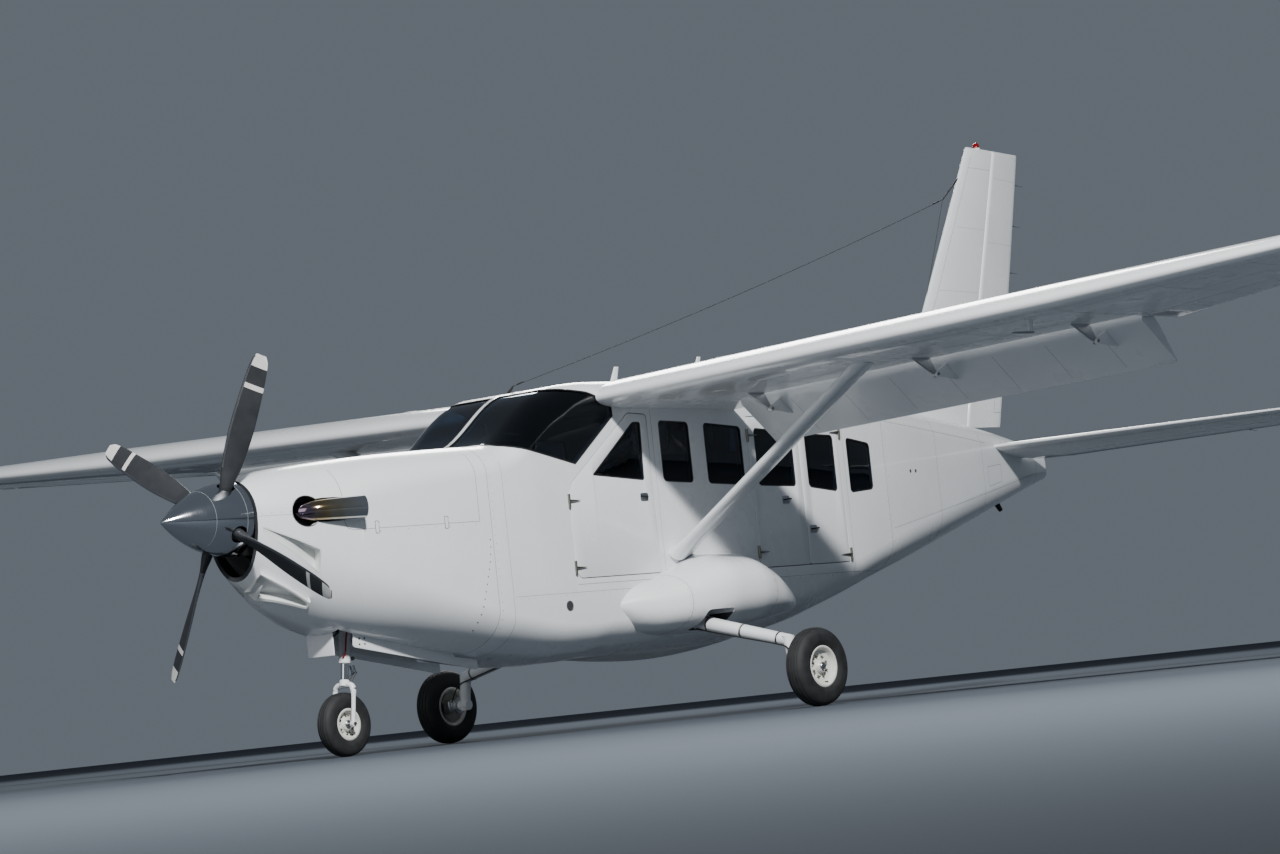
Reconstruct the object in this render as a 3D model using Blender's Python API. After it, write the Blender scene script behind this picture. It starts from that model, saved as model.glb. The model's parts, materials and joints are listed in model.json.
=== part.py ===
"""Light utility airplane: a high-wing, strutted turboprop on a retractable tricycle gear.

Metres, +Z up.  The nose points along -Y and the left wing along +X.  The origin lies on
the ground, below the middle of the airplane's bounding box.  Stations along the body are
measured aft from the tip of the spinner and written S below, so y = S - LENGTH / 2.
"""

import math

import bmesh
import bpy
from mathutils import Matrix, Vector

# Whole airplane
LENGTH = 9.90            # spinner tip to the aft corner of the rudder
THRUST_Z = 1.683         # height of the propeller's axis
GAP = 0.0004             # between pieces that touch
PLAY = 0.006             # round a piece that moves
WALL = 0.045             # cabin wall and doors
COWL_WALL = 0.030
PANE_SINK = 0.010        # glass lies this far below the skin
PANE_THICK = 0.012

# Body sections.  S, half width, keel z, top z, then the bottom and top corner radii in x
# and in z.  The sides between the corners are flat.
BODY = (
    (0.64, 0.262, 1.255, 1.945, 0.255, 0.430, 0.255, 0.255),
    (0.90, 0.385, 1.045, 2.000, 0.370, 0.500, 0.340, 0.310),
    (1.30, 0.480, 0.862, 2.037, 0.420, 0.480, 0.360, 0.310),
    (1.90, 0.570, 0.735, 2.068, 0.460, 0.380, 0.340, 0.270),
    (2.50, 0.628, 0.620, 2.082, 0.500, 0.300, 0.300, 0.230),
    (2.64, 0.636, 0.592, 2.084, 0.500, 0.280, 0.290, 0.220),
    (3.30, 0.650, 0.515, 2.455, 0.500, 0.250, 0.260, 0.240),
    (3.46, 0.650, 0.514, 2.492, 0.500, 0.250, 0.200, 0.180),
    (3.70, 0.650, 0.528, 2.505, 0.500, 0.250, 0.150, 0.130),
    (4.50, 0.650, 0.522, 2.503, 0.500, 0.250, 0.150, 0.130),
    (5.20, 0.650, 0.552, 2.500, 0.500, 0.250, 0.150, 0.130),
    (5.70, 0.650, 0.615, 2.465, 0.490, 0.260, 0.180, 0.160),
    (6.376, 0.642, 0.775, 2.387, 0.448, 0.280, 0.221, 0.181),
    (6.95, 0.605, 0.935, 2.320, 0.400, 0.280, 0.240, 0.200),
    (7.60, 0.515, 1.105, 2.240, 0.320, 0.270, 0.240, 0.210),
    (8.30, 0.395, 1.292, 2.150, 0.240, 0.240, 0.210, 0.200),
    (8.95, 0.262, 1.462, 2.055, 0.160, 0.190, 0.160, 0.180),
    (9.45, 0.145, 1.590, 1.950, 0.100, 0.120, 0.100, 0.130),
    (9.70, 0.082, 1.650, 1.865, 0.060, 0.070, 0.060, 0.080),
)
CORNER_STEPS = 5
COWL_FRONT, FIREWALL, CABIN_REAR, TAIL_END = 0.640, 2.500, 6.950, 9.700
BULKHEAD = 0.030
# Rear fuselage: thickness of its skin and frames, and the station where its hollow ends
REAR_WALL, REAR_SPACE_END = 0.020, 9.600
HATCH_X, HATCH_Z = 0.220, (1.250, 1.800)   # access hole in the rear bulkhead

# Joints between the cabin's panels: behind the firewall's frame, above the belly, below the roof
FRAME_REAR, BELLY_TOP, ROOF_LOW = 2.700, 1.000, 2.305
SCUTTLE_Z = BODY[4][3]   # top of the body at the firewall
POST_LENGTH = 0.800      # of the windshield's middle post, as far as the roof panel

# Openings in the side view, as (S, z) corners
WINDSHIELD = ((2.665, 2.088), (3.395, 1.905), (3.835, 2.240), (3.830, 2.330), (3.600, 2.418),
              (3.315, 2.470), (3.20, 2.80), (2.40, 2.80), (2.40, 2.088))
POST_HALF = 0.025
CUT_NEAR, CUT_FAR = 0.30, 0.80          # x limits of a cutter through one side wall
LEAF_HINGE_R, LEAF_HINGE_HALF, LEAF_STRAP = 0.010, 0.045, 0.055
CREW_DOOR = ((3.290, 1.130), (3.335, 1.080), (4.200, 1.080), (4.200, 2.245), (4.000, 2.262),
             (3.345, 1.780), (3.290, 1.690))
CREW_WINDOW = ((3.590, 1.812), (4.090, 1.762), (4.115, 1.785), (4.125, 2.150), (4.100, 2.190),
               (4.042, 2.189), (3.570, 1.838))
# Door hinges: S, the way to the door from there, and the heights of two hinges
CREW_HINGE = (3.284, 1, (1.160, 1.640))
FRONT_LEAF_HINGE = (5.294, 1, (1.180, 2.060))
REAR_LEAF_HINGE = (6.376, -1, (1.120, 2.060))
DOOR_SPLIT = 5.885
CABIN_DOOR = ((5.300, 1.060), (6.370, 1.060), (6.370, 2.205), (5.300, 2.205))
# S front, S rear, bottom z front and rear, top z front and rear
WINDOWS = (
    (4.320, 4.650, 1.746, 1.725, 2.197, 2.178),
    (4.814, 5.232, 1.714, 1.690, 2.169, 2.130),
    (5.378, 5.811, 1.680, 1.658, 2.117, 2.076),
    (5.960, 6.302, 1.648, 1.603, 2.060, 2.040),
    (6.461, 6.765, 1.588, 1.608, 2.018, 1.968),
)
WINDOW_CORNER = 0.035
STRIP = 0.006            # carries the fixed panes of one side, inside the wall

# Wing
WING_ROOT, WING_BREAK, WING_TIP = 0.6504, 4.740, 7.215
TIP_START = 7.100                        # where the rounded tip begins
TIP_SHARES, TIP_THIN = (0.05, 0.97), 0.45
WING_LE = 3.680
ROOT_CHORD, TIP_CHORD = 1.500, 0.850
LE_Z, DIHEDRAL, OUTER_DIHEDRAL = 2.359, 0.0323, 0.044
INCIDENCE = math.radians(4.6)
CAMBER, CAMBER_AT, THICKNESS = 0.040, 0.40, 0.150
FLAP_X, FLAP_U, FLAP_GAP_U = (1.060, 4.700), 0.680, 0.006
FLAP_HINGE_U, FLAP_HINGE_DROP, FLAP_DOWN = 0.700, 0.140, math.radians(38.0)
FLAP_ARMS = (1.400, 2.950, 4.350)        # x of the hinge brackets
ARM_HALF, ARM_EYE_R = 0.009, 0.022
AILERON_X, AILERON_U, AILERON_GAP_U, AILERON_HINGE_U = (4.750, 6.980), 0.740, 0.012, 0.755

# Struts: streamlined tubes from the body's side to the wing
STRUT_LOW, STRUT_HIGH = (0.6504, 4.420, 1.205), (2.877, 4.290, 2.480)
STRUT_CHORD, STRUT_THICK = 0.215, 0.072

# Tail
FIN_ROOT_Z, FIN_TOP_Z = 2.000, 4.455
FIN_LE, FIN_SWEEP = 7.770, 0.590          # S at FIN_ROOT_Z, and the slope dS/dz
HINGE_S, HINGE_SLOPE = 8.712, 0.335
RUDDER_TE, RUDDER_TE_SLOPE = 9.229, 0.2733
FIN_TOP_FALL = 0.085                      # the top edge falls this much for each metre aft
RUDDER_LOW = 2.115
FIN_THICK_ROOT, FIN_THICK_TIP = 0.130, 0.070
TAIL_HALF_SPAN, TAIL_MIDDLE_X = 2.950, 0.400
SKID = ((9.080, 1.560), (9.150, 1.415), (0.030, 0.018))   # top and foot as (S, z), and their radii
TAIL_LE, TAIL_LE_SWEEP, TAIL_TE, ELEVATOR_S = 8.750, 0.080, 9.700, 9.290
TAIL_LE_Z, TAIL_SLOPE = 1.930, 0.118
TAIL_THICK_ROOT, TAIL_THICK_TIP = 0.085, 0.050
ELEVATOR_ROOT_X = 0.215
HINGE_BACK, HINGE_ROOM = 0.016, 0.013    # hinge behind a surface's nose, and room ahead of the nose
KNUCKLE_HALF, KNUCKLE_SHARES = 0.018, (0.08, 0.50, 0.92)

# Propeller and spinner
PROP_S, PROP_RADIUS, PROP_ANGLE = 0.507, 1.204, math.radians(30.0)
HUB_RADIUS, SHAFT_RADIUS = 0.110, 0.070
BLADE_HOLE_R = 0.062
SPINNER_RADIUS, SPINNER_BACK, SPINNER_WALL = 0.2555, 0.6155, 0.008
# Blade stations: radius, chord, thickness, pitch in degrees
BLADE = ((0.10, 0.090, 0.086, 62), (0.24, 0.092, 0.078, 58), (0.40, 0.140, 0.040, 46),
         (0.70, 0.172, 0.026, 33), (1.00, 0.155, 0.016, 25), (1.16, 0.120, 0.011, 22),
         (PROP_RADIUS, 0.070, 0.008, 21))

# Engine and exhausts
ENGINE = ((-0.235, 0.235), (0.860, FIREWALL - GAP), (1.440, 1.885))
EXHAUST_S, EXHAUST_ELBOW_X, EXHAUST_END = 0.965, 0.365, (0.565, 1.350, 1.682)
EXHAUST_RADII = (0.062, 0.070, 0.078)    # flange, elbow and outlet
EXHAUST_PORT_R, EXHAUST_ROOM = 0.105, 0.012

# Main gear
MAIN_S, MAIN_TRACK, MAIN_TYRE_R, MAIN_TYRE_W = 4.372, 3.740, 0.2805, 0.170
MAIN_RIM_R, MAIN_AXLE_R = 0.150, 0.022
MAIN_LEG = (0.705, (1.640, 0.490))      # z of its inner end, x and z of its outer end
MAIN_LEG_RADII = (0.055, 0.045)
# Sponson sections: S, outer x, bottom z, top z
SPONSON = ((3.720, 0.655, 0.800, 0.930), (3.860, 0.760, 0.690, 1.010), (4.060, 0.900, 0.640, 1.045),
           (4.300, 1.020, 0.625, 1.120), (4.560, 1.085, 0.625, 1.200), (4.820, 1.090, 0.632, 1.195),
           (5.060, 1.040, 0.650, 1.110), (5.260, 0.955, 0.675, 0.985), (5.440, 0.840, 0.705, 0.865),
           (5.560, 0.700, 0.735, 0.790))
POCKET_S, POCKET_X, POCKET_Z = (4.275, 4.520), (0.750, 1.300), (0.500, 0.775)

# Nose gear
NOSE_S, NOSE_TYRE_R, NOSE_TYRE_W, NOSE_RIM_R, NOSE_AXLE_R = 1.493, 0.2225, 0.130, 0.112, 0.014
NOSE_RAKE = math.radians(8.5)
NOSE_TRUNNION, NOSE_COLLAR = 0.800, 0.420       # distances up the leg from the axle
NOSE_LEG_R, NOSE_PISTON_R = 0.042, 0.028
BAY_X, BAY_S = 0.195, (1.340, 2.440)
DOOR_THICK = 0.012
FRONT_DOOR_X, FRONT_DOOR_Z = 0.130, (0.700, 0.900)
NOSE_DOOR = ((1.490, 0.905), (2.430, 0.720), (2.430, 0.615), (2.660, 0.585), (2.660, 0.512), (1.470, 0.745))
FORK_CROWN, FORK_HALF = 0.272, 0.092

# Cabin
FLOOR_Z, FLOOR_THICK = 1.020, 0.030
PANEL_S, PANEL_Z = (2.860, 2.940), (1.480, 1.960)
# Seats: name, x of the middle, station of the front legs and width
SEATS = (("crew_seat_left", 0.300, 3.620, 0.440), ("crew_seat_right", -0.300, 3.620, 0.440),
         ("passenger_seats_front", 0.0, 4.780, 1.040), ("passenger_seats_rear", 0.0, 5.720, 1.040))
FLOOR_S = (2.550, 6.900)
SEAT_PROFILE = ((0.00, 0.00), (0.42, 0.00), (0.42, 0.20), (0.60, 0.78), (0.50, 0.80),
                (0.36, 0.34), (0.34, 0.32), (-0.06, 0.32), (-0.06, 0.22), (0.00, 0.20))

COLOURS = {
    "white paint": ((0.86, 0.87, 0.88), 0.25, 0.0),
    "polished metal": ((0.75, 0.76, 0.78), 0.12, 1.0),
    "blade grey": ((0.05, 0.05, 0.055), 0.45, 0.2),
    "glass": ((0.03, 0.04, 0.06), 0.05, 0.0),
    "rubber": ((0.02, 0.02, 0.02), 0.85, 0.0),
    "wheel paint": ((0.80, 0.80, 0.78), 0.35, 0.0),
    "steel": ((0.35, 0.35, 0.36), 0.4, 0.9),
    "cabin grey": ((0.22, 0.22, 0.23), 0.8, 0.0),
}


def at(x, station, z):
    """The point at a station, in the model's frame."""
    return Vector((x, station - LENGTH / 2, z))


def hermite(table, station):
    """One row of a table at any station, on a smooth curve through its rows."""
    rows = list(table)
    if station <= rows[0][0]:
        return rows[0]
    if station >= rows[-1][0]:
        return rows[-1]
    i = max(k for k, row in enumerate(rows) if row[0] <= station)
    a, b = rows[i], rows[i + 1]
    before, after = rows[max(i - 1, 0)], rows[min(i + 2, len(rows) - 1)]
    width = b[0] - a[0]
    t = (station - a[0]) / width
    out = [station]
    for k in range(1, len(a)):
        slope = (b[k] - a[k]) / width
        slope_a = slope if before is a else monotone((a[k] - before[k]) / (a[0] - before[0]), slope)
        slope_b = slope if after is b else monotone(slope, (after[k] - b[k]) / (after[0] - b[0]))
        out.append((2 * t ** 3 - 3 * t ** 2 + 1) * a[k] + (t ** 3 - 2 * t ** 2 + t) * width * slope_a
                   + (3 * t ** 2 - 2 * t ** 3) * b[k] + (t ** 3 - t ** 2) * width * slope_b)
    return out


def monotone(left, right):
    """A slope between two others that makes no overshoot."""
    return 0.0 if left * right <= 0 else 2 * left * right / (left + right)


def add_object(name, bm, colour, smooth=40.0, pivot=(0.0, 0.0, 0.0)):
    """Makes a named object of a bmesh, its origin at a pivot, its faces pointing out."""
    pivot = Vector(pivot)
    bmesh.ops.remove_doubles(bm, verts=bm.verts, dist=0.00002)
    bmesh.ops.recalc_face_normals(bm, faces=bm.faces)
    bmesh.ops.translate(bm, verts=bm.verts, vec=-pivot)
    mesh = bpy.data.meshes.new(name)
    bm.to_mesh(mesh)
    bm.free()
    mesh.shade_smooth()
    mesh.set_sharp_from_angle(angle=math.radians(smooth))
    obj = bpy.data.objects.new(name, mesh)
    obj.location = pivot
    bpy.context.scene.collection.objects.link(obj)
    if colour:
        rgb, roughness, metallic = COLOURS[colour]
        material = bpy.data.materials.new(name)
        material.use_nodes = True
        shader = material.node_tree.nodes["Principled BSDF"]
        shader.inputs["Base Color"].default_value = (*rgb, 1.0)
        shader.inputs["Roughness"].default_value = roughness
        shader.inputs["Metallic"].default_value = metallic
        mesh.materials.append(material)
    return obj


def loft(bm, rings, closed=True, caps=True):
    """Skins rings of equal count with triangles, so that offset copies never cross."""
    skins = [[bm.verts.new(p) for p in ring] for ring in rings]
    count = len(rings[0])
    for one, two in zip(skins, skins[1:]):
        for k in range(count if closed else count - 1):
            m = (k + 1) % count
            bm.faces.new((one[k], one[m], two[m]))
            bm.faces.new((one[k], two[m], two[k]))
    if caps:
        bm.faces.new(skins[0])
        bm.faces.new(skins[-1])
    return skins


def guide(name, bm):
    """A cutter: a wire object that isn't part of the model."""
    obj = add_object(name, bm, None)
    obj.hide_render = True
    obj.display_type = "WIRE"
    return obj


def boolean(obj, other, operation="DIFFERENCE"):
    """Adds one exact Boolean to an object."""
    mod = obj.modifiers.new(operation.lower(), "BOOLEAN")
    mod.object = other
    mod.operation = operation
    mod.solver = "EXACT"


def body_ring(station, inset):
    """The body's section at a station, drawn in by an inset."""
    _, half, low, high, low_rx, low_rz, high_rx, high_rz = hermite(BODY, station)
    half, low, high = half - inset, low + inset, high - inset
    corners = (
        (1, high, high_rx, high_rz, -1, 0.0), (-1, high, high_rx, high_rz, -1, 0.5),
        (-1, low, low_rx, low_rz, 1, 1.0), (1, low, low_rx, low_rz, 1, 1.5),
    )
    ring = []
    for side, edge, rx, rz, inward, turn in corners:
        rx = min(max(rx - inset, 0.02), half - 0.004)
        rz = max(rz - inset, 0.02)
        for k in range(CORNER_STEPS + 1):
            angle = math.pi * (turn + 0.5 * k / CORNER_STEPS)
            x = side * (half - rx) + rx * math.cos(angle)
            z = edge + inward * rz + rz * math.sin(angle)
            ring.append(at(x, station, z))
    return ring


def stations(first, last, step=0.30):
    """The table's stations between two ends, with more where they lie far apart."""
    inside = [row[0] for row in BODY if first + 0.02 < row[0] < last - 0.02]
    marks = [first, *inside, last]
    out = []
    for a, b in zip(marks, marks[1:]):
        count = max(1, math.ceil((b - a) / step - 0.01))
        out += [a + (b - a) * k / count for k in range(count)]
    return out + [last]


def body_solid(first, last, inset):
    """The body between two stations, as a closed solid."""
    bm = bmesh.new()
    loft(bm, [body_ring(s, inset) for s in stations(first, last)])
    return bm


def body_shell(first, last, outer, inner):
    """A wall between two insets, open at its ends."""
    bm = bmesh.new()
    marks = stations(first, last)
    skin = loft(bm, [body_ring(s, outer) for s in marks], caps=False)
    lining = loft(bm, [body_ring(s, inner) for s in marks], caps=False)
    count = len(skin[0])
    for end in (0, -1):
        for k in range(count):
            m = (k + 1) % count
            bm.faces.new((skin[end][k], skin[end][m], lining[end][m], lining[end][k]))
    return bm


def side_prism(outline, x_near, x_far, grow=0.0):
    """A prism along X over an outline of (S, z) points, grown outward by a distance."""
    points = offset_outline(outline, grow)
    bm = bmesh.new()
    loft(bm, [[at(x, s, z) for s, z in points] for x in (x_near, x_far)])
    return bm


def offset_outline(outline, grow):
    """Moves each edge of a convex outline outward by the same distance."""
    points = [Vector(p) for p in outline]
    area = sum(a.x * b.y - b.x * a.y for a, b in zip(points, points[1:] + points[:1]))
    turn = 1 if area > 0 else -1
    out = []
    for k, here in enumerate(points):
        before, after = points[k - 1], points[(k + 1) % len(points)]
        one = (here - before).normalized()
        two = (after - here).normalized()
        n1, n2 = Vector((one.y, -one.x)) * turn, Vector((two.y, -two.x)) * turn
        out.append(here + (n1 + n2) * grow / (1 + n1.dot(n2)))
    return out


def window_outline(row):
    """A window with its corners cut."""
    s0, s1, low0, low1, high0, high1 = row
    c = WINDOW_CORNER
    return ((s0, low0 + c), (s0 + c, low0), (s1 - c, low1), (s1, low1 + c),
            (s1, high1 - c), (s1 - c, high1), (s0 + c, high0), (s0, high0 - c))


def box(x, s, z):
    """A closed box between limits along x, station and z."""
    bm = bmesh.new()
    loft(bm, [[at(a, b, c) for a, b in ((x[0], s[0]), (x[1], s[0]), (x[1], s[1]), (x[0], s[1]))]
              for c in z])
    return bm


def tube_ring(centre, direction, radius, count=16):
    """A circle of points round an axis."""
    direction = Vector(direction).normalized()
    side = direction.cross(Vector((0, 0, 1))).normalized() if abs(direction.z) < 0.9 else Vector((1, 0, 0))
    up = direction.cross(side).normalized()
    return [centre + radius * (side * math.cos(2 * math.pi * k / count)
                               + up * math.sin(2 * math.pi * k / count)) for k in range(count)]


def rod(bm, start, end, r_start, r_end=None, count=16):
    """A closed round bar or cone."""
    r_end = r_start if r_end is None else r_end
    direction = end - start
    loft(bm, [tube_ring(start, direction, r_start, count), tube_ring(end, direction, r_end, count)])


def turned(bm, profile, origin, axis, count=32):
    """Turns a closed profile of (along, radius) points round an axis."""
    axis = Vector(axis).normalized()
    side = axis.orthogonal().normalized()
    up = axis.cross(side)
    rings = []
    for k in range(count):
        angle = 2 * math.pi * k / count
        out = side * math.cos(angle) + up * math.sin(angle)
        rings.append([bm.verts.new(origin + axis * along + out * radius) for along, radius in profile])
    for k in range(count):
        one, two = rings[k], rings[(k + 1) % count]
        for a in range(len(profile)):
            b = (a + 1) % len(profile)
            quad = [one[a], one[b], two[b], two[a]]
            bm.faces.new(quad)


def airfoil(u, upper):
    """Height of a cambered wing section above its chord, over the chord."""
    half = 5 * THICKNESS * (0.2969 * math.sqrt(u) - 0.1260 * u - 0.3516 * u ** 2
                            + 0.2843 * u ** 3 - 0.1015 * u ** 4)
    if u < CAMBER_AT:
        mean = CAMBER / CAMBER_AT ** 2 * (2 * CAMBER_AT * u - u * u)
    else:
        mean = CAMBER / (1 - CAMBER_AT) ** 2 * (1 - 2 * CAMBER_AT + 2 * CAMBER_AT * u - u * u)
    return mean + (half if upper else -half)


def wing_frame(x):
    """Chord and leading edge height at a place along the span."""
    outboard = max(x - WING_BREAK, 0.0)
    chord = ROOT_CHORD + (TIP_CHORD - ROOT_CHORD) * outboard / (WING_TIP - WING_BREAK)
    return chord, LE_Z + DIHEDRAL * (x - outboard) + OUTER_DIHEDRAL * outboard


def wing_point(side, x, u, height, drop=0.0):
    """A point of the wing at a share u of the chord and a height above the chord line."""
    chord, le_z = wing_frame(x)
    s = WING_LE + u * chord * math.cos(INCIDENCE) + height * math.sin(INCIDENCE)
    z = le_z - u * chord * math.sin(INCIDENCE) + height * math.cos(INCIDENCE) - drop
    return at(side * x, s, z)


def wing_ring(side, x, u_front, u_back, steps=9, nose=False, drop=0.0, thin=1.0):
    """The section between two shares of the chord, closed by a blunt or rounded nose."""
    chord = wing_frame(x)[0]
    shares = [u_front + (u_back - u_front) * (1 - math.cos(math.pi / 2 * k / steps))
              for k in range(steps + 1)]
    top = [(u, airfoil(u, True) * chord * thin) for u in shares]
    low = [(u, airfoil(u, False) * chord * thin) for u in shares]
    if nose:
        middle = (top[0][1] + low[0][1]) / 2
        half = (top[0][1] - low[0][1]) / 2
        top[0] = (u_front, middle + 0.45 * half)
        low[0] = (u_front, middle - 0.45 * half)
    ring = top[::-1] + low
    if u_back == 1.0:
        ring[0] = (1.0, ring[0][1] + 0.0015)
        ring[-1] = (1.0, ring[-1][1] - 0.0015)
    return [wing_point(side, x, u, h, drop) for u, h in ring]


def wing_loft(side, drop=0.0):
    """One wing panel from its root rib to its rounded tip."""
    bm = bmesh.new()
    rings = [wing_ring(side, x, 0.0, 1.0, 11, drop=drop) for x in (WING_ROOT, WING_BREAK, TIP_START)]
    rings.append(wing_ring(side, WING_TIP, *TIP_SHARES, 11, drop=drop, thin=TIP_THIN))
    loft(bm, rings)
    return bm


def flap_hinge(side, x):
    """The flap's hinge point, below the wing."""
    return wing_point(side, x, FLAP_HINGE_U, -FLAP_HINGE_DROP)


def knuckles(obj, name, start, end, reach_start, reach_end):
    """Adds round hinge knuckles to a surface, each reaching almost to the face ahead of it."""
    for k, share in enumerate(KNUCKLE_SHARES):
        along = (end - start).normalized() * KNUCKLE_HALF
        centre = start.lerp(end, share)
        bm = bmesh.new()
        rod(bm, centre - along, centre + along, reach_start + (reach_end - reach_start) * share - GAP)
        boolean(obj, guide(f"{name}_knuckle_{k}", bm), "UNION")


def bay_cutter(side, span, u):
    """A block that clears the wing behind a share of the chord."""
    bm = bmesh.new()
    corners = ((u, -0.25), (1.3, -0.25), (1.3, 0.25), (u, 0.25))
    loft(bm, [[wing_point(side, x, share, height) for share, height in corners]
              for x in (span[0] - PLAY, span[1] + PLAY)])
    return bm


def make_wings():
    """Both wings with their flaps, ailerons and struts."""
    for side, name in ((1, "left"), (-1, "right")):
        wing = add_object(f"wing_{name}", wing_loft(side), "white paint", 30)
        boolean(wing, guide(f"flap_bay_{name}", bay_cutter(side, FLAP_X, FLAP_U - FLAP_GAP_U)))
        boolean(wing, guide(f"aileron_bay_{name}", bay_cutter(side, AILERON_X, AILERON_U - AILERON_GAP_U)))
        for k, x in enumerate(FLAP_ARMS):
            boolean(wing, guide(f"flap_bracket_{name}_{k}", flap_arm(side, x, 0.500, 0.650)), "UNION")
        make_flap(side, name)
        start, end = (wing_point(side, x, AILERON_HINGE_U, aileron_middle(x)) for x in AILERON_X)
        bm = bmesh.new()
        loft(bm, [wing_ring(side, x, AILERON_U, 1.0, 5, nose=True) for x in AILERON_X])
        aileron = add_object(f"aileron_{name}", bm, "white paint", 30, pivot=start)
        taper = (ROOT_CHORD - TIP_CHORD) / (WING_TIP - WING_BREAK)
        reach = (AILERON_HINGE_U - AILERON_U + AILERON_GAP_U) * math.cos(math.atan(taper * AILERON_HINGE_U))
        knuckles(aileron, f"aileron_{name}", start, end, *(wing_frame(x)[0] * reach for x in AILERON_X))
        make_strut(side, name)


def aileron_middle(x):
    """Height of the middle of the section at the aileron's hinge."""
    return wing_frame(x)[0] * (airfoil(AILERON_HINGE_U, True) + airfoil(AILERON_HINGE_U, False)) / 2


def flap_arm(side, x, u_front, u_back, turn=Matrix()):
    """A plate from the wing's or flap's skin down to a round eye on the hinge line."""
    chord, hinge = wing_frame(x)[0], flap_hinge(side, x)
    across = (flap_hinge(side, x + ARM_HALF) - hinge).normalized()
    eye = [(FLAP_HINGE_U * chord + ARM_EYE_R * math.cos(a), -FLAP_HINGE_DROP + ARM_EYE_R * math.sin(a))
           for a in (math.pi * k / 8 for k in range(8, 17))]
    outline = eye + [(u * chord, airfoil(u, False) * chord + 0.020) for u in (u_back, u_front)]
    flat = [wing_point(side, x, along / chord, height) for along, height in outline]
    bm = bmesh.new()
    loft(bm, [[turn @ (p - across * ((p - hinge).dot(across) - offset)) for p in flat]
              for offset in (-ARM_HALF, ARM_HALF)])
    return bm


def make_flap(side, name):
    """A flap with its arms, lowered about its hinge line."""
    start, end = (flap_hinge(side, x) for x in FLAP_X)
    turn = Matrix.Rotation(-FLAP_DOWN * side, 4, (end - start).normalized())
    place = Matrix.Translation(start) @ turn @ Matrix.Translation(-start)
    bm = bmesh.new()
    loft(bm, [[place @ p for p in wing_ring(side, x, FLAP_U, 1.0, 5, nose=True)] for x in FLAP_X])
    flap = add_object(f"flap_{name}", bm, "white paint", 30, pivot=start)
    for k, x in enumerate(FLAP_ARMS):
        arm = flap_arm(side, x + 2 * ARM_HALF + GAP, 0.720, 0.850, place)
        boolean(flap, guide(f"flap_arm_{name}_{k}", arm), "UNION")


def strut_ring(side, centre, grow=0.0):
    """A streamlined section across the strut, level along the flight direction."""
    low, high = (Vector(p) for p in (STRUT_LOW, STRUT_HIGH))
    direction = Vector((high.x - low.x, 0, high.z - low.z)).normalized()
    normal = Vector((-direction.z, 0, direction.x))
    x, s, z = centre
    ring = []
    for k in range(16):
        angle = 2 * math.pi * k / 16
        along = 0.5 * math.cos(angle)
        thick = 0.5 * math.sin(angle) * (0.78 - 0.44 * math.cos(angle)) / 0.9
        offset = normal * thick * (STRUT_THICK + 2 * grow)
        ring.append(at(side * (x + offset.x), s + along * (STRUT_CHORD + 2 * grow), z + offset.z))
    return ring


def strut_solid(side, grow=0.0):
    """The whole strut, from inside the body to inside the wing."""
    low, high = (Vector(p) for p in (STRUT_LOW, STRUT_HIGH))
    bm = bmesh.new()
    loft(bm, [strut_ring(side, low - (high - low) * 0.04, grow), strut_ring(side, high, grow)])
    return bm


def make_strut(side, name):
    """A strut that ends on the body's flat side and under the wing."""
    strut = add_object(f"wing_strut_{name}", strut_solid(side), "white paint")
    boolean(strut, guide(f"strut_top_{name}", wing_loft(side, drop=GAP)))
    side_wall = box(sorted((0.0, side * STRUT_LOW[0])), (3.5, 5.5), (0.5, 2.0))
    boolean(strut, guide(f"strut_foot_{name}", side_wall))


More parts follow.
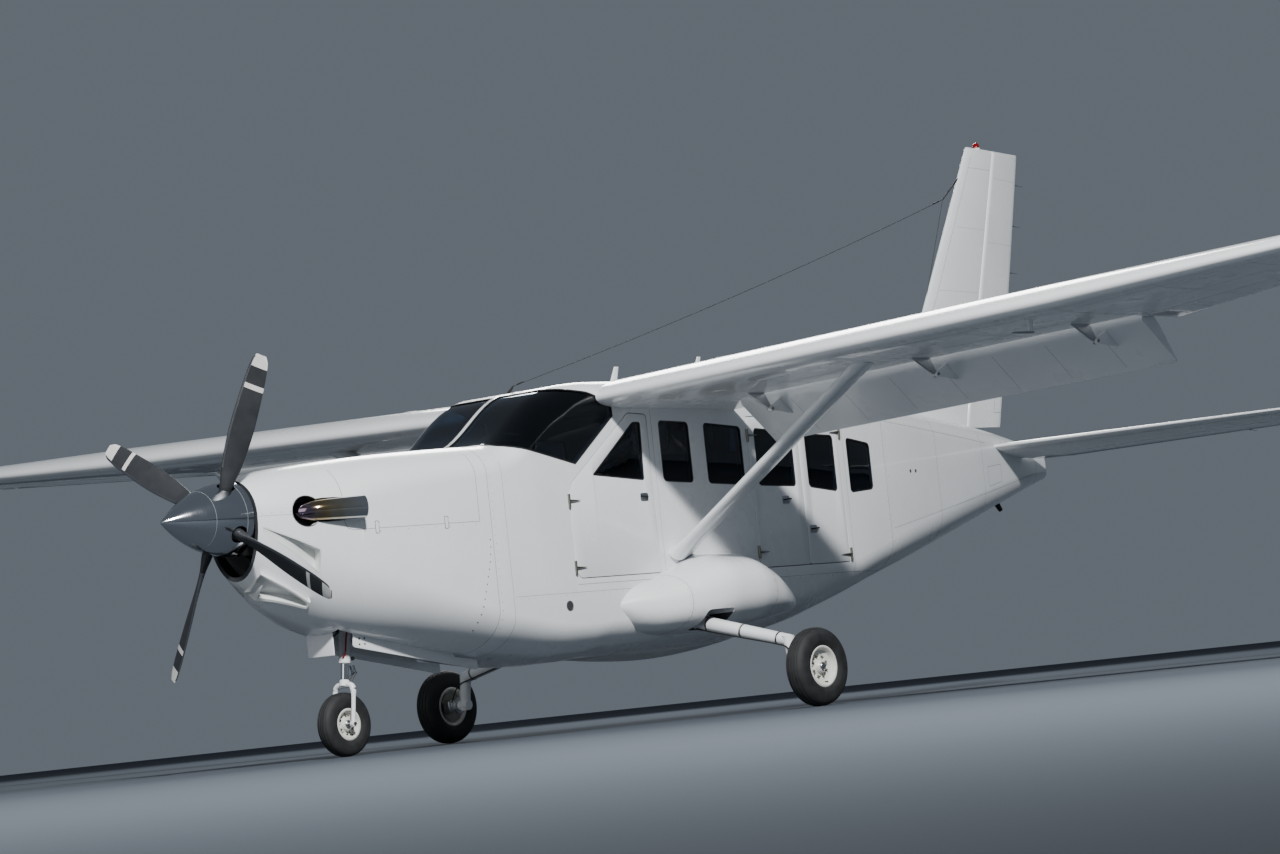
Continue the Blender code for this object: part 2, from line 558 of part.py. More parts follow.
def make_body():
    """Cowling, cabin shell, doors, glass and rear fuselage."""
    cowl = add_object("engine_cowling", body_shell(COWL_FRONT, FIREWALL - GAP, 0.0, COWL_WALL),
                      "white paint", 30)
    boolean(cowl, guide("nose_bay", box((-BAY_X, BAY_X), BAY_S, (0.3, 1.0))))
    for side, name in ((1, "left"), (-1, "right")):
        bm = bmesh.new()
        rod(bm, at(side * 0.25, EXHAUST_S, THRUST_Z), at(side * CUT_FAR, EXHAUST_S, THRUST_Z),
            EXHAUST_PORT_R, count=20)
        boolean(cowl, guide(f"exhaust_port_{name}", bm))
        bm = bmesh.new()
        loft(bm, exhaust_rings(side, EXHAUST_ROOM)[1:])
        boolean(cowl, guide(f"exhaust_trough_{name}", bm))

    cuts = [guide("cabin_space", body_solid(FIREWALL + BULKHEAD, CABIN_REAR + BULKHEAD, WALL))]
    glass_source = body_shell(FIREWALL, CABIN_REAR, PANE_SINK, PANE_SINK + PANE_THICK)
    for side, name in ((1, "left"), (-1, "right")):
        inner, outer = side * CUT_NEAR, side * CUT_FAR
        post = side * POST_HALF
        cuts.append(guide(f"windshield_opening_{name}", side_prism(WINDSHIELD, post, outer)))
        pane = add_object(f"windshield_{name}", glass_source.copy(), "glass")
        boolean(pane, guide(f"windshield_trim_{name}",
                            side_prism(WINDSHIELD, post + side * GAP, outer, -GAP)), "INTERSECT")
        cuts.append(guide(f"crew_door_opening_{name}", side_prism(CREW_DOOR, inner, outer)))
        make_door(f"crew_door_{name}", CREW_DOOR, CREW_WINDOW, side, CREW_HINGE, glass_source)
    cuts.append(guide("cabin_door_opening", side_prism(CABIN_DOOR, CUT_NEAR, CUT_FAR)))
    front_leaf = tuple((min(s, DOOR_SPLIT + PLAY / 2), z) for s, z in CABIN_DOOR)
    rear_leaf = tuple((max(s, DOOR_SPLIT - PLAY / 2), z) for s, z in CABIN_DOOR)
    make_door("cabin_door_front", front_leaf, window_outline(WINDOWS[2]), 1, FRONT_LEAF_HINGE, glass_source)
    make_door("cabin_door_rear", rear_leaf, window_outline(WINDOWS[3]), 1, REAR_LEAF_HINGE, glass_source)
    cuts += make_fixed_windows("side_windows_left", 1, WINDOWS[:2])
    cuts += make_fixed_windows("rear_window_left", 1, WINDOWS[4:])
    cuts += make_fixed_windows("side_windows_right", -1, WINDOWS)
    glass_source.free()
    make_cabin_panels(cuts)

    rear = add_object("rear_fuselage", body_solid(CABIN_REAR + GAP, TAIL_END, 0.0), "white paint", 30)
    boolean(rear, guide("rear_space", body_solid(CABIN_REAR + BULKHEAD, REAR_SPACE_END, REAR_WALL)))
    hatch = box((-HATCH_X, HATCH_X), (CABIN_REAR - PLAY, CABIN_REAR + 2 * BULKHEAD), HATCH_Z)
    boolean(rear, guide("rear_hatch", hatch))
    boolean(rear, guide("tailplane_slot", tail_loft(-GAP)))
    bm = bmesh.new()
    (top_s, top_z), (foot_s, foot_z), radii = SKID
    rod(bm, at(0, top_s, top_z), at(0, foot_s, foot_z), *radii, 10)
    boolean(rear, guide("tail_skid", bm), "UNION")


def make_cabin_panels(cuts):
    """The cabin's walls as panels: firewall frame, belly, roof and two sides, cut by openings."""
    wide, long, tall = (-CUT_FAR, CUT_FAR), (FRAME_REAR + GAP, CABIN_REAR), (BELLY_TOP + GAP, ROOF_LOW - GAP)
    post = box((-2 * POST_HALF, 2 * POST_HALF), (FIREWALL + BULKHEAD, FRAME_REAR + POST_LENGTH),
               (SCUTTLE_Z - WALL, ROOF_LOW - GAP))
    regions = {
        "firewall_frame": [box(wide, (FIREWALL, FRAME_REAR), (0.0, ROOF_LOW - GAP)), post],
        "cabin_belly": [box(wide, long, (0.0, BELLY_TOP))],
        "cabin_roof": [box(wide, (FIREWALL, CABIN_REAR), (ROOF_LOW, ROOF_LOW + 1.0))],
        "cabin_side_left": [box((2 * POST_HALF + GAP, CUT_FAR), long, tall)],
        "cabin_side_right": [box((-CUT_FAR, -2 * POST_HALF - GAP), long, tall)],
    }
    for name, blocks in regions.items():
        panel = add_object(name, body_solid(FIREWALL, CABIN_REAR, 0.0), "white paint", 30)
        region = guide(f"{name}_region", blocks[0])
        for extra in blocks[1:]:
            boolean(region, guide(f"{name}_region_extra", extra), "UNION")
        for cut in cuts:
            boolean(panel, cut)
        boolean(panel, region, "INTERSECT")


def make_door(name, outline, window, side, hinge, glass_source):
    """A door cut from the cabin wall, with its window, its pane and two outside hinges."""
    inner, outer = side * CUT_NEAR, side * CUT_FAR
    hinge_s, lean, heights = hinge
    skin_x = body_ring(hinge_s, 0.0)[0].x
    axis_x = side * (skin_x + GAP + LEAF_HINGE_R)
    pivot = at(axis_x, hinge_s, heights[0])
    door = add_object(name, body_shell(FIREWALL, CABIN_REAR, 0.0, WALL), "white paint", 30, pivot)
    boolean(door, guide(f"{name}_trim", side_prism(outline, inner, outer, -PLAY)), "INTERSECT")
    boolean(door, guide(f"{name}_window_opening", side_prism(window, inner, outer)))
    outside, inside, lip = axis_x + side * 0.006, axis_x - side * 0.027, axis_x - side * 0.007
    strap = ((outside, 0.0), (outside, LEAF_STRAP), (inside, LEAF_STRAP), (inside, 0.021),
             (lip, 0.021), (lip, 0.0))
    for k, z in enumerate(heights):
        bm = bmesh.new()
        loft(bm, [[at(x, hinge_s + lean * s, z + half) for x, s in strap]
                  for half in (-LEAF_HINGE_HALF, LEAF_HINGE_HALF)])
        boolean(door, guide(f"{name}_strap_{k}", bm), "UNION")
        bm = bmesh.new()
        half = LEAF_HINGE_HALF + 0.004
        rod(bm, at(axis_x, hinge_s, z - half), at(axis_x, hinge_s, z + half), LEAF_HINGE_R)
        boolean(door, guide(f"{name}_barrel_{k}", bm), "UNION")
    pane = add_object(f"{name}_window", glass_source.copy(), "glass", pivot=pivot)
    boolean(pane, guide(f"{name}_window_trim", side_prism(window, inner, outer, -GAP)), "INTERSECT")


def make_fixed_windows(name, side, rows):
    """The panes of one side that don't open, joined by a strip inside; gives their cutters."""
    inner, outer = side * CUT_NEAR, side * CUT_FAR
    strip_outline = ((rows[0][0] - 0.03, rows[-1][3] - 0.03), (rows[-1][1] + 0.03, rows[-1][3] - 0.03),
                     (rows[-1][1] + 0.03, rows[-1][5] + 0.02), (rows[0][0] - 0.03, rows[0][4] + 0.02))
    panes = add_object(name, body_shell(FIREWALL, CABIN_REAR, WALL + GAP, WALL + GAP + STRIP), "glass")
    boolean(panes, guide(f"{name}_strip", side_prism(strip_outline, inner, outer)), "INTERSECT")
    cuts = []
    for k, row in enumerate(rows):
        outline = window_outline(row)
        cuts.append(guide(f"{name}_opening_{k}", side_prism(outline, inner, outer)))
        plug = guide(f"{name}_pane_{k}",
                     body_shell(FIREWALL, CABIN_REAR, PANE_SINK, WALL + GAP + STRIP / 2))
        boolean(plug, guide(f"{name}_edge_{k}", side_prism(outline, inner, outer, -GAP)), "INTERSECT")
        boolean(panes, plug, "UNION")
    return cuts


def tail_loft(grow):
    """The tailplane in one piece, tip to tip, without its elevators."""
    bm = bmesh.new()
    rings = [tail_ring(side * x, TAIL_LE + TAIL_LE_SWEEP * x, ELEVATOR_S - HINGE_ROOM, grow)
             for side, x in ((-1, TAIL_HALF_SPAN), (-1, TAIL_MIDDLE_X),
                             (1, TAIL_MIDDLE_X), (1, TAIL_HALF_SPAN))]
    loft(bm, rings)
    return bm


def tail_ring(x, front, back, grow=0.0, nose=False):
    """A symmetric section of the tail between two stations."""
    span_share = abs(x) / TAIL_HALF_SPAN
    leading = TAIL_LE + TAIL_LE_SWEEP * abs(x)
    chord = TAIL_TE - leading
    thick = TAIL_THICK_ROOT + (TAIL_THICK_TIP - TAIL_THICK_ROOT) * span_share
    count = 7
    top, low = [], []
    for k in range(count + 1):
        s = front + (back - front) * (1 - math.cos(math.pi / 2 * k / count))
        u = min(max((s - leading) / chord, 0.0), 1.0)
        half = 2.2 * thick * (math.sqrt(u) * 0.62 - 0.22 * u - 0.393 * u * u) + 0.002 - grow
        if nose and k == 0:
            half *= 0.45
        if u == 0.0:
            half = 0.004 - grow
        middle = TAIL_LE_Z - TAIL_SLOPE * (s - TAIL_LE)
        top.append(at(x, s, middle + half))
        low.append(at(x, s, middle - half))
    if grow:
        for ring in (top, low):
            ring[0].y += grow
            ring[-1].y -= grow
    return top[::-1] + low


def make_tail():
    """Fin, rudder, tailplane and elevators."""
    add_object("tailplane", tail_loft(0.0), "white paint", 30)
    hinge_s = ELEVATOR_S + HINGE_BACK
    hinge_z = TAIL_LE_Z - TAIL_SLOPE * (hinge_s - TAIL_LE)
    reach = (HINGE_BACK + HINGE_ROOM) * math.cos(math.atan(TAIL_SLOPE))
    for side, name in ((1, "left"), (-1, "right")):
        start, end = (at(side * x, hinge_s, hinge_z) for x in (ELEVATOR_ROOT_X, TAIL_HALF_SPAN))
        bm = bmesh.new()
        loft(bm, [tail_ring(side * x, ELEVATOR_S, TAIL_TE, nose=True)
                  for x in (ELEVATOR_ROOT_X, TAIL_HALF_SPAN)])
        elevator = add_object(f"elevator_{name}", bm, "white paint", 30, pivot=start)
        knuckles(elevator, f"elevator_{name}", start, end, reach, reach)

    bm = bmesh.new()
    loft(bm, [fin_ring(z, fin_front(z), rudder_front(z) - HINGE_ROOM) for z in (FIN_ROOT_Z, FIN_TOP_Z)])
    fin = add_object("fin", bm, "white paint", 30)
    boolean(fin, guide("fin_seat", body_solid(CABIN_REAR, TAIL_END, -GAP)))
    bm = bmesh.new()
    loft(bm, [fin_ring(z, rudder_front(z), RUDDER_TE + RUDDER_TE_SLOPE * (z - FIN_ROOT_Z), True)
              for z in (RUDDER_LOW, FIN_TOP_Z)])
    start, end = (fin_point(0, rudder_front(z) + HINGE_BACK, z) for z in (RUDDER_LOW, FIN_TOP_Z))
    rudder = add_object("rudder", bm, "white paint", 30, pivot=start)
    reach = (HINGE_BACK + HINGE_ROOM) * math.cos(math.atan(HINGE_SLOPE)) + GAP
    knuckles(rudder, "rudder", start, end, reach, reach)


def fin_front(z):
    """Station of the fin's leading edge at a height."""
    return FIN_LE + FIN_SWEEP * (z - FIN_ROOT_Z)


def rudder_front(z):
    """Station of the rudder's nose at a height."""
    return HINGE_S + HINGE_SLOPE * (z - FIN_ROOT_Z)


def fin_point(x, s, z):
    """A point of the fin or rudder, lowered with the fall of the top edge."""
    share = (z - FIN_ROOT_Z) / (FIN_TOP_Z - FIN_ROOT_Z)
    return at(x, s, z - FIN_TOP_FALL * share * (s - fin_front(z)))


def fin_ring(z, front, back, nose=False):
    """A symmetric section of the fin or rudder at one height."""
    share = (z - FIN_ROOT_Z) / (FIN_TOP_Z - FIN_ROOT_Z)
    leading = fin_front(z)
    chord = RUDDER_TE + RUDDER_TE_SLOPE * (z - FIN_ROOT_Z) - leading
    thick = FIN_THICK_ROOT + (FIN_THICK_TIP - FIN_THICK_ROOT) * share
    count = 7
    left, right = [], []
    for k in range(count + 1):
        s = front + (back - front) * (1 - math.cos(math.pi / 2 * k / count))
        u = min(max((s - leading) / chord, 0.0), 1.0)
        half = 2.2 * thick * (math.sqrt(u) * 0.62 - 0.22 * u - 0.393 * u * u) + 0.002
        if nose and k == 0:
            half *= 0.45
        if u == 0.0:
            half = 0.004
        left.append(fin_point(half, s, z))
        right.append(fin_point(-half, s, z))
    return left[::-1] + right


def make_propeller():
    """Propeller with its hub and shaft, and the spinner round it."""
    centre = at(0, PROP_S, THRUST_Z)
    aft = Vector((0, 1, 0))
    hub = bmesh.new()
    turned(hub, ((-0.12, 0.001), (-0.12, 0.055), (-0.07, HUB_RADIUS), (0.06, HUB_RADIUS),
                 (0.075, SHAFT_RADIUS), (ENGINE[1][0] - GAP - PROP_S, SHAFT_RADIUS),
                 (ENGINE[1][0] - GAP - PROP_S, 0.001)), centre, aft, 24)
    bmesh.ops.remove_doubles(hub, verts=hub.verts, dist=0.0025)
    propeller = add_object("propeller", hub, "blade grey", pivot=centre)
    for k in range(4):
        bm = bmesh.new()
        rings = []
        for radius, chord, thick, pitch in BLADE:
            turn = math.radians(pitch)
            ring = []
            for j in range(12):
                a = 2 * math.pi * j / 12
                u, v = 0.5 * chord * math.cos(a), 0.5 * thick * math.sin(a)
                ring.append(Vector((u * math.cos(turn) - v * math.sin(turn),
                                    u * math.sin(turn) + v * math.cos(turn), radius)))
            rings.append(ring)
        loft(bm, rings)
        angle = PROP_ANGLE + k * math.pi / 2
        bm.transform(Matrix.Translation(centre) @ Matrix.Rotation(angle, 4, aft))
        boolean(propeller, guide(f"blade_{k}", bm), "UNION")

    bm = bmesh.new()
    outer = [(SPINNER_BACK * t, SPINNER_RADIUS * math.sin(math.pi / 2 * t ** 0.96) ** 0.94)
             for t in (0.0, 0.02, 0.07, 0.16, 0.30, 0.46, 0.64, 0.82, 1.0)]
    outer[0] = (0.0, 0.0008)
    inner = [(s + SPINNER_WALL * 1.5, max(r - SPINNER_WALL, 0.0008)) for s, r in outer[2:-1]]
    inner[0] = (inner[0][0] + 0.01, 0.0008)
    inner.append((SPINNER_BACK - 0.012, SPINNER_RADIUS - SPINNER_WALL))
    plate = [(SPINNER_BACK - 0.012, SHAFT_RADIUS + GAP), (SPINNER_BACK, SHAFT_RADIUS + GAP)]
    profile = outer + plate[::-1] + inner[::-1]
    turned(bm, [(s, r) for s, r in profile], at(0, 0, THRUST_Z), aft, 36)
    bmesh.ops.remove_doubles(bm, verts=bm.verts, dist=0.0020)
    spinner = add_object("spinner", bm, "polished metal", pivot=centre)
    for k in range(4):
        bm = bmesh.new()
        angle = PROP_ANGLE + k * math.pi / 2
        out = Vector((math.sin(angle), 0, math.cos(angle)))
        rod(bm, centre + out * (HUB_RADIUS + 0.02), centre + out * (SPINNER_RADIUS + 0.15), BLADE_HOLE_R)
        boolean(spinner, guide(f"blade_hole_{k}", bm))


def exhaust_rings(side, grow=0.0):
    """Sections of an exhaust stack from the engine's side to its outlet."""
    start = at(side * (ENGINE[0][1] + GAP), EXHAUST_S, THRUST_Z)
    elbow = at(side * EXHAUST_ELBOW_X, EXHAUST_S, THRUST_Z)
    end = at(side * EXHAUST_END[0], EXHAUST_END[1], EXHAUST_END[2])
    out, along = Vector((side, 0.0, 0.0)), (end - elbow).normalized()
    turns = ((start, out), (elbow, out + along), (end, along))
    return [tube_ring(place, way, radius + grow) for (place, way), radius in zip(turns, EXHAUST_RADII)]


def make_engine():
    """The engine as one plain block, and its two exhaust stacks."""
    add_object("engine_block", box(*ENGINE), "steel")
    for side, name in ((1, "left"), (-1, "right")):
        rings = exhaust_rings(side)
        end = at(side * EXHAUST_END[0], EXHAUST_END[1], EXHAUST_END[2])
        along = (end - at(side * EXHAUST_ELBOW_X, EXHAUST_S, THRUST_Z)).normalized()
        mouth = EXHAUST_RADII[2] - 0.006
        bm = bmesh.new()
        loft(bm, rings + [tube_ring(end, along, mouth), tube_ring(end - along * 0.30, along, mouth - 0.014)])
        add_object(f"exhaust_stack_{name}", bm, "polished metal")


def make_main_gear():
    """Sponsons, legs and wheels."""
    for side, name in ((1, "left"), (-1, "right")):
        bm = bmesh.new()
        first, last = SPONSON[0][0], SPONSON[-1][0]
        loft(bm, [sponson_ring(side, hermite(SPONSON, first + (last - first) * k / 18)) for k in range(19)])
        sponson = add_object(f"gear_sponson_{name}", bm, "white paint", 40)
        boolean(sponson, guide(f"sponson_seat_{name}", body_solid(3.4, 6.0, -GAP)))
        boolean(sponson, guide(f"strut_notch_{name}", strut_solid(side, GAP)))
        pocket = box(sorted((side * POCKET_X[0], side * POCKET_X[1])), POCKET_S, POCKET_Z)
        boolean(sponson, guide(f"gear_pocket_{name}", pocket))

        z0, (x1, z1) = MAIN_LEG
        axle = at(side * (x1 + 0.030), MAIN_S, MAIN_TYRE_R)
        knee = at(side * x1, MAIN_S, z1)
        root = at(side * (POCKET_X[0] + GAP), MAIN_S + 0.02, z0)
        bm = bmesh.new()
        loft(bm, [tube_ring(root, (side, 0, 0), MAIN_LEG_RADII[0]),
                  tube_ring(knee, knee - root, MAIN_LEG_RADII[1])])
        leg = add_object(f"main_gear_leg_{name}", bm, "white paint")
        bm = bmesh.new()
        rod(bm, knee + Vector((-side * 0.01, 0, 0.035)), axle + Vector((0, 0, -0.045)), 0.048, 0.040)
        boolean(leg, guide(f"leg_foot_{name}", bm), "UNION")
        bm = bmesh.new()
        axle_end = at(side * (MAIN_TRACK / 2 + 0.062), MAIN_S, MAIN_TYRE_R)
        rod(bm, axle + Vector((-side * 0.02, 0, 0)), axle_end, MAIN_AXLE_R)
        boolean(leg, guide(f"leg_axle_{name}", bm), "UNION")
        centre = at(side * MAIN_TRACK / 2, MAIN_S, MAIN_TYRE_R)
        make_wheel(f"main_{{}}_{name}", centre, MAIN_TYRE_R, MAIN_TYRE_W, MAIN_RIM_R, MAIN_AXLE_R)


def sponson_ring(side, row):
    """A rounded section of the sponson, whose inner part the body cuts away."""
    s, x_out, low, high = row
    x_in, middle, half = 0.40, (low + high) / 2, (high - low) / 2
    reach = x_out - x_in
    ring = []
    for k in range(15):
        angle = -math.pi / 2 + math.pi * k / 14
        x = x_in + reach * max(math.cos(angle), 0.0) ** 0.62
        z = middle + half * math.copysign(abs(math.sin(angle)) ** 0.85, math.sin(angle))
        ring.append(at(side * x, s, z))
    ring[0] = at(side * x_in, s, low)
    ring[-1] = at(side * x_in, s, high)
    return ring


def make_wheel(pattern, centre, radius, width, rim, axle):
    """A tyre and its wheel disc, both turned round the axle."""
    half, axis = width / 2, Vector((1, 0, 0))
    bm = bmesh.new()
    profile = [(-half * 0.80, rim + GAP), (half * 0.80, rim + GAP)]
    for k in range(9):
        angle = math.pi * k / 8
        along = half * math.copysign(abs(math.cos(angle)) ** 0.75, math.cos(angle))
        out = rim + 0.03 + (radius - rim - 0.03) * math.sin(angle) ** 0.65
        profile.append((along, out))
    turned(bm, profile, centre, axis, 40)
    add_object(pattern.format("tyre"), bm, "rubber", pivot=centre)
    bm = bmesh.new()
    bore = axle + GAP
    profile = ((-half * 0.70, bore), (half * 0.62, bore), (half * 0.62, 0.045), (half * 0.35, 0.055),
               (half * 0.35, rim - 0.035), (half * 0.76, rim - 0.020), (half * 0.76, rim),
               (-half * 0.76, rim), (-half * 0.76, rim - 0.020), (-half * 0.45, rim - 0.035),
               (-half * 0.45, 0.055), (-half * 0.70, 0.045))
    turned(bm, profile, centre, axis, 40)
    add_object(pattern.format("rim"), bm, "wheel paint", pivot=centre)


def leg_point(x, up, fore=0.0):
    """A point by its distance up the nose leg from the axle, and ahead of the leg."""
    return at(x, NOSE_S + up * math.sin(NOSE_RAKE) - fore * math.cos(NOSE_RAKE),
              NOSE_TYRE_R + up * math.cos(NOSE_RAKE) + fore * math.sin(NOSE_RAKE))


def make_nose_gear():
    """Leg, fork, wheel and bay doors."""
    beam = bmesh.new()
    rod(beam, leg_point(-0.7, NOSE_TRUNNION), leg_point(0.7, NOSE_TRUNNION), 0.030)
    beam = guide("nose_trunnion", beam)
    inside = guide("nose_trunnion_trim", body_solid(COWL_FRONT, FIREWALL, COWL_WALL + GAP))
    boolean(beam, inside, "INTERSECT")
    bm = bmesh.new()
    rod(bm, leg_point(0, NOSE_COLLAR), leg_point(0, NOSE_TRUNNION + 0.06), NOSE_LEG_R)
    boolean(add_object("nose_gear_leg", bm, "white paint"), beam, "UNION")

    bm = bmesh.new()
    rod(bm, leg_point(0, FORK_CROWN - 0.01), leg_point(0, NOSE_COLLAR - GAP), NOSE_PISTON_R)
    fork = add_object("nose_fork", bm, "white paint", pivot=leg_point(0, 0))
    parts = [((-FORK_HALF, FORK_CROWN), (FORK_HALF, FORK_CROWN), 0.022),
             ((-FORK_HALF, -0.012), (-FORK_HALF, FORK_CROWN + 0.014), 0.016),
             ((FORK_HALF, -0.012), (FORK_HALF, FORK_CROWN + 0.014), 0.016),
             ((-FORK_HALF - 0.004, 0.0), (FORK_HALF + 0.004, 0.0), NOSE_AXLE_R)]
    for k, (start, end, radius) in enumerate(parts):
        bm = bmesh.new()
        rod(bm, leg_point(*start), leg_point(*end), radius)
        boolean(fork, guide(f"fork_part_{k}", bm), "UNION")
    make_wheel("nose_{}", at(0, NOSE_S, NOSE_TYRE_R), NOSE_TYRE_R, NOSE_TYRE_W, NOSE_RIM_R, NOSE_AXLE_R)

    for side, name in ((1, "left"), (-1, "right")):
        near, far = side * (BAY_X - GAP - DOOR_THICK), side * (BAY_X - GAP)
        add_object(f"nose_gear_door_{name}", side_prism(NOSE_DOOR, near, far), "white paint")
    front = (BAY_S[0] + GAP, BAY_S[0] + GAP + DOOR_THICK)
    door = box((-FRONT_DOOR_X, FRONT_DOOR_X), front, FRONT_DOOR_Z)
    add_object("nose_gear_front_door", door, "white paint")


def seat_solid(x, station, width):
    """A seat as one block, from its profile."""
    bm = bmesh.new()
    loft(bm, [[at(x + half, station + s, FLOOR_Z + GAP + z) for s, z in SEAT_PROFILE]
              for half in (-width / 2, width / 2)])
    return bm


def make_cabin():
    """Floor, instrument panel and seats."""
    floor = add_object("cabin_floor", box((-CUT_FAR, CUT_FAR), FLOOR_S, (FLOOR_Z - FLOOR_THICK, FLOOR_Z)),
                       "cabin grey")
    inside = guide("cabin_inside", body_solid(FIREWALL + BULKHEAD + GAP, CABIN_REAR + BULKHEAD, WALL + GAP))
    boolean(floor, inside, "INTERSECT")
    panel = add_object("instrument_panel", box((-CUT_FAR, CUT_FAR), PANEL_S, PANEL_Z), "cabin grey")
    boolean(panel, inside, "INTERSECT")
    for name, x, station, width in SEATS:
        add_object(name, seat_solid(x, station, width), "cabin grey")


for old in list(bpy.data.objects):
    bpy.data.objects.remove(old, do_unlink=True)
make_body()
make_wings()
make_tail()
make_propeller()
make_engine()
make_main_gear()
make_nose_gear()
make_cabin()
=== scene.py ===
"""Looks of a light utility airplane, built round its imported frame.

Metres, +Z up.  The nose points along -Y and the left wing along +X.  Stations are measured
aft from the tip of the spinner and called S or station, so y = S - LENGTH / 2.
"""

import json
import logging
import math
from dataclasses import dataclass, field
from enum import Enum
from typing import Callable, Iterable, Sequence

import bmesh
import bpy
from bmesh.types import BMesh
from mathutils import Matrix, Vector

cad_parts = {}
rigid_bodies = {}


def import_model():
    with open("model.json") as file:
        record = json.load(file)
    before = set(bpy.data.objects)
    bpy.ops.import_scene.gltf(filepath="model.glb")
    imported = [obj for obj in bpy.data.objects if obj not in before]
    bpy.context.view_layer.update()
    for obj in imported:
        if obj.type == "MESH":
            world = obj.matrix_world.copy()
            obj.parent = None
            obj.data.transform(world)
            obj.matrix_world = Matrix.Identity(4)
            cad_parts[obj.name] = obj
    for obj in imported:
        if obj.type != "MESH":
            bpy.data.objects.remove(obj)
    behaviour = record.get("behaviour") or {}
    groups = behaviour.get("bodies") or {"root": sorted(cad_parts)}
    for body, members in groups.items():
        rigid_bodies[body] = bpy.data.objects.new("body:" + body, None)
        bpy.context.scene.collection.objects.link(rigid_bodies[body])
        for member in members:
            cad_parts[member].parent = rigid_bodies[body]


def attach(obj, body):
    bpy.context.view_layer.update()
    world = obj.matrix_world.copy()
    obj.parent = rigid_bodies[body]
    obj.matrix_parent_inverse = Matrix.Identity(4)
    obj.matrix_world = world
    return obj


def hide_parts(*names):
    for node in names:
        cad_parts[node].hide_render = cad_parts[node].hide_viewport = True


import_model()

LOG = logging.getLogger("airplane")
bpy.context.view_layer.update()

LENGTH = 9.90            # spinner tip to the aft corner of the rudder
THRUST_Z = 1.683         # height of the propeller's axis
GAP = 0.0004             # between pieces that touch
PLAY = 0.006             # round a piece that moves
MM = 0.001
SIDES = ((1, "left"), (-1, "right"))


class Cut(Enum):
    """What a Boolean does with its tools."""

    AWAY = "DIFFERENCE"
    KEEP = "INTERSECT"
    JOIN = "UNION"


def at(x: float, station: float, z: float) -> Vector:
    """The point at a station, in the frame."""
    return Vector((x, station - LENGTH / 2, z))


def ease(low: float, high: float, value: float) -> float:
    """A smooth step from 0 to 1 between two values."""
    t = min(max((value - low) / (high - low), 0.0), 1.0)
    return t * t * (3 - 2 * t)


def monotone(left: float, right: float) -> float:
    """A slope between two others that makes no overshoot."""
    return 0.0 if left * right <= 0 else 2 * left * right / (left + right)


def blend_rows(table: Sequence[Sequence[float]], key: float) -> list[float]:
    """One row of a table at any value of its first column, on a smooth curve.

    Args:
        table: Rows in order of their first column.
        key: The value of the first column that is wanted.

    Returns:
        The row, with the key as its first number.
    """
    if key <= table[0][0]:
        return list(table[0])
    if key >= table[-1][0]:
        return list(table[-1])
    i = max(k for k, row in enumerate(table) if row[0] <= key)
    a, b = table[i], table[i + 1]
    before, after = table[max(i - 1, 0)], table[min(i + 2, len(table) - 1)]
    width = b[0] - a[0]
    t = (key - a[0]) / width
    out = [key]
    for k in range(1, len(a)):
        slope = (b[k] - a[k]) / width
        enter = slope if before is a else monotone((a[k] - before[k]) / (a[0] - before[0]), slope)
        leave = slope if after is b else monotone(slope, (after[k] - b[k]) / (after[0] - b[0]))
        out.append((2 * t ** 3 - 3 * t ** 2 + 1) * a[k] + (t ** 3 - 2 * t ** 2 + t) * width * enter
                   + (3 * t ** 2 - 2 * t ** 3) * b[k] + (t ** 3 - t ** 2) * width * leave)
    return out


# Making meshes


def spread(first: float, last: float, step: float) -> list[float]:
    """Even values from first to last, no further apart than step."""
    count = max(1, math.ceil(abs(last - first) / step - 0.01))
    return [first + (last - first) * k / count for k in range(count + 1)]


def skin(rows: Sequence[Sequence[Vector]], closed: bool = True, capped: bool = False) -> BMesh:
    """Bends a grid onto rows of points.

    Args:
        rows: Rows of equally many points.
        closed: Whether each row runs round, so that its ends meet.
        capped: Whether the first and last row are filled.

    Returns:
        The mesh, with its doubles merged and its faces pointing out.
    """
    bm = bmesh.new()
    count = len(rows[0])
    across = count if closed else count - 1
    bmesh.ops.create_grid(bm, x_segments=across, y_segments=len(rows) - 1, size=1.0)
    for vert in bm.verts:
        i = round((vert.co.x + 1) / 2 * across)
        j = round((vert.co.y + 1) / 2 * (len(rows) - 1))
        vert.co = rows[j][i % count]
    bmesh.ops.remove_doubles(bm, verts=bm.verts, dist=0.00001)
    if capped:
        bmesh.ops.holes_fill(bm, edges=[e for e in bm.edges if e.is_boundary], sides=0)
    bmesh.ops.recalc_face_normals(bm, faces=bm.faces)
    return bm


def ring(centre: Vector, direction: Vector, radius: float, count: int = 20, flat: float = 1.0) -> list[Vector]:
    """Points of a circle or, with flat under 1, an ellipse round an axis."""
    direction = Vector(direction).normalized()
    side = direction.cross(Vector((0, 0, 1))) if abs(direction.z) < 0.95 else Vector((1, 0, 0))
    side.normalize()
    up = direction.cross(side).normalized()
    turns = [2 * math.pi * k / count for k in range(count)]
    return [centre + radius * (side * math.cos(a) + up * flat * math.sin(a)) for a in turns]


def tube(points: Sequence[Vector], radii: float | Sequence[float], count: int = 14, flat: float = 1.0) -> BMesh:
    """A closed bar that follows points, of one radius or of one for each point."""
    if isinstance(radii, (int, float)):
        radii = [radii] * len(points)
    rows = []
    for k, point in enumerate(points):
        way = points[min(k + 1, len(points) - 1)] - points[max(k - 1, 0)]
        rows.append(ring(point, way, radii[k], count, flat))
    return skin(rows, capped=True)


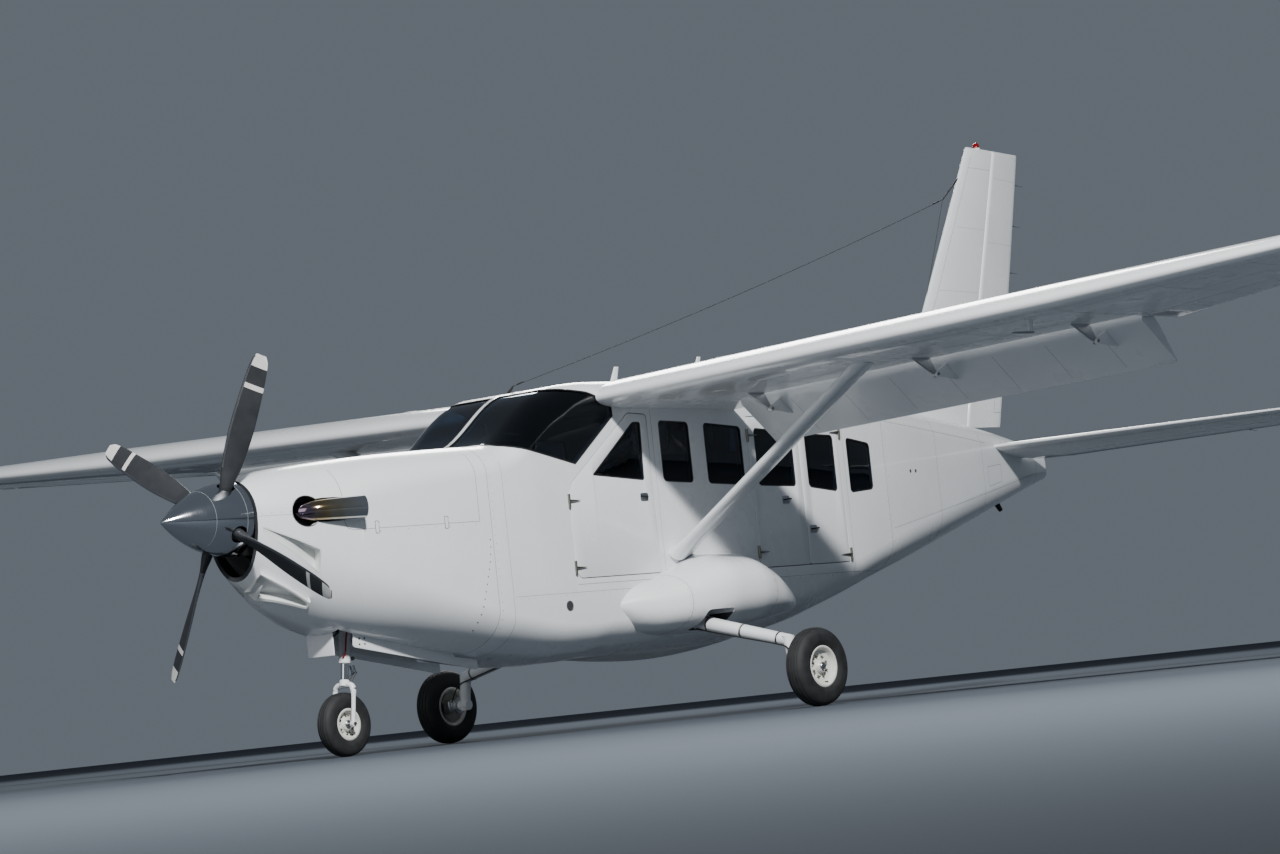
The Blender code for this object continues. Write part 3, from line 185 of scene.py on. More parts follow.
def curve_points(points: Sequence[Vector], per_span: int = 8) -> list[Vector]:
    """Points of a smooth curve through the given ones."""
    out = []
    for k in range(len(points) - 1):
        p0, p1 = points[max(k - 1, 0)], points[k]
        p2, p3 = points[k + 1], points[min(k + 2, len(points) - 1)]
        for j in range(per_span):
            t = j / per_span
            out.append(0.5 * (2 * p1 + (p2 - p0) * t + (2 * p0 - 5 * p1 + 4 * p2 - p3) * t * t
                              + (3 * p1 - p0 - 3 * p2 + p3) * t ** 3))
    return out + [points[-1]]


def lathe(profile: Sequence[tuple[float, float]], origin: Vector, axis: Vector, steps: int = 48) -> BMesh:
    """Spins an outline of (along, radius) points round an axis.

    Args:
        profile: The outline.  It may start and end on the axis, or close on itself.
        origin: Where along is zero.
        axis: The direction of along.
        steps: How many faces the full turn has.
    """
    axis = Vector(axis).normalized()
    side = axis.orthogonal().normalized()
    bm = bmesh.new()
    verts = [bm.verts.new(origin + axis * a + side * max(r, 0.0)) for a, r in profile]
    edges = [bm.edges.new(pair) for pair in zip(verts, verts[1:])]
    bmesh.ops.spin(bm, geom=verts + edges, cent=origin, axis=axis, angle=2 * math.pi, steps=steps,
                   use_merge=True, use_duplicate=False)
    bmesh.ops.remove_doubles(bm, verts=bm.verts, dist=0.00002)
    bmesh.ops.recalc_face_normals(bm, faces=bm.faces)
    return bm


def block(low: Sequence[float], high: Sequence[float], edge: float = 0.0, segments: int = 3) -> BMesh:
    """A box between two corners given as x, station, z, with rounded edges."""
    bm = bmesh.new()
    bmesh.ops.create_cube(bm, size=1.0)
    size = Vector(high) - Vector(low)
    bmesh.ops.scale(bm, vec=size, verts=bm.verts)
    bmesh.ops.translate(bm, vec=at(*((Vector(low) + Vector(high)) / 2)), verts=bm.verts)
    if edge:
        bmesh.ops.bevel(bm, geom=bm.edges[:], offset=edge, affect="EDGES", segments=segments, profile=0.5,
                        material=-1)
    return bm


def outline_face(bm: BMesh, points: Iterable[Vector], radius: float = 0.0, segments: int = 5) -> None:
    """Adds one flat face to a mesh, with its corners rounded."""
    face = bm.faces.new([bm.verts.new(p) for p in points])
    if radius:
        bmesh.ops.bevel(bm, geom=face.verts[:], offset=radius, affect="VERTICES", segments=segments,
                        profile=0.5, material=-1)


def thicken(bm: BMesh, vector: Vector) -> BMesh:
    """Extrudes the whole of an open mesh along a vector into a solid."""
    made = bmesh.ops.extrude_face_region(bm, geom=bm.faces[:], use_keep_orig=True)
    moved = [g for g in made["geom"] if isinstance(g, bmesh.types.BMVert)]
    bmesh.ops.translate(bm, vec=vector, verts=moved)
    bmesh.ops.recalc_face_normals(bm, faces=bm.faces)
    return bm


def prism(points: Sequence[tuple[float, float]], x_near: float, x_far: float, radius: float = 0.0) -> BMesh:
    """A prism along X over (station, z) points with rounded corners."""
    bm = bmesh.new()
    outline_face(bm, [at(x_near, s, z) for s, z in points], radius)
    return thicken(bm, Vector((x_far - x_near, 0, 0)))


def grown(points: Sequence[tuple[float, float]], grow: float) -> list[tuple[float, float]]:
    """Moves each edge of a convex outline outward by the same distance."""
    corners = [Vector(p) for p in points]
    area = sum(a.x * b.y - b.x * a.y for a, b in zip(corners, corners[1:] + corners[:1]))
    turn = 1 if area > 0 else -1
    out = []
    for k, here in enumerate(corners):
        one = (here - corners[k - 1]).normalized()
        two = (corners[(k + 1) % len(corners)] - here).normalized()
        n1, n2 = Vector((one.y, -one.x)) * turn, Vector((two.y, -two.x)) * turn
        out.append(tuple(here + (n1 + n2) * grow / (1 + n1.dot(n2))))
    return out


def merge(*parts: BMesh) -> BMesh:
    """Puts several meshes into one, as they are."""
    out = bmesh.new()
    for part in parts:
        mesh = bpy.data.meshes.new("part")
        part.to_mesh(mesh)
        part.free()
        out.from_mesh(mesh)
        bpy.data.meshes.remove(mesh)
    return out


def mirrored(bm: BMesh) -> BMesh:
    """A copy of a mesh on the other side of the airplane."""
    out = bm.copy()
    bmesh.ops.scale(out, vec=(-1, 1, 1), verts=out.verts)
    bmesh.ops.reverse_faces(out, faces=out.faces)
    return out


def carve(bm: BMesh, tools: Sequence[BMesh], cut: Cut = Cut.AWAY) -> BMesh:
    """Applies exact Booleans to a mesh.

    Args:
        bm: The mesh that is changed.
        tools: The meshes that it is cut by, kept to or joined with.
        cut: What the tools do.

    Returns:
        The new mesh.  The old ones are freed.
    """
    scene = bpy.context.scene.collection.objects
    made = []
    for part in (bm, *tools):
        mesh = bpy.data.meshes.new("carving")
        part.to_mesh(mesh)
        part.free()
        made.append(bpy.data.objects.new("carving", mesh))
        scene.link(made[-1])
    for tool in made[1:]:
        mod = made[0].modifiers.new("carve", "BOOLEAN")
        mod.object = tool
        mod.operation = cut.value
        mod.solver = "EXACT"
    graph = bpy.context.evaluated_depsgraph_get()
    result = bpy.data.meshes.new_from_object(made[0].evaluated_get(graph))
    out = bmesh.new()
    out.from_mesh(result)
    for obj in made:
        mesh = obj.data
        bpy.data.objects.remove(obj)
        bpy.data.meshes.remove(mesh)
    bpy.data.meshes.remove(result)
    return out


def seal(bm: BMesh, edge: float, angle: float = 50.0, segments: int = 2) -> BMesh:
    """Rounds the sharp edges of a mesh."""
    sharp = [e for e in bm.edges if len(e.link_faces) == 2 and e.calc_face_angle() > math.radians(angle)]
    bmesh.ops.bevel(bm, geom=sharp, offset=edge, affect="EDGES", segments=segments, profile=0.5, material=-1,
                    clamp_overlap=True)
    return bm


def studs(spots: Iterable[tuple[Vector, Vector]], radius: float, height: float, sides: int = 8) -> BMesh:
    """Low round heads, one at each spot of (place, direction)."""
    out = bmesh.new()
    for place_at, way in spots:
        turn = Vector((0, 0, 1)).rotation_difference(Vector(way)).to_matrix().to_4x4()
        bmesh.ops.create_cone(out, cap_ends=True, segments=sides, radius1=radius, radius2=radius * 0.72,
                              depth=height * 2, matrix=Matrix.Translation(place_at) @ turn)
    return out


def strip(points: Sequence[Vector], normals: Sequence[Vector], width: float, height: float) -> BMesh:
    """A thin flat strip that lies on a surface along points, for a seam or a rib."""
    rows = []
    for k, point in enumerate(points):
        way = (points[min(k + 1, len(points) - 1)] - points[max(k - 1, 0)]).normalized()
        across = way.cross(normals[k]).normalized() * width / 2
        up = normals[k] * height
        rows.append([point - across - up, point + across - up, point + across + up, point - across + up])
    return skin(rows, capped=True)


def place(name: str, bm: BMesh, finishes: Sequence["Finish"], body: str = "airframe",
          stands_for: Sequence[str] = (), sharp: float = 30.0) -> bpy.types.Object:
    """Makes a piece of a mesh, dresses it and gives it its body.

    Args:
        name: The piece's name.
        bm: The mesh, which is freed.
        finishes: The finishes that its faces' material numbers name.
        body: The body of the frame that it rides on.
        stands_for: The nodes of the frame that it replaces.
        sharp: Edges with a wider angle than this, in degrees, stay sharp.

    Returns:
        The piece.
    """
    mesh = bpy.data.meshes.new(name)
    bm.to_mesh(mesh)
    bm.free()
    mesh.shade_smooth()
    mesh.set_sharp_from_angle(angle=math.radians(sharp))
    for finish in finishes:
        mesh.materials.append(finish.material())
    obj = bpy.data.objects.new(name, mesh)
    bpy.context.scene.collection.objects.link(obj)
    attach(obj, body)
    if stands_for:
        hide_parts(*stands_for)
    LOG.info("%s: %d faces on %s", name, len(mesh.polygons), body)
    return obj


# Finishes


def linear(code: str) -> tuple[float, float, float, float]:
    """A linear colour from an sRGB hex value such as #f2f2f0."""
    shares = [int(code[k:k + 2], 16) / 255 for k in (1, 3, 5)]
    return (*[c / 12.92 if c <= 0.04045 else ((c + 0.055) / 1.055) ** 2.4 for c in shares], 1.0)


def add_node(tree: bpy.types.NodeTree, kind: str, settings: dict | None = None,
             links: dict | None = None) -> bpy.types.Node:
    """Adds a node with its settings, its fixed inputs and its links.

    Args:
        tree: The node tree.
        kind: The node's type.
        settings: Values by property name, or by input name or number.
        links: Output sockets by input name or number.
    """
    node = tree.nodes.new(kind)
    for key, value in (settings or {}).items():
        if isinstance(key, str) and hasattr(node, key):
            setattr(node, key, value)
        else:
            node.inputs[key].default_value = value
    for key, socket in (links or {}).items():
        tree.links.new(socket, node.inputs[key])
    return node


@dataclass(frozen=True)
class Finish:
    """A surface: what it is made of, and how.  Sizes of its patterns are in millimetres."""

    name: str
    colour: str
    roughness: float
    metallic: float = 0.0
    ior: float = 1.5
    coat: float = 0.0
    coat_roughness: float = 0.05
    transmission: float = 0.0
    sheen: float = 0.0
    second: str = ""             # the colour that clouds or spots turn to
    cloud_mm: float = 300.0      # size of the clouds
    grain_mm: float = 3.0        # size of the bumps
    grain_depth_mm: float = 0.0
    rough_spread: float = 0.04   # how far the roughness wanders

    def material(self) -> bpy.types.Material:
        """The finish's material, made once."""
        made = bpy.data.materials.get(self.name)
        return made or self.make()

    def make(self) -> bpy.types.Material:
        """Builds the material: the shader's fixed values, then the patterns."""
        made = bpy.data.materials.new(self.name)
        made.use_nodes = True
        tree = made.node_tree
        shader = tree.nodes["Principled BSDF"]
        fixed = {"Base Color": linear(self.colour), "Roughness": self.roughness, "Metallic": self.metallic,
                 "IOR": self.ior, "Coat Weight": self.coat, "Coat Roughness": self.coat_roughness,
                 "Transmission Weight": self.transmission, "Sheen Weight": self.sheen}
        for key, value in fixed.items():
            shader.inputs[key].default_value = value
        where = add_node(tree, "ShaderNodeTexCoord").outputs["Object"]
        self.pattern(tree, shader, where)
        return made

    def pattern(self, tree: bpy.types.NodeTree, shader: bpy.types.Node, where: bpy.types.NodeSocket) -> None:
        """Adds soft clouds in the colour and roughness, and a fine grain."""
        cloud = add_node(tree, "ShaderNodeTexNoise", {"Scale": 1000 / self.cloud_mm, "Detail": 4.0,
                                                      "Roughness": 0.6}, {"Vector": where})
        if self.second:
            mix = add_node(tree, "ShaderNodeValToRGB", links={0: cloud.outputs["Fac"]})
            mix.color_ramp.elements[0].position = 0.35
            mix.color_ramp.elements[0].color = linear(self.colour)
            mix.color_ramp.elements[1].position = 0.75
            mix.color_ramp.elements[1].color = linear(self.second)
            tree.links.new(mix.outputs[0], shader.inputs["Base Color"])
        if self.rough_spread:
            rough = add_node(tree, "ShaderNodeMapRange", {3: max(self.roughness - self.rough_spread, 0.01),
                                                          4: self.roughness + self.rough_spread},
                             {0: cloud.outputs["Fac"]})
            tree.links.new(rough.outputs[0], shader.inputs["Roughness"])
        if self.grain_depth_mm:
            grain = add_node(tree, "ShaderNodeTexNoise", {"Scale": 1000 / self.grain_mm, "Detail": 3.0},
                             {"Vector": where})
            self.raise_by(tree, shader, grain.outputs["Fac"])

    def raise_by(self, tree: bpy.types.NodeTree, shader: bpy.types.Node, height: bpy.types.NodeSocket) -> None:
        """Turns a height from 0 to 1 into bumps of the grain's depth."""
        bump = add_node(tree, "ShaderNodeBump", {"Strength": 1.0, "Distance": self.grain_depth_mm * MM},
                        {"Height": height})
        tree.links.new(bump.outputs[0], shader.inputs["Normal"])


@dataclass(frozen=True)
class WovenCloth(Finish):
    """Woven upholstery: threads over and under, so that it looks soft and matt."""

    thread_mm: float = 4.0       # real thread is 0.6 mm, drawn coarser so that it shows

    def pattern(self, tree: bpy.types.NodeTree, shader: bpy.types.Node, where: bpy.types.NodeSocket) -> None:
        """Crosses two sets of bands for the threads, with a cloudy wear over them."""
        super().pattern(tree, shader, where)
        sets = [add_node(tree, "ShaderNodeTexWave", {"bands_direction": way, "Scale": 1000 / self.thread_mm / 6.28,
                                                     "Distortion": 0.6}, {"Vector": where})
                for way in ("X", "Y", "Z")]
        first = add_node(tree, "ShaderNodeMath", {"operation": "MAXIMUM"},
                         {0: sets[0].outputs["Fac"], 1: sets[1].outputs["Fac"]})
        both = add_node(tree, "ShaderNodeMath", {"operation": "MULTIPLY"},
                        {0: first.outputs[0], 1: sets[2].outputs["Fac"]})
        self.raise_by(tree, shader, both.outputs[0])


@dataclass(frozen=True)
class HeatedSteel(Finish):
    """Polished stainless sheet that exhaust gas has tinted straw and blue near the engine."""

    hot_station: float = 0.95
    cool_station: float = 1.35

    def pattern(self, tree: bpy.types.NodeTree, shader: bpy.types.Node, where: bpy.types.NodeSocket) -> None:
        """Runs the tints along the pipe, broken up by clouds."""
        Finish.pattern(self, tree, shader, where)
        split = add_node(tree, "ShaderNodeSeparateXYZ", links={0: where})
        share = add_node(tree, "ShaderNodeMapRange", {1: self.hot_station - LENGTH / 2,
                                                      2: self.cool_station - LENGTH / 2},
                         {0: split.outputs["Y"]})
        cloud = add_node(tree, "ShaderNodeTexNoise", {"Scale": 1000 / 60.0, "Detail": 3.0}, {"Vector": where})
        broken = add_node(tree, "ShaderNodeMath", {"operation": "MULTIPLY_ADD", 1: 0.35},
                          {0: cloud.outputs["Fac"], 2: share.outputs[0]})
        ramp = add_node(tree, "ShaderNodeValToRGB", links={0: broken.outputs[0]})
        stops = ((0.15, "#8a7a8c"), (0.40, "#a8946a"), (0.70, "#b9b2a2"), (1.00, self.colour))
        ramp.color_ramp.elements[0].position, ramp.color_ramp.elements[1].position = stops[0][0], stops[-1][0]
        for place_at, code in stops[1:-1]:
            ramp.color_ramp.elements.new(place_at)
        for element, (_, code) in zip(ramp.color_ramp.elements, stops):
            element.color = linear(code)
        tree.links.new(ramp.outputs[0], shader.inputs["Base Color"])


@dataclass(frozen=True)
class TurnedMetal(Finish):
    """Metal polished while it turned, so fine rings run round it and stretch the highlights."""

    line_mm: float = 5.0         # real lines are finer, drawn coarser so that they show

    def pattern(self, tree: bpy.types.NodeTree, shader: bpy.types.Node, where: bpy.types.NodeSocket) -> None:
        """Varies the roughness in rings across the axis, which runs along Y."""
        split = add_node(tree, "ShaderNodeSeparateXYZ", links={0: where})
        joined = add_node(tree, "ShaderNodeCombineXYZ", links={1: split.outputs["Y"]})
        lines = add_node(tree, "ShaderNodeTexNoise", {"Scale": 1000 / self.line_mm, "Detail": 2.0},
                         {"Vector": joined.outputs[0]})
        smear = add_node(tree, "ShaderNodeTexNoise", {"Scale": 1000 / 90.0, "Detail": 4.0}, {"Vector": where})
        both = add_node(tree, "ShaderNodeMath", {"operation": "MULTIPLY"},
                        {0: lines.outputs["Fac"], 1: smear.outputs["Fac"]})
        rough = add_node(tree, "ShaderNodeMapRange", {1: 0.1, 2: 0.5, 3: self.roughness,
                                                      4: self.roughness + self.rough_spread},
                         {0: both.outputs[0]})
        tree.links.new(rough.outputs[0], shader.inputs["Roughness"])


@dataclass(frozen=True)
class PebbledPlastic(Finish):
    """Moulded trim with a pebbled grain, which breaks its highlights up."""

    def pattern(self, tree: bpy.types.NodeTree, shader: bpy.types.Node, where: bpy.types.NodeSocket) -> None:
        """Rounded cells for the pebbles, over the usual clouds."""
        super().pattern(tree, shader, where)
        cells = add_node(tree, "ShaderNodeTexVoronoi", {"feature": "SMOOTH_F1", "Scale": 1000 / self.grain_mm},
                         {"Vector": where})
        self.raise_by(tree, shader, cells.outputs["Distance"])


# Two-part enamel, sprayed on aluminium and glass cloth: a hard gloss with a faint orange peel
WHITE_ENAMEL = Finish("sprayed_white_enamel", "#eceeef", 0.28, coat=0.7, coat_roughness=0.04, second="#e4e7e9",
                      cloud_mm=420.0, grain_mm=9.0, grain_depth_mm=0.010)
# The same enamel on the underside, where oil mist and dust dull it
BELLY_ENAMEL = Finish("dulled_white_enamel", "#e2e4e3", 0.36, coat=0.4, coat_roughness=0.12, second="#d3d5d2",
                      cloud_mm=260.0, grain_mm=9.0, grain_depth_mm=0.012, rough_spread=0.07)
# Spun and polished aluminium: a mirror with fine rings
POLISHED_ALUMINIUM = TurnedMetal("spun_polished_aluminium", "#c9ccd1", 0.07, metallic=1.0, rough_spread=0.10)
# Composite blades in a matt grey erosion paint: no mirror image, a soft glow only
BLADE_PAINT = Finish("matt_grey_erosion_paint", "#2b2d30", 0.52, second="#35373a", cloud_mm=120.0, grain_mm=2.5,
                     grain_depth_mm=0.03)
BLADE_TIP_WHITE = Finish("matt_white_tip_paint", "#e6e6e2", 0.45, second="#d6d6d0", cloud_mm=60.0, grain_mm=2.5,
                         grain_depth_mm=0.02)
# A bare nickel strip on each blade's leading edge, sanded by dust
NICKEL_EDGE = Finish("worn_nickel_edge", "#9a9c9e", 0.32, metallic=1.0, grain_mm=2.0, grain_depth_mm=0.03,
                     rough_spread=0.1)
EXHAUST_STEEL = HeatedSteel("heat_tinted_stainless", "#c4c5c6", 0.10, metallic=1.0, grain_mm=25.0,
                            grain_depth_mm=0.05, rough_spread=0.05)
SOOT = Finish("baked_soot", "#171615", 0.9, second="#262422", cloud_mm=30.0, grain_mm=2.0, grain_depth_mm=0.15)
# Tinted stretched acrylic: dark and blue from outside, still clear enough to see the far windows
TINTED_ACRYLIC = Finish("tinted_stretched_acrylic", "#54697f", 0.02, ior=1.49, transmission=1.0, rough_spread=0.0)
CLEAR_LENS = Finish("clear_lamp_glass", "#eef2f4", 0.03, ior=1.5, transmission=1.0, rough_spread=0.0)
BLACK_RUBBER = Finish("extruded_black_rubber", "#121314", 0.6, second="#1d1e1f", cloud_mm=50.0, grain_mm=1.5,
                      grain_depth_mm=0.03)
# Moulded tyre rubber: carbon black under a thin film of dust
TYRE_RUBBER = Finish("moulded_tyre_rubber", "#17181a", 0.72, second="#26282a", cloud_mm=70.0, grain_mm=3.0,
                     grain_depth_mm=0.06, rough_spread=0.1)
WHEEL_ENAMEL = Finish("cast_wheel_in_white_enamel", "#dcdcd6", 0.34, coat=0.3, second="#c9c7bd", cloud_mm=45.0,
                      grain_mm=3.5, grain_depth_mm=0.05, rough_spread=0.08)
PLATED_STEEL = Finish("cadmium_plated_steel", "#8e8c84", 0.34, metallic=1.0, second="#7c7a70", cloud_mm=25.0,
                      grain_mm=2.0, grain_depth_mm=0.02, rough_spread=0.1)
HARD_CHROME = Finish("ground_hard_chrome", "#d9dbdd", 0.06, metallic=1.0, rough_spread=0.03)
BARE_ALUMINIUM = Finish("machined_aluminium", "#b4b6b9", 0.30, metallic=1.0, grain_mm=1.5, grain_depth_mm=0.01,
                        rough_spread=0.08)
# Painted shade: a grey strip on the skin where two panels meet, for the shade in the gap of the seam
PAINTED_SEAM_SHADE = Finish("painted_seam_shade_grey", "#8f9498", 0.6, rough_spread=0.0)
# Painted shade: a dark grey for the shade inside recesses, cut faces and joints, also used for dark screw heads and
# rivets
RECESS_PAINTED_SHADE = Finish("painted_recess_shade", "#3a3d40", 0.7, second="#2c2e30", cloud_mm=80.0)
HOSE_RED = Finish("extruded_red_hose", "#a5261d", 0.4, grain_mm=4.0, grain_depth_mm=0.05)
ZINC_GREEN = Finish("zinc_chromate_primer", "#6f7d52", 0.55, second="#61704a", cloud_mm=90.0)
SEAT_CLOTH = WovenCloth("woven_grey_upholstery", "#4a5058", 0.85, sheen=0.35, second="#3d4249", cloud_mm=90.0,
                        grain_depth_mm=0.5)
CARPET = Finish("tufted_grey_carpet", "#3a3c40", 0.95, sheen=0.3, second="#2c2e31", cloud_mm=12.0, grain_mm=3.0,
                grain_depth_mm=1.2)
TRIM_PLASTIC = PebbledPlastic("pebbled_trim_plastic", "#a9aaa6", 0.55, second="#9c9d98", cloud_mm=200.0,
                              grain_mm=4.0, grain_depth_mm=0.15)
PANEL_BLACK = PebbledPlastic("pebbled_black_plastic", "#1b1c1e", 0.6, grain_mm=3.5, grain_depth_mm=0.15)
DIAL_GLASS = Finish("display_glass", "#10161c", 0.06, coat=1.0, coat_roughness=0.02, rough_spread=0.0)
WEBBING = WovenCloth("woven_belt_webbing", "#23262a", 0.7, sheen=0.2, grain_depth_mm=0.3)
LAMP_RED = Finish("moulded_red_lens", "#b3161b", 0.08, ior=1.49, transmission=0.6, rough_spread=0.0)
LAMP_GREEN = Finish("moulded_green_lens", "#0f8a4a", 0.08, ior=1.49, transmission=0.6, rough_spread=0.0)


# The body


@dataclass(frozen=True)
class BodyLines:
    """The body's outer shape.

    Each row is a section: S, half width, keel z, top z, then the corner radii in x and z,
    bottom and top.  The sides between the corners are flat.
    """

    rows: tuple[tuple[float, ...], ...] = (
        (0.64, 0.262, 1.255, 1.945, 0.255, 0.430, 0.255, 0.255),
        (0.90, 0.385, 1.045, 2.000, 0.370, 0.500, 0.340, 0.310),
        (1.30, 0.480, 0.862, 2.037, 0.420, 0.480, 0.360, 0.310),
        (1.90, 0.570, 0.735, 2.068, 0.460, 0.380, 0.340, 0.270),
        (2.50, 0.628, 0.620, 2.082, 0.500, 0.300, 0.300, 0.230),
        (2.64, 0.636, 0.592, 2.084, 0.500, 0.280, 0.290, 0.220),
        (3.30, 0.650, 0.515, 2.455, 0.500, 0.250, 0.260, 0.240),
        (3.46, 0.650, 0.514, 2.492, 0.500, 0.250, 0.200, 0.180),
        (3.70, 0.650, 0.528, 2.505, 0.500, 0.250, 0.150, 0.130),
        (4.50, 0.650, 0.522, 2.503, 0.500, 0.250, 0.150, 0.130),
        (5.20, 0.650, 0.552, 2.500, 0.500, 0.250, 0.150, 0.130),
        (5.70, 0.650, 0.615, 2.465, 0.490, 0.260, 0.180, 0.160),
        (6.376, 0.642, 0.775, 2.387, 0.448, 0.280, 0.221, 0.181),
        (6.95, 0.605, 0.935, 2.320, 0.400, 0.280, 0.240, 0.200),
        (7.60, 0.515, 1.105, 2.240, 0.320, 0.270, 0.240, 0.210),
        (8.30, 0.395, 1.292, 2.150, 0.240, 0.240, 0.210, 0.200),
        (8.95, 0.262, 1.462, 2.055, 0.160, 0.190, 0.160, 0.180),
        (9.45, 0.145, 1.590, 1.950, 0.100, 0.120, 0.100, 0.130),
        (9.70, 0.082, 1.650, 1.865, 0.060, 0.070, 0.060, 0.080),
    )
    corner_steps: int = 12
    step: float = 0.06

    def half(self, station: float) -> float:
        """Half width at a station."""
        return blend_rows(self.rows, station)[1]

    def section(self, station: float, inset: float = 0.0) -> list[Vector]:
        """The section at a station, drawn in by an inset."""
        _, half, low, high, low_rx, low_rz, high_rx, high_rz = blend_rows(self.rows, station)
        half, low, high = half - inset, low + inset, high - inset
        corners = ((1, high, high_rx, high_rz, -1, 0.0), (-1, high, high_rx, high_rz, -1, 0.5),
                   (-1, low, low_rx, low_rz, 1, 1.0), (1, low, low_rx, low_rz, 1, 1.5))
        points = []
        for side, edge, rx, rz, inward, turn in corners:
            rx = min(max(rx - inset, 0.02), half - 0.004)
            rz = max(rz - inset, 0.02)
            for k in range(self.corner_steps + 1):
                angle = math.pi * (turn + 0.5 * k / self.corner_steps)
                points.append(at(side * (half - rx) + rx * math.cos(angle), station,
                                 edge + inward * rz + rz * math.sin(angle)))
        return points

    def side_x(self, station: float, z: float) -> float:
        """How far out the skin lies at a station and height."""
        _, half, low, high, low_rx, low_rz, high_rx, high_rz = blend_rows(self.rows, station)
        if z > high - high_rz:
            share = min((z - high + high_rz) / high_rz, 1.0)
            return half - high_rx + high_rx * math.sqrt(1 - share * share)
        if z < low + low_rz:
            share = min((low + low_rz - z) / low_rz, 1.0)
            return half - low_rx + low_rx * math.sqrt(1 - share * share)
        return half

    def spot(self, side: int, station: float, z: float, out: float = 0.0) -> tuple[Vector, Vector]:
        """A point on the skin and the direction out of it.

        Args:
            side: 1 for left, -1 for right.
            station: The station.
            z: The height.
            out: How far outside the skin the point lies.
        """
        d = 0.004
        here = at(side * self.side_x(station, z), station, z)
        along = at(side * self.side_x(station + d, z), station + d, z) - here
        up = at(side * self.side_x(station, z + d), station, z + d) - here
        normal = along.cross(up).normalized()
        if normal.x * side < 0:
            normal = -normal
        return here + normal * out, normal

    def solid(self, first: float, last: float, inset: float = 0.0) -> BMesh:
        """The body between two stations, closed at its ends."""
        return skin([self.section(s, inset) for s in spread(first, last, self.step)], capped=True)

    def wall(self, first: float, last: float, outer: float, inner: float) -> BMesh:
        """A wall between two insets, open at its ends."""
        marks = spread(first, last, self.step)
        rows = [self.section(s, outer) for s in marks] + [self.section(s, inner) for s in marks[::-1]]
        return skin(rows + [rows[0]])

    def line(self, path: Sequence[tuple[float, float]], side: int, width: float, height: float = 0.0004) -> BMesh:
        """A strip along (station, z) points of one side, for a seam."""
        fine = [p for a, b in zip(path, path[1:]) for p in
                [(a[0] + (b[0] - a[0]) * t, a[1] + (b[1] - a[1]) * t) for t in spread(0, 1, 0.015 / math.dist(a, b))]]
        fine = [p for k, p in enumerate(fine) if k == 0 or math.dist(p, fine[k - 1]) > 1e-6]
        spots = [self.spot(side, s, z) for s, z in fine]
        return strip([p for p, _ in spots], [n for _, n in spots], width, height)

    def hoop(self, station: float, width: float = 0.004, height: float = 0.0004) -> BMesh:
        """A strip round the whole section, for a joint between two panels."""
        rows = [self.section(station + ds, -height if out else height)
                for ds, out in ((-width / 2, True), (width / 2, True), (width / 2, False), (-width / 2, False))]
        return skin(rows + [rows[0]])

    def panel(self, face: BMesh, side: int, outer: float, inner: float) -> BMesh:
        """Bends a flat side-view face to the body's side and gives it a thickness.

        Args:
            face: Faces at x 0.
            side: 1 for left, -1 for right.
            outer: Inset of the outside.
            inner: Inset of the inside.
        """
        for station in spread(3.0, 7.0, 0.08)[1:-1]:
            bmesh.ops.bisect_plane(face, geom=face.verts[:] + face.edges[:] + face.faces[:], dist=1e-5,
                                   plane_co=at(0, station, 0), plane_no=(0, 1, 0))
        for vert in face.verts:
            vert.co.x = side * (self.half(vert.co.y + LENGTH / 2) - outer)
        return thicken(face, Vector((side * (outer - inner), 0, 0)))


LINES = BodyLines()


def rim(points: Sequence[tuple[float, float]], radius: float, grow: float, width: float) -> BMesh:
    """A flat frame at x 0 round an outline of (station, z) points, with rounded corners."""
    bm = bmesh.new()
    outline_face(bm, [at(0, s, z) for s, z in grown(points, grow)], radius + grow)
    made = bmesh.ops.inset_region(bm, faces=bm.faces[:], thickness=width, use_even_offset=True,
                                   use_boundary=True)
    inside = [f for f in bm.faces if f not in made["faces"]]
    bmesh.ops.delete(bm, geom=inside, context="FACES")
    return bm


def plate(points: Sequence[tuple[float, float]], radius: float) -> BMesh:
    """One flat face at x 0 over (station, z) points, with rounded corners."""
    bm = bmesh.new()
    outline_face(bm, [at(0, s, z) for s, z in points], radius)
    return bm


@dataclass(frozen=True)
class Window:
    """A side window: its corners as (station, z) and their radius."""

    name: str
    corners: tuple[tuple[float, float], ...]
    radius: float = 0.035

    @staticmethod
    def upright(name: str, s0: float, s1: float, low0: float, low1: float, high0: float, high1: float) -> "Window":
        """A window with four corners, from its ends and the heights there."""
        return Window(name, ((s0, low0), (s1, low1), (s1, high1), (s0, high0)))

    def hole(self, side: int) -> BMesh:
        """The cutter for its opening."""
        return prism(self.corners, side * 0.30, side * 0.80, self.radius)

    def pane(self, side: int) -> BMesh:
        """The glass, set a little below the skin."""
        return seal(LINES.panel(plate(grown(self.corners, -0.0015), self.radius), side, 0.007, 0.012), 0.0008)

    def gasket(self, side: int) -> BMesh:
        """The black rubber round the glass, inside and outside."""
        outside = LINES.panel(rim(self.corners, self.radius, 0.0, 0.011), side, 0.0015, 0.0065)
        inside = LINES.panel(rim(self.corners, self.radius, 0.004, 0.020), side, 0.046, 0.050)
        return merge(outside, inside)


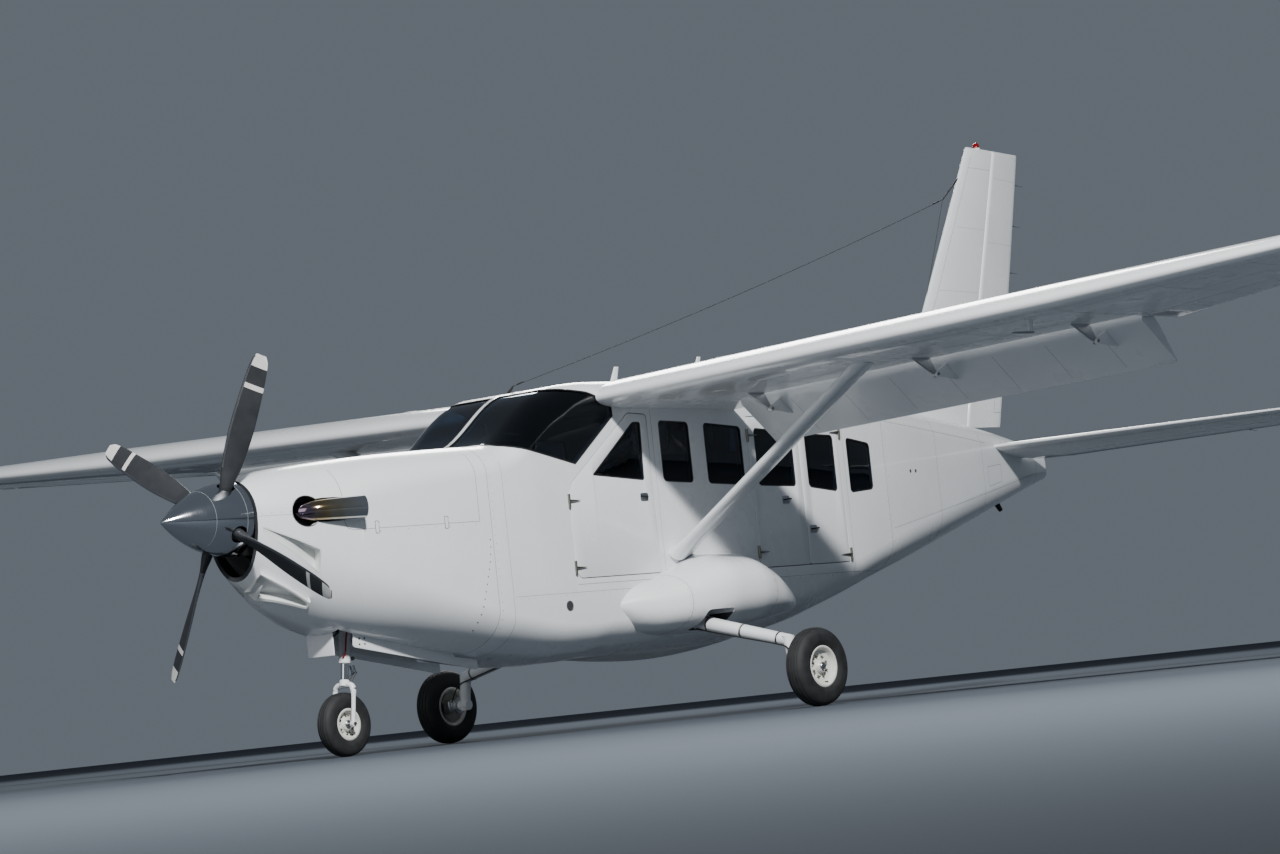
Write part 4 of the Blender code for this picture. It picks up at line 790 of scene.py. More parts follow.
@dataclass
class Doorway:
    """An opening in the side and the door in it."""

    name: str
    side: int
    corners: tuple[tuple[float, float], ...]
    window: Window
    hinge: tuple[float, int, tuple[float, float]]     # S, the way to the door, and two heights
    handle: tuple[float, float, int]                  # S, z, and the way that the lever points
    wall: float = 0.045
    radius: float = 0.020

    def skin_x(self) -> float:
        """The hinge line's x on the left side."""
        return LINES.half(self.hinge[0]) + GAP + 0.010

    def build(self) -> None:
        """Makes the door, its trim, seals, hinges, handle and glass."""
        body = self.name
        door = LINES.panel(plate(grown(self.corners, -PLAY), self.radius), self.side, 0.0, self.wall)
        door = seal(carve(door, [self.window.hole(self.side)]), 0.0015, 60)
        for face in door.faces:
            if face.normal.x * self.side < -0.9:
                face.material_index = 1
        place(self.name, door, [WHITE_ENAMEL, TRIM_PLASTIC], body, [self.name])
        place(f"{self.name}_glass", self.window.pane(self.side), [TINTED_ACRYLIC], body,
              [f"{self.name}_window"])
        place(f"{self.name}_gasket", self.window.gasket(self.side), [BLACK_RUBBER], body)
        self.hinges(body)
        self.lever(body)
        self.inner_trim(body)

    def hinges(self, body: str) -> None:
        """Two hinges outside: a slim pointed fairing over a round barrel."""
        s, way, heights = self.hinge
        x = self.side * self.skin_x()
        fairings, barrels = bmesh.new(), bmesh.new()
        for z in heights:
            profile = [at(x, s + way * a, z) for a in (-0.004, 0.010, 0.030, 0.055, 0.085, 0.118)]
            shape = tube(profile, [0.007, 0.0088, 0.0082, 0.0064, 0.0044, 0.0012], 12)
            fairings = merge(fairings, shape)
            barrels = merge(barrels, tube([at(x, s, z - 0.049), at(x, s, z + 0.049)], 0.0098, 16))
        place(f"{self.name}_hinge_fairings", fairings, [PLATED_STEEL], body)
        place(f"{self.name}_hinge_barrels", barrels, [PLATED_STEEL], body)

    def lever(self, body: str) -> None:
        """A flush escutcheon with a lever over it."""
        s, z, way = self.handle
        base = LINES.panel(plate([(s - 0.042, z - 0.030), (s + 0.042, z - 0.030), (s + 0.042, z + 0.030),
                                  (s - 0.042, z + 0.030)], 0.014), self.side, -0.0025, 0.003)
        place(f"{self.name}_handle_plate", seal(base, 0.001), [BARE_ALUMINIUM], body)
        x = self.side * (LINES.half(s) + 0.004)
        out = Vector((self.side * 0.010, 0, 0))
        pivot = at(x, s - way * 0.026, z)
        path = [pivot, pivot + out, at(x, s, z + 0.002) + out * 1.2, at(x, s + way * 0.050, z + 0.006) + out]
        place(f"{self.name}_handle", tube(curve_points(path, 5), 0.0058, 12, 1.0), [BLACK_RUBBER], body)

    def inner_trim(self, body: str) -> None:
        """An armrest and a map pocket inside the door."""
        lows = min(z for _, z in self.corners)
        mid = sum(s for s, _ in self.corners) / len(self.corners)
        span = max(s for s, _ in self.corners) - min(s for s, _ in self.corners)
        x0, x1 = sorted((self.side * 0.600, self.side * 0.566))
        rest = block((x0, mid - span * 0.28, lows + 0.42), (x1, mid + span * 0.28, lows + 0.47), 0.012)
        pocket = block((x0 + 0.008, mid - span * 0.30, lows + 0.08), (x1 - 0.008, mid + span * 0.30, lows + 0.30),
                       0.008)
        place(f"{self.name}_armrest", merge(rest, pocket), [PANEL_BLACK], body)


@dataclass
class Fuselage:
    """Cabin shell, glass, doors and rear fuselage."""

    cowl_front: float = 0.640
    firewall: float = 2.500
    cabin_rear: float = 6.950
    tail_end: float = 9.700
    cowl_wall: float = 0.030
    wall: float = 0.045
    bulkhead: float = 0.030
    post_half: float = 0.025
    windshield: tuple[tuple[float, float], ...] = (
        (2.665, 2.088), (3.395, 1.905), (3.835, 2.240), (3.830, 2.330), (3.600, 2.418), (3.315, 2.470),
        (3.20, 2.80), (2.40, 2.80), (2.40, 2.088))
    crew_door: tuple[tuple[float, float], ...] = (
        (3.290, 1.130), (3.335, 1.080), (4.200, 1.080), (4.200, 2.245), (4.000, 2.262), (3.345, 1.780),
        (3.290, 1.690))
    crew_window: tuple[tuple[float, float], ...] = (
        (3.560, 1.815), (4.112, 1.760), (4.128, 2.190), (4.042, 2.192))
    cabin_door: tuple[tuple[float, float], ...] = (
        (5.300, 1.060), (6.370, 1.060), (6.370, 2.205), (5.300, 2.205))
    door_split: float = 5.885
    windows: tuple[Window, ...] = (
        Window.upright("first", 4.320, 4.650, 1.746, 1.725, 2.197, 2.178),
        Window.upright("second", 4.814, 5.232, 1.714, 1.690, 2.169, 2.130),
        Window.upright("third", 5.378, 5.811, 1.680, 1.658, 2.117, 2.076),
        Window.upright("fourth", 5.960, 6.302, 1.648, 1.603, 2.060, 2.040),
        Window.upright("fifth", 6.461, 6.765, 1.588, 1.608, 2.018, 1.968))

    def doors(self) -> list[Doorway]:
        """Every door of the airplane."""
        crew = Window("crew", self.crew_window, 0.022)
        out = [Doorway(f"crew_door_{name}", side, self.crew_door, crew, (3.284, 1, (1.160, 1.640)),
                       (4.090, 1.640, -1)) for side, name in SIDES]
        edge = self.door_split
        front = tuple((min(s, edge + PLAY / 2), z) for s, z in self.cabin_door)
        rear = tuple((max(s, edge - PLAY / 2), z) for s, z in self.cabin_door)
        out.append(Doorway("cabin_door_front", 1, front, self.windows[2], (5.294, 1, (1.180, 2.060)),
                           (5.669, 1.563, 1)))
        out.append(Doorway("cabin_door_rear", 1, rear, self.windows[3], (6.376, -1, (1.120, 2.060)),
                           (5.960, 1.330, 1)))
        return out

    def build(self) -> None:
        """Makes every piece of the body."""
        self.cabin()
        self.glass()
        for door in self.doors():
            door.build()
        self.rear()

    def cabin(self) -> None:
        """The cabin shell, hollow, with every opening cut and its inside lined."""
        shell = LINES.solid(self.firewall, self.cabin_rear)
        space = LINES.solid(self.firewall + self.bulkhead, self.cabin_rear - self.bulkhead, self.wall)
        tools = [space]
        for side, _ in SIDES:
            tools.append(prism(self.windshield, side * self.post_half, side * 0.80))
            tools.append(prism(self.crew_door, side * 0.30, side * 0.80, 0.022))
            for window in self.windows[:2] + self.windows[4:] + (self.windows[2:4] if side < 0 else ()):
                tools.append(window.hole(side))
        tools.append(prism(self.cabin_door, 0.30, 0.80, 0.022))
        shell = carve(shell, tools)
        axis_z = 1.60
        for face in shell.faces:
            centre = face.calc_center_median()
            out = Vector((centre.x, 0, centre.z - axis_z))
            depth = LINES.side_x(centre.y + LENGTH / 2, centre.z) - abs(centre.x)
            inward = face.normal.dot(out) < 0 or abs(face.normal.y) > 0.95
            within = self.firewall + 0.02 < centre.y + LENGTH / 2 < self.cabin_rear - 0.02
            if inward and within and depth > self.wall * 0.8:
                face.material_index = 1
        place("cabin_shell_skin", shell, [WHITE_ENAMEL, TRIM_PLASTIC],
              stands_for=["firewall_frame", "cabin_belly", "cabin_roof", "cabin_side_left", "cabin_side_right"])

    def glass(self) -> None:
        """Windshield halves with their seals, and the fixed side windows."""
        for side, name in SIDES:
            near, far = side * (self.post_half + 0.001), side * 0.80
            pane = carve(LINES.wall(self.firewall, 4.0, 0.006, 0.012),
                         [prism(grown(self.windshield, -0.001), near, far)], Cut.KEEP)
            place(f"windshield_{name}_glass", pane, [TINTED_ACRYLIC],
                  stands_for=[f"windshield_{name}"])
            band = carve(LINES.wall(self.windshield[0][0] - 0.012, 4.0, -0.0012, 0.0055),
                         [prism(grown(self.windshield, 0.006), side * (self.post_half - 0.006), far)], Cut.KEEP)
            band = carve(band, [prism(grown(self.windshield, -0.006), side * (self.post_half + 0.006), side * 0.9)])
            place(f"windshield_{name}_seal", band, [BLACK_RUBBER])
            rows = {1: (("side_windows_left", self.windows[:2]), ("rear_window_left", self.windows[4:])),
                    -1: (("side_windows_right", self.windows),)}[side]
            for node, group in rows:
                place(f"{node}_glass", merge(*[w.pane(side) for w in group]), [TINTED_ACRYLIC],
                      stands_for=[node])
                place(f"{node}_gaskets", merge(*[w.gasket(side) for w in group]), [BLACK_RUBBER])

    def rear(self) -> None:
        """The rear fuselage, hollow, with its rounded end and its seams and screws."""
        ends = ((9.70, 0.0), (9.72, 0.003), (9.735, 0.010), (9.745, 0.021), (9.75, 0.034))
        rows = [LINES.section(s) for s in spread(self.cabin_rear + GAP, self.tail_end, LINES.step)[:-1]]
        rows += [[p + Vector((0, s - self.tail_end, 0)) for p in LINES.section(self.tail_end, inset)]
                 for s, inset in ends]
        tail = carve(skin(rows, capped=True), [
            LINES.solid(self.cabin_rear + self.bulkhead, 9.60, 0.020),
            block((-0.22, 6.90, 1.25), (0.22, 7.01, 1.80))])
        for face in tail.faces:
            centre = face.calc_center_median()
            out = Vector((centre.x, 0, centre.z - 1.80))
            if face.normal.dot(out) < 0 and abs(centre.x) < LINES.half(centre.y + LENGTH / 2) - 0.01:
                face.material_index = 1
            if centre.y + LENGTH / 2 < self.cabin_rear + 0.04 and abs(face.normal.y) > 0.9:
                face.material_index = 1
        place("rear_fuselage_skin", tail, [WHITE_ENAMEL, ZINC_GREEN],
              stands_for=["rear_fuselage"])
        lines, screws = [LINES.hoop(s, 0.003) for s in (6.952, 7.75, 8.52, 9.52)], []
        for side, _ in SIDES:
            lines.append(LINES.line([(7.00, 2.135), (8.60, 1.955)], side, 0.003))
            lines.append(LINES.line([(7.00, 1.300), (9.50, 1.700)], side, 0.003))
            lines.append(LINES.line([(8.60, 1.600), (8.60, 1.760), (8.84, 1.780), (8.84, 1.640), (8.60, 1.600)],
                                    side, 0.004))
            for z in spread(1.20, 2.10, 0.05):
                screws.append(LINES.spot(side, 6.985, z))
                screws.append(LINES.spot(side, 7.735, z + 0.06))
            for s in spread(7.10, 9.40, 0.07):
                screws.append(LINES.spot(side, s, 2.150 - 0.112 * (s - 7.0)))
                screws.append(LINES.spot(side, s, 1.312 + 0.160 * (s - 7.0)))
        place("rear_fuselage_seams", merge(*lines), [PAINTED_SEAM_SHADE])
        place("rear_fuselage_screws", studs(screws, 0.0030, 0.0006, 6), [PLATED_STEEL])


@dataclass
class Cowling:
    """The engine's cowling with its scoops, hatch, seams and screws, and the exhausts."""

    front: float = 0.640
    rear: float = 2.500
    wall: float = 0.030
    lining: float = 0.009
    bay_x: float = 0.195
    bay_s: tuple[float, float] = (1.340, 2.440)
    port_s: float = 0.965
    port_r: float = 0.105
    elbow_x: float = 0.365
    outlet: tuple[float, float, float] = (0.565, 1.350, 1.682)
    pipe_radii: tuple[float, ...] = (0.062, 0.064, 0.070, 0.074, 0.078)
    # Scoops: front and rear as (S, middle z, half height), then their depth at the rear
    scoops: tuple = (((0.668, 1.585, 0.010), (1.035, 1.340, 0.075), 0.085),
                     ((0.690, 1.245, 0.055), (1.010, 1.080, 0.010), 0.050))
    hatch: tuple[tuple[float, float], ...] = (
        (1.244, 1.96), (1.244, 1.590), (1.262, 1.548), (1.305, 1.533), (2.395, 1.533), (2.395, 2.02))

    def build(self) -> None:
        """Makes the cowling and what is on it."""
        self.shell()
        self.seams()
        self.latches()
        for side, name in SIDES:
            self.exhaust(side, name)

    def scoop(self, side: int, front: Sequence[float], rear: Sequence[float], depth: float,
              grow: float = 0.0) -> BMesh:
        """A wedge that runs into the cowling and gets deeper aft."""
        rows = []
        for share, behind in [(t, 0.0) for t in spread(0.0, 1.0, 0.12)] + [(1.0, grow)] * (grow > 0):
            s, z, half = (a + (b - a) * share for a, b in zip(front, rear))
            s += behind
            low, high = z - half - grow, z + half + grow
            deep = depth * share ** 1.3 + 0.002 + grow
            (outer_high, _), (outer_low, _) = (LINES.spot(side, s, h, 0.05) for h in (high, low))
            (inner_high, _), (inner_low, _) = (LINES.spot(side, s, h, -deep) for h in (high, low))
            rows.append([outer_high, outer_low, inner_low, inner_high])
        return skin(rows, capped=True)

    def shell(self) -> None:
        """The cowling's wall, its openings and the linings of its scoops."""
        shell = LINES.wall(self.front, self.rear - GAP, 0.0, self.wall)
        tools = [block((-self.bay_x, self.bay_s[0], 0.3), (self.bay_x, self.bay_s[1], 1.0))]
        linings = bmesh.new()
        for side, _ in SIDES:
            tools.append(tube([at(side * 0.20, self.port_s, THRUST_Z), at(side * 0.80, self.port_s, THRUST_Z)],
                              self.port_r, 36))
            trough = [at(side * x, s, THRUST_Z) for x, s in ((self.elbow_x, self.port_s), self.outlet[:2])]
            tools.append(tube(trough, [0.080, 0.090], 24))
            for front, rear, depth in self.scoops:
                tools.append(self.scoop(side, front, rear, depth, self.lining + GAP))
                lining = carve(self.scoop(side, front, rear, depth, self.lining),
                               [self.scoop(side, front, rear, depth)])
                lining = carve(lining, [LINES.solid(self.front, self.rear - GAP, 0.0002)], Cut.KEEP)
                linings = merge(linings, lining)
        shell = carve(shell, tools)
        # Inner faces and forward- or aft-facing cut faces get the painted shade colour
        for face in shell.faces:
            centre = face.calc_center_median()
            out = Vector((centre.x, 0, centre.z - 1.45))
            if face.normal.dot(out) < 0 or abs(face.normal.y) > 0.98:
                face.material_index = 1
        place("cowling_skin", shell, [WHITE_ENAMEL, RECESS_PAINTED_SHADE],
              stands_for=["engine_cowling"])
        place("cowling_scoop_linings", linings, [BELLY_ENAMEL])
        lip = []
        for side, _ in SIDES:
            turns = [2 * math.pi * k / 48 for k in range(48)]
            spots = [LINES.spot(side, self.port_s + self.port_r * math.cos(a), THRUST_Z
                                + self.port_r * math.sin(a)) for a in turns]
            rows = [ring(p, spots[(k + 1) % 48][0] - spots[k - 1][0], 0.0035, 8) for k, (p, _) in
                    enumerate(spots)]
            lip.append(skin(rows + [rows[0]]))
        place("exhaust_port_rims", merge(*lip), [BARE_ALUMINIUM])

    def seams(self) -> None:
        """Panel joints: hatch, split line and firewall joint, with screws along them."""
        lines, spots, heads = [], [], []
        for side, _ in SIDES:
            lines.append(LINES.line(self.hatch, side, 0.0040))
            lines.append(LINES.line([(0.645, 1.675), (0.855, 1.668)], side, 0.0025))
            for s in spread(0.67, 0.85, 0.06):
                spots.append(LINES.spot(side, s, 1.690))
            for z in spread(0.78, 1.40, 0.056):
                heads.append(LINES.spot(side, 2.475 - 0.15 * ease(1.4, 0.75, z), z))
            for z in spread(0.78, 1.96, 0.062):
                spots.append(LINES.spot(side, 2.528, z))
            for s in spread(1.40, 2.36, 0.12):
                spots.append(LINES.spot(side, s, 1.515))
        place("cowling_seams", merge(*lines, LINES.hoop(self.rear)), [PAINTED_SEAM_SHADE])
        place("cowling_screws", studs(spots, 0.0035, 0.0008), [PLATED_STEEL])
        # The firewall row's screw heads are dark dots in the painted shade colour
        place("cowling_rear_screws", studs(heads, 0.0060, 0.0009, 12), [RECESS_PAINTED_SHADE])

    def latches(self) -> None:
        """Two flush over-centre latches along each hatch's lower edge, each in a dark outline of painted shade, with
        rivets in the same painted shade.
        """
        plates, joints, rivets = [], [], []
        for side, _ in SIDES:
            for s in (1.500, 2.095):
                (low, normal), (high, _) = LINES.spot(side, s, 1.500), LINES.spot(side, s, 1.580)
                along = (high - low).normalized()
                across = along.cross(normal).normalized()
                for parts, grow, lift in ((joints, 0.0035, 0.0010), (plates, 0.0, 0.0020)):
                    wide, up = across * (0.0125 + grow), along * grow
                    bm = bmesh.new()
                    outline_face(bm, [low - wide - up, low + wide - up, high + wide + up, high - wide + up], 0.008)
                    parts.append(thicken(bm, normal * lift))
                rivets += [(low.lerp(high, share) + side * across * 0.024, normal) for share in (0.1, 0.5, 0.9)]
        place("cowling_latches", merge(*plates), [WHITE_ENAMEL])
        # The dark outline round each latch and its rivets are painted shade
        place("cowling_latch_shade_outlines", merge(*joints), [RECESS_PAINTED_SHADE])
        place("cowling_latch_rivets", studs(rivets, 0.0035, 0.0008, 10), [RECESS_PAINTED_SHADE])

    def exhaust(self, side: int, name: str) -> None:
        """One bent exhaust pipe with an open, sooty mouth and its clamp."""
        end = at(side * self.outlet[0], self.outlet[1], self.outlet[2])
        path = curve_points([at(side * 0.2355, self.port_s, THRUST_Z), at(side * 0.320, self.port_s + 0.004, THRUST_Z),
                             at(side * 0.415, self.port_s + 0.075, THRUST_Z),
                             at(side * 0.492, self.port_s + 0.215, THRUST_Z), end], 8)
        along = (path[-1] - path[-2]).normalized()
        rows, inner = [], []
        for k, point in enumerate(path):
            way = path[min(k + 1, len(path) - 1)] - path[max(k - 1, 0)]
            share = k / (len(path) - 1)
            radius = self.pipe_radii[0] + (self.pipe_radii[-1] - self.pipe_radii[0]) * share
            rows.append(ring(point, way, radius, 32))
            if share > 0.45:
                inner.append(ring(point, way, radius - 0.004, 32))
        rows[-1] = ring(end, along, self.pipe_radii[-1] + 0.0005, 32)
        pipe = skin(rows + inner[::-1], capped=True)
        for face in pipe.faces:
            middle = face.calc_center_median()
            nearest = min(path, key=lambda p: (p - middle).length)
            if face.normal.dot(middle - nearest) < 0:
                face.material_index = 1
        place(f"exhaust_pipe_{name}", pipe, [EXHAUST_STEEL, SOOT],
              stands_for=[f"exhaust_stack_{name}"])
        clamp = lathe([(-0.010, 0.063), (-0.010, 0.071), (0.010, 0.071), (0.010, 0.063), (-0.010, 0.063)],
                      at(side * 0.262, self.port_s, THRUST_Z), Vector((1, 0, 0)), 32)
        place(f"exhaust_clamp_{name}", clamp, [PLATED_STEEL])


@dataclass
class Propeller:
    """Four blades, their hub and the polished spinner.

    Blade rows: radius, chord, thickness, pitch in degrees.
    """

    station: float = 0.507
    first_angle: float = math.radians(30.0)
    hub_radius: float = 0.110
    shaft_radius: float = 0.070
    spinner_radius: float = 0.2555
    spinner_back: float = 0.6155
    spinner_wall: float = 0.008
    hole_radius: float = 0.062
    engine_front: float = 0.860
    stripes: tuple[tuple[float, float], ...] = ((0.955, 0.990), (1.115, 1.204))
    blade: tuple[tuple[float, ...], ...] = (
        (0.10, 0.090, 0.086, 62), (0.24, 0.092, 0.078, 58), (0.40, 0.140, 0.040, 46), (0.70, 0.172, 0.026, 33),
        (1.00, 0.155, 0.016, 25), (1.16, 0.120, 0.011, 22), (1.204, 0.070, 0.008, 21))

    def build(self) -> None:
        """Makes the blades, hub, spinner and its screws."""
        centre, aft = at(0, self.station, THRUST_Z), Vector((0, 1, 0))
        hub = lathe([(-0.12, 0), (-0.12, 0.055), (-0.07, self.hub_radius), (0.06, self.hub_radius),
                     (0.075, self.shaft_radius), (self.engine_front - GAP - self.station, self.shaft_radius),
                     (self.engine_front - GAP - self.station, 0)], centre, aft)
        blades, edges = bmesh.new(), bmesh.new()
        for k in range(4):
            turn = Matrix.Translation(centre) @ Matrix.Rotation(self.first_angle + k * math.pi / 2, 4, aft)
            blade, edge = self.one_blade()
            blade.transform(turn)
            edge.transform(turn)
            blades, edges = merge(blades, blade), merge(edges, edge)
        place("propeller_blades", blades, [BLADE_PAINT, BLADE_TIP_WHITE], "propeller",
              ["propeller"], 40)
        place("propeller_leading_edges", edges, [NICKEL_EDGE], "propeller")
        place("propeller_hub", seal(hub, 0.002), [BARE_ALUMINIUM], "propeller")
        self.spinner(centre, aft)

    def one_blade(self) -> tuple[BMesh, BMesh]:
        """A blade that stands up from the hub, and the nickel strip on its leading edge."""
        marks = sorted({*spread(0.10, 0.92, 0.04), *spread(0.955, 1.204, 0.0178),
                        *(r for pair in self.stripes for r in pair)})
        rows, shields = [], []
        for radius in marks:
            _, chord, thick, pitch = blend_rows(self.blade, radius)
            turn, hollow = math.radians(pitch), 0.10 * ease(0.25, 0.6, radius)
            points = []
            for j in range(28):
                a = 2 * math.pi * j / 28
                u = 0.5 * chord * math.cos(a)
                v = 0.5 * thick * math.sin(a) * (1 - hollow * (1 - math.cos(a)))
                points.append(Vector((u * math.cos(turn) - v * math.sin(turn),
                                      u * math.sin(turn) + v * math.cos(turn), radius)))
            rows.append(points)
            if 0.36 < radius < 1.19:
                nose = points[14]
                middle = sum(points, Vector()) / 28
                out = (nose - middle).normalized()
                shield = [points[j] + out * 0.0006 for j in (11, 12, 13, 14, 15, 16, 17)]
                inner = [p - out * 0.0016 for p in shield[::-1]]
                shields.append(shield + inner)
        bm = skin(rows, capped=True)
        for face in bm.faces:
            radius = face.calc_center_median().z
            if any(low < radius < high for low, high in self.stripes):
                face.material_index = 1
        return bm, skin(shields, capped=True)

    def spinner(self, centre: Vector, aft: Vector) -> None:
        """The spinner's shell with its four blade holes, back plate, seam and screws."""
        def radius(share: float) -> float:
            """The outer radius at a share of the length."""
            return self.spinner_radius * math.sin(math.pi / 2 * share ** 0.96) ** 0.94

        shares = [(k / 36) ** 1.8 for k in range(37)]
        outer = [(self.spinner_back * t, radius(t) if t else 0.0) for t in shares]
        inner = [(s + 0.012, max(r - self.spinner_wall, 0.0)) for s, r in outer[4:-1]]
        inner[0] = (inner[0][0], 0.0)
        inner.append((self.spinner_back - 0.012, self.spinner_radius - self.spinner_wall))
        plate_edge = [(self.spinner_back, self.shaft_radius + GAP), (self.spinner_back - 0.012,
                                                                     self.shaft_radius + GAP)]
        profile = outer + plate_edge + inner[::-1]
        shell = lathe(profile, at(0, 0, THRUST_Z), aft, 72)
        holes = []
        for k in range(4):
            angle = self.first_angle + k * math.pi / 2
            out = Vector((math.sin(angle), 0, math.cos(angle)))
            holes.append(tube([centre + out * 0.13, centre + out * 0.40], self.hole_radius, 28))
        place("spinner_shell", carve(shell, holes), [POLISHED_ALUMINIUM], "propeller",
              ["spinner"])
        cuffs = []
        for k in range(4):
            angle = self.first_angle + k * math.pi / 2
            out = Vector((math.sin(angle), 0, math.cos(angle)))
            cuffs.append(tube([centre + out * r for r in (0.12, 0.215, 0.222)], [0.056, 0.054, 0.048], 24))
        place("propeller_blade_cuffs", merge(*cuffs), [BLACK_RUBBER], "propeller")
        bands, spots = [], []
        for s, lift in ((0.560, 0.0004), (0.330, 0.0003)):
            r = radius(s / self.spinner_back)
            bands.append(lathe([(s - 0.0012, r - 0.001), (s - 0.0012, r + lift), (s + 0.0012, r + lift + 0.0002),
                                (s + 0.0012, r - 0.001), (s - 0.0012, r - 0.001)], at(0, 0, THRUST_Z), aft, 72))
        for k in range(24):
            angle = 2 * math.pi * (k + 0.5) / 24
            out = Vector((math.sin(angle), 0, math.cos(angle)))
            spots.append((at(0, 0.588, THRUST_Z) + out * (radius(0.588 / self.spinner_back) + 0.0002), out))
        place("spinner_seams", merge(*bands), [PAINTED_SEAM_SHADE], "propeller")
        place("spinner_screws", studs(spots, 0.0042, 0.0008), [PLATED_STEEL], "propeller")


# Wings and tail


@dataclass(frozen=True)
class WingLines:
    """The wing's outer shape, and where its moving surfaces are hinged."""

    root: float = 0.6504
    kink: float = 4.740
    tip: float = 7.215
    tip_start: float = 7.100
    leading: float = 3.680
    root_chord: float = 1.500
    tip_chord: float = 0.850
    leading_z: float = 2.359
    dihedral: float = 0.0323
    outer_dihedral: float = 0.044
    incidence: float = math.radians(4.6)
    camber: float = 0.040
    camber_at: float = 0.40
    thickness: float = 0.150
    flap_x: tuple[float, float] = (1.060, 4.700)
    flap_u: float = 0.680
    flap_gap_u: float = 0.006
    flap_hinge_u: float = 0.700
    flap_hinge_drop: float = 0.140
    flap_down: float = math.radians(38.0)
    flap_arms: tuple[float, ...] = (1.400, 2.950, 4.350)
    arm_half: float = 0.009
    eye_radius: float = 0.022
    aileron_x: tuple[float, float] = (4.750, 6.980)
    aileron_u: float = 0.740
    aileron_gap_u: float = 0.012
    aileron_hinge_u: float = 0.755

    def height(self, u: float, upper: bool) -> float:
        """Height of the section above its chord at a share u of it, over the chord."""
        half = 5 * self.thickness * (0.2969 * math.sqrt(u) - 0.1260 * u - 0.3516 * u ** 2
                                     + 0.2843 * u ** 3 - 0.1015 * u ** 4)
        at_u = self.camber_at
        if u < at_u:
            mean = self.camber / at_u ** 2 * (2 * at_u * u - u * u)
        else:
            mean = self.camber / (1 - at_u) ** 2 * (1 - 2 * at_u + 2 * at_u * u - u * u)
        return mean + (half if upper else -half)

    def frame(self, x: float) -> tuple[float, float]:
        """Chord and leading edge height at a place along the span."""
        outboard = max(x - self.kink, 0.0)
        chord = self.root_chord + (self.tip_chord - self.root_chord) * outboard / (self.tip - self.kink)
        return chord, self.leading_z + self.dihedral * (x - outboard) + self.outer_dihedral * outboard

    def point(self, side: int, x: float, u: float, height: float) -> Vector:
        """A point at a share u of the chord and a height above the chord line."""
        chord, z = self.frame(x)
        s = self.leading + u * chord * math.cos(self.incidence) + height * math.sin(self.incidence)
        return at(side * x, s, z - u * chord * math.sin(self.incidence) + height * math.cos(self.incidence))

    def spot(self, side: int, x: float, u: float, upper: bool, out: float = 0.0) -> tuple[Vector, Vector]:
        """A point of the skin and the direction out of it."""
        chord = self.frame(x)[0]
        here = self.point(side, x, u, self.height(u, upper) * chord)
        aft = self.point(side, x, u + 0.01, self.height(u + 0.01, upper) * chord) - here
        across = self.point(side, x + 0.05, u, self.height(u, upper) * chord) - here
        normal = aft.cross(across).normalized()
        if (normal.z > 0) != upper:
            normal = -normal
        return here + normal * out, normal

    def section(self, side: int, x: float, front: float, back: float, steps: int = 24, nose: float = 0.0,
                thin: float = 1.0) -> list[Vector]:
        """The section between two shares of the chord.

        Args:
            side: 1 for left, -1 for right.
            x: Place along the span.
            front: The first share of the chord.
            back: The last share of the chord.
            steps: Points along each surface.
            nose: Over how much of the chord a rounded nose grows to full thickness.
            thin: Share of the thickness that is kept.
        """
        chord = self.frame(x)[0]
        points = []
        for upper in (True, False):
            row = []
            for k in range(steps + 1):
                u = front + (back - front) * (1 - math.cos(math.pi / 2 * k / steps))
                h = self.height(u, upper) * chord * thin
                if nose:
                    middle = (self.height(u, True) + self.height(u, False)) / 2 * chord
                    t = min((u - front) / nose, 1.0)
                    h = middle + (h - middle) * (0.15 + 0.85 * math.sqrt(max(1 - (1 - t) ** 2, 0.0)))
                if u > 0.999:
                    h += 0.0015 if upper else -0.0015
                row.append(self.point(side, x, u, h))
            points += row[::-1] if upper else row
        return points

    def bay(self, side: int, span: tuple[float, float], u: float) -> BMesh:
        """A block that clears the wing behind a share of the chord."""
        rows = [[self.point(side, x, share, height) for share, height in
                 ((u, -0.25), (1.3, -0.25), (1.3, 0.25), (u, 0.25))] for x in (span[0] - PLAY, span[1] + PLAY)]
        return skin(rows, capped=True)

    def hinge(self, side: int, x: float) -> Vector:
        """The flap's hinge point, below the wing."""
        return self.point(side, x, self.flap_hinge_u, -self.flap_hinge_drop)

    def chordwise(self, side: int, x: float, upper: bool, first: float, last: float, width: float) -> BMesh:
        """A seam along the chord."""
        spots = [self.spot(side, x, u, upper) for u in spread(first, last, 0.03)]
        return strip([p for p, _ in spots], [n for _, n in spots], width, 0.0004)

    def spanwise(self, side: int, u: float, upper: bool, first: float, last: float, width: float) -> BMesh:
        """A seam along the span."""
        spots = [self.spot(side, x, u, upper) for x in spread(first, last, 0.25)]
        return strip([p for p, _ in spots], [n for _, n in spots], width, 0.0004)


WING = WingLines()


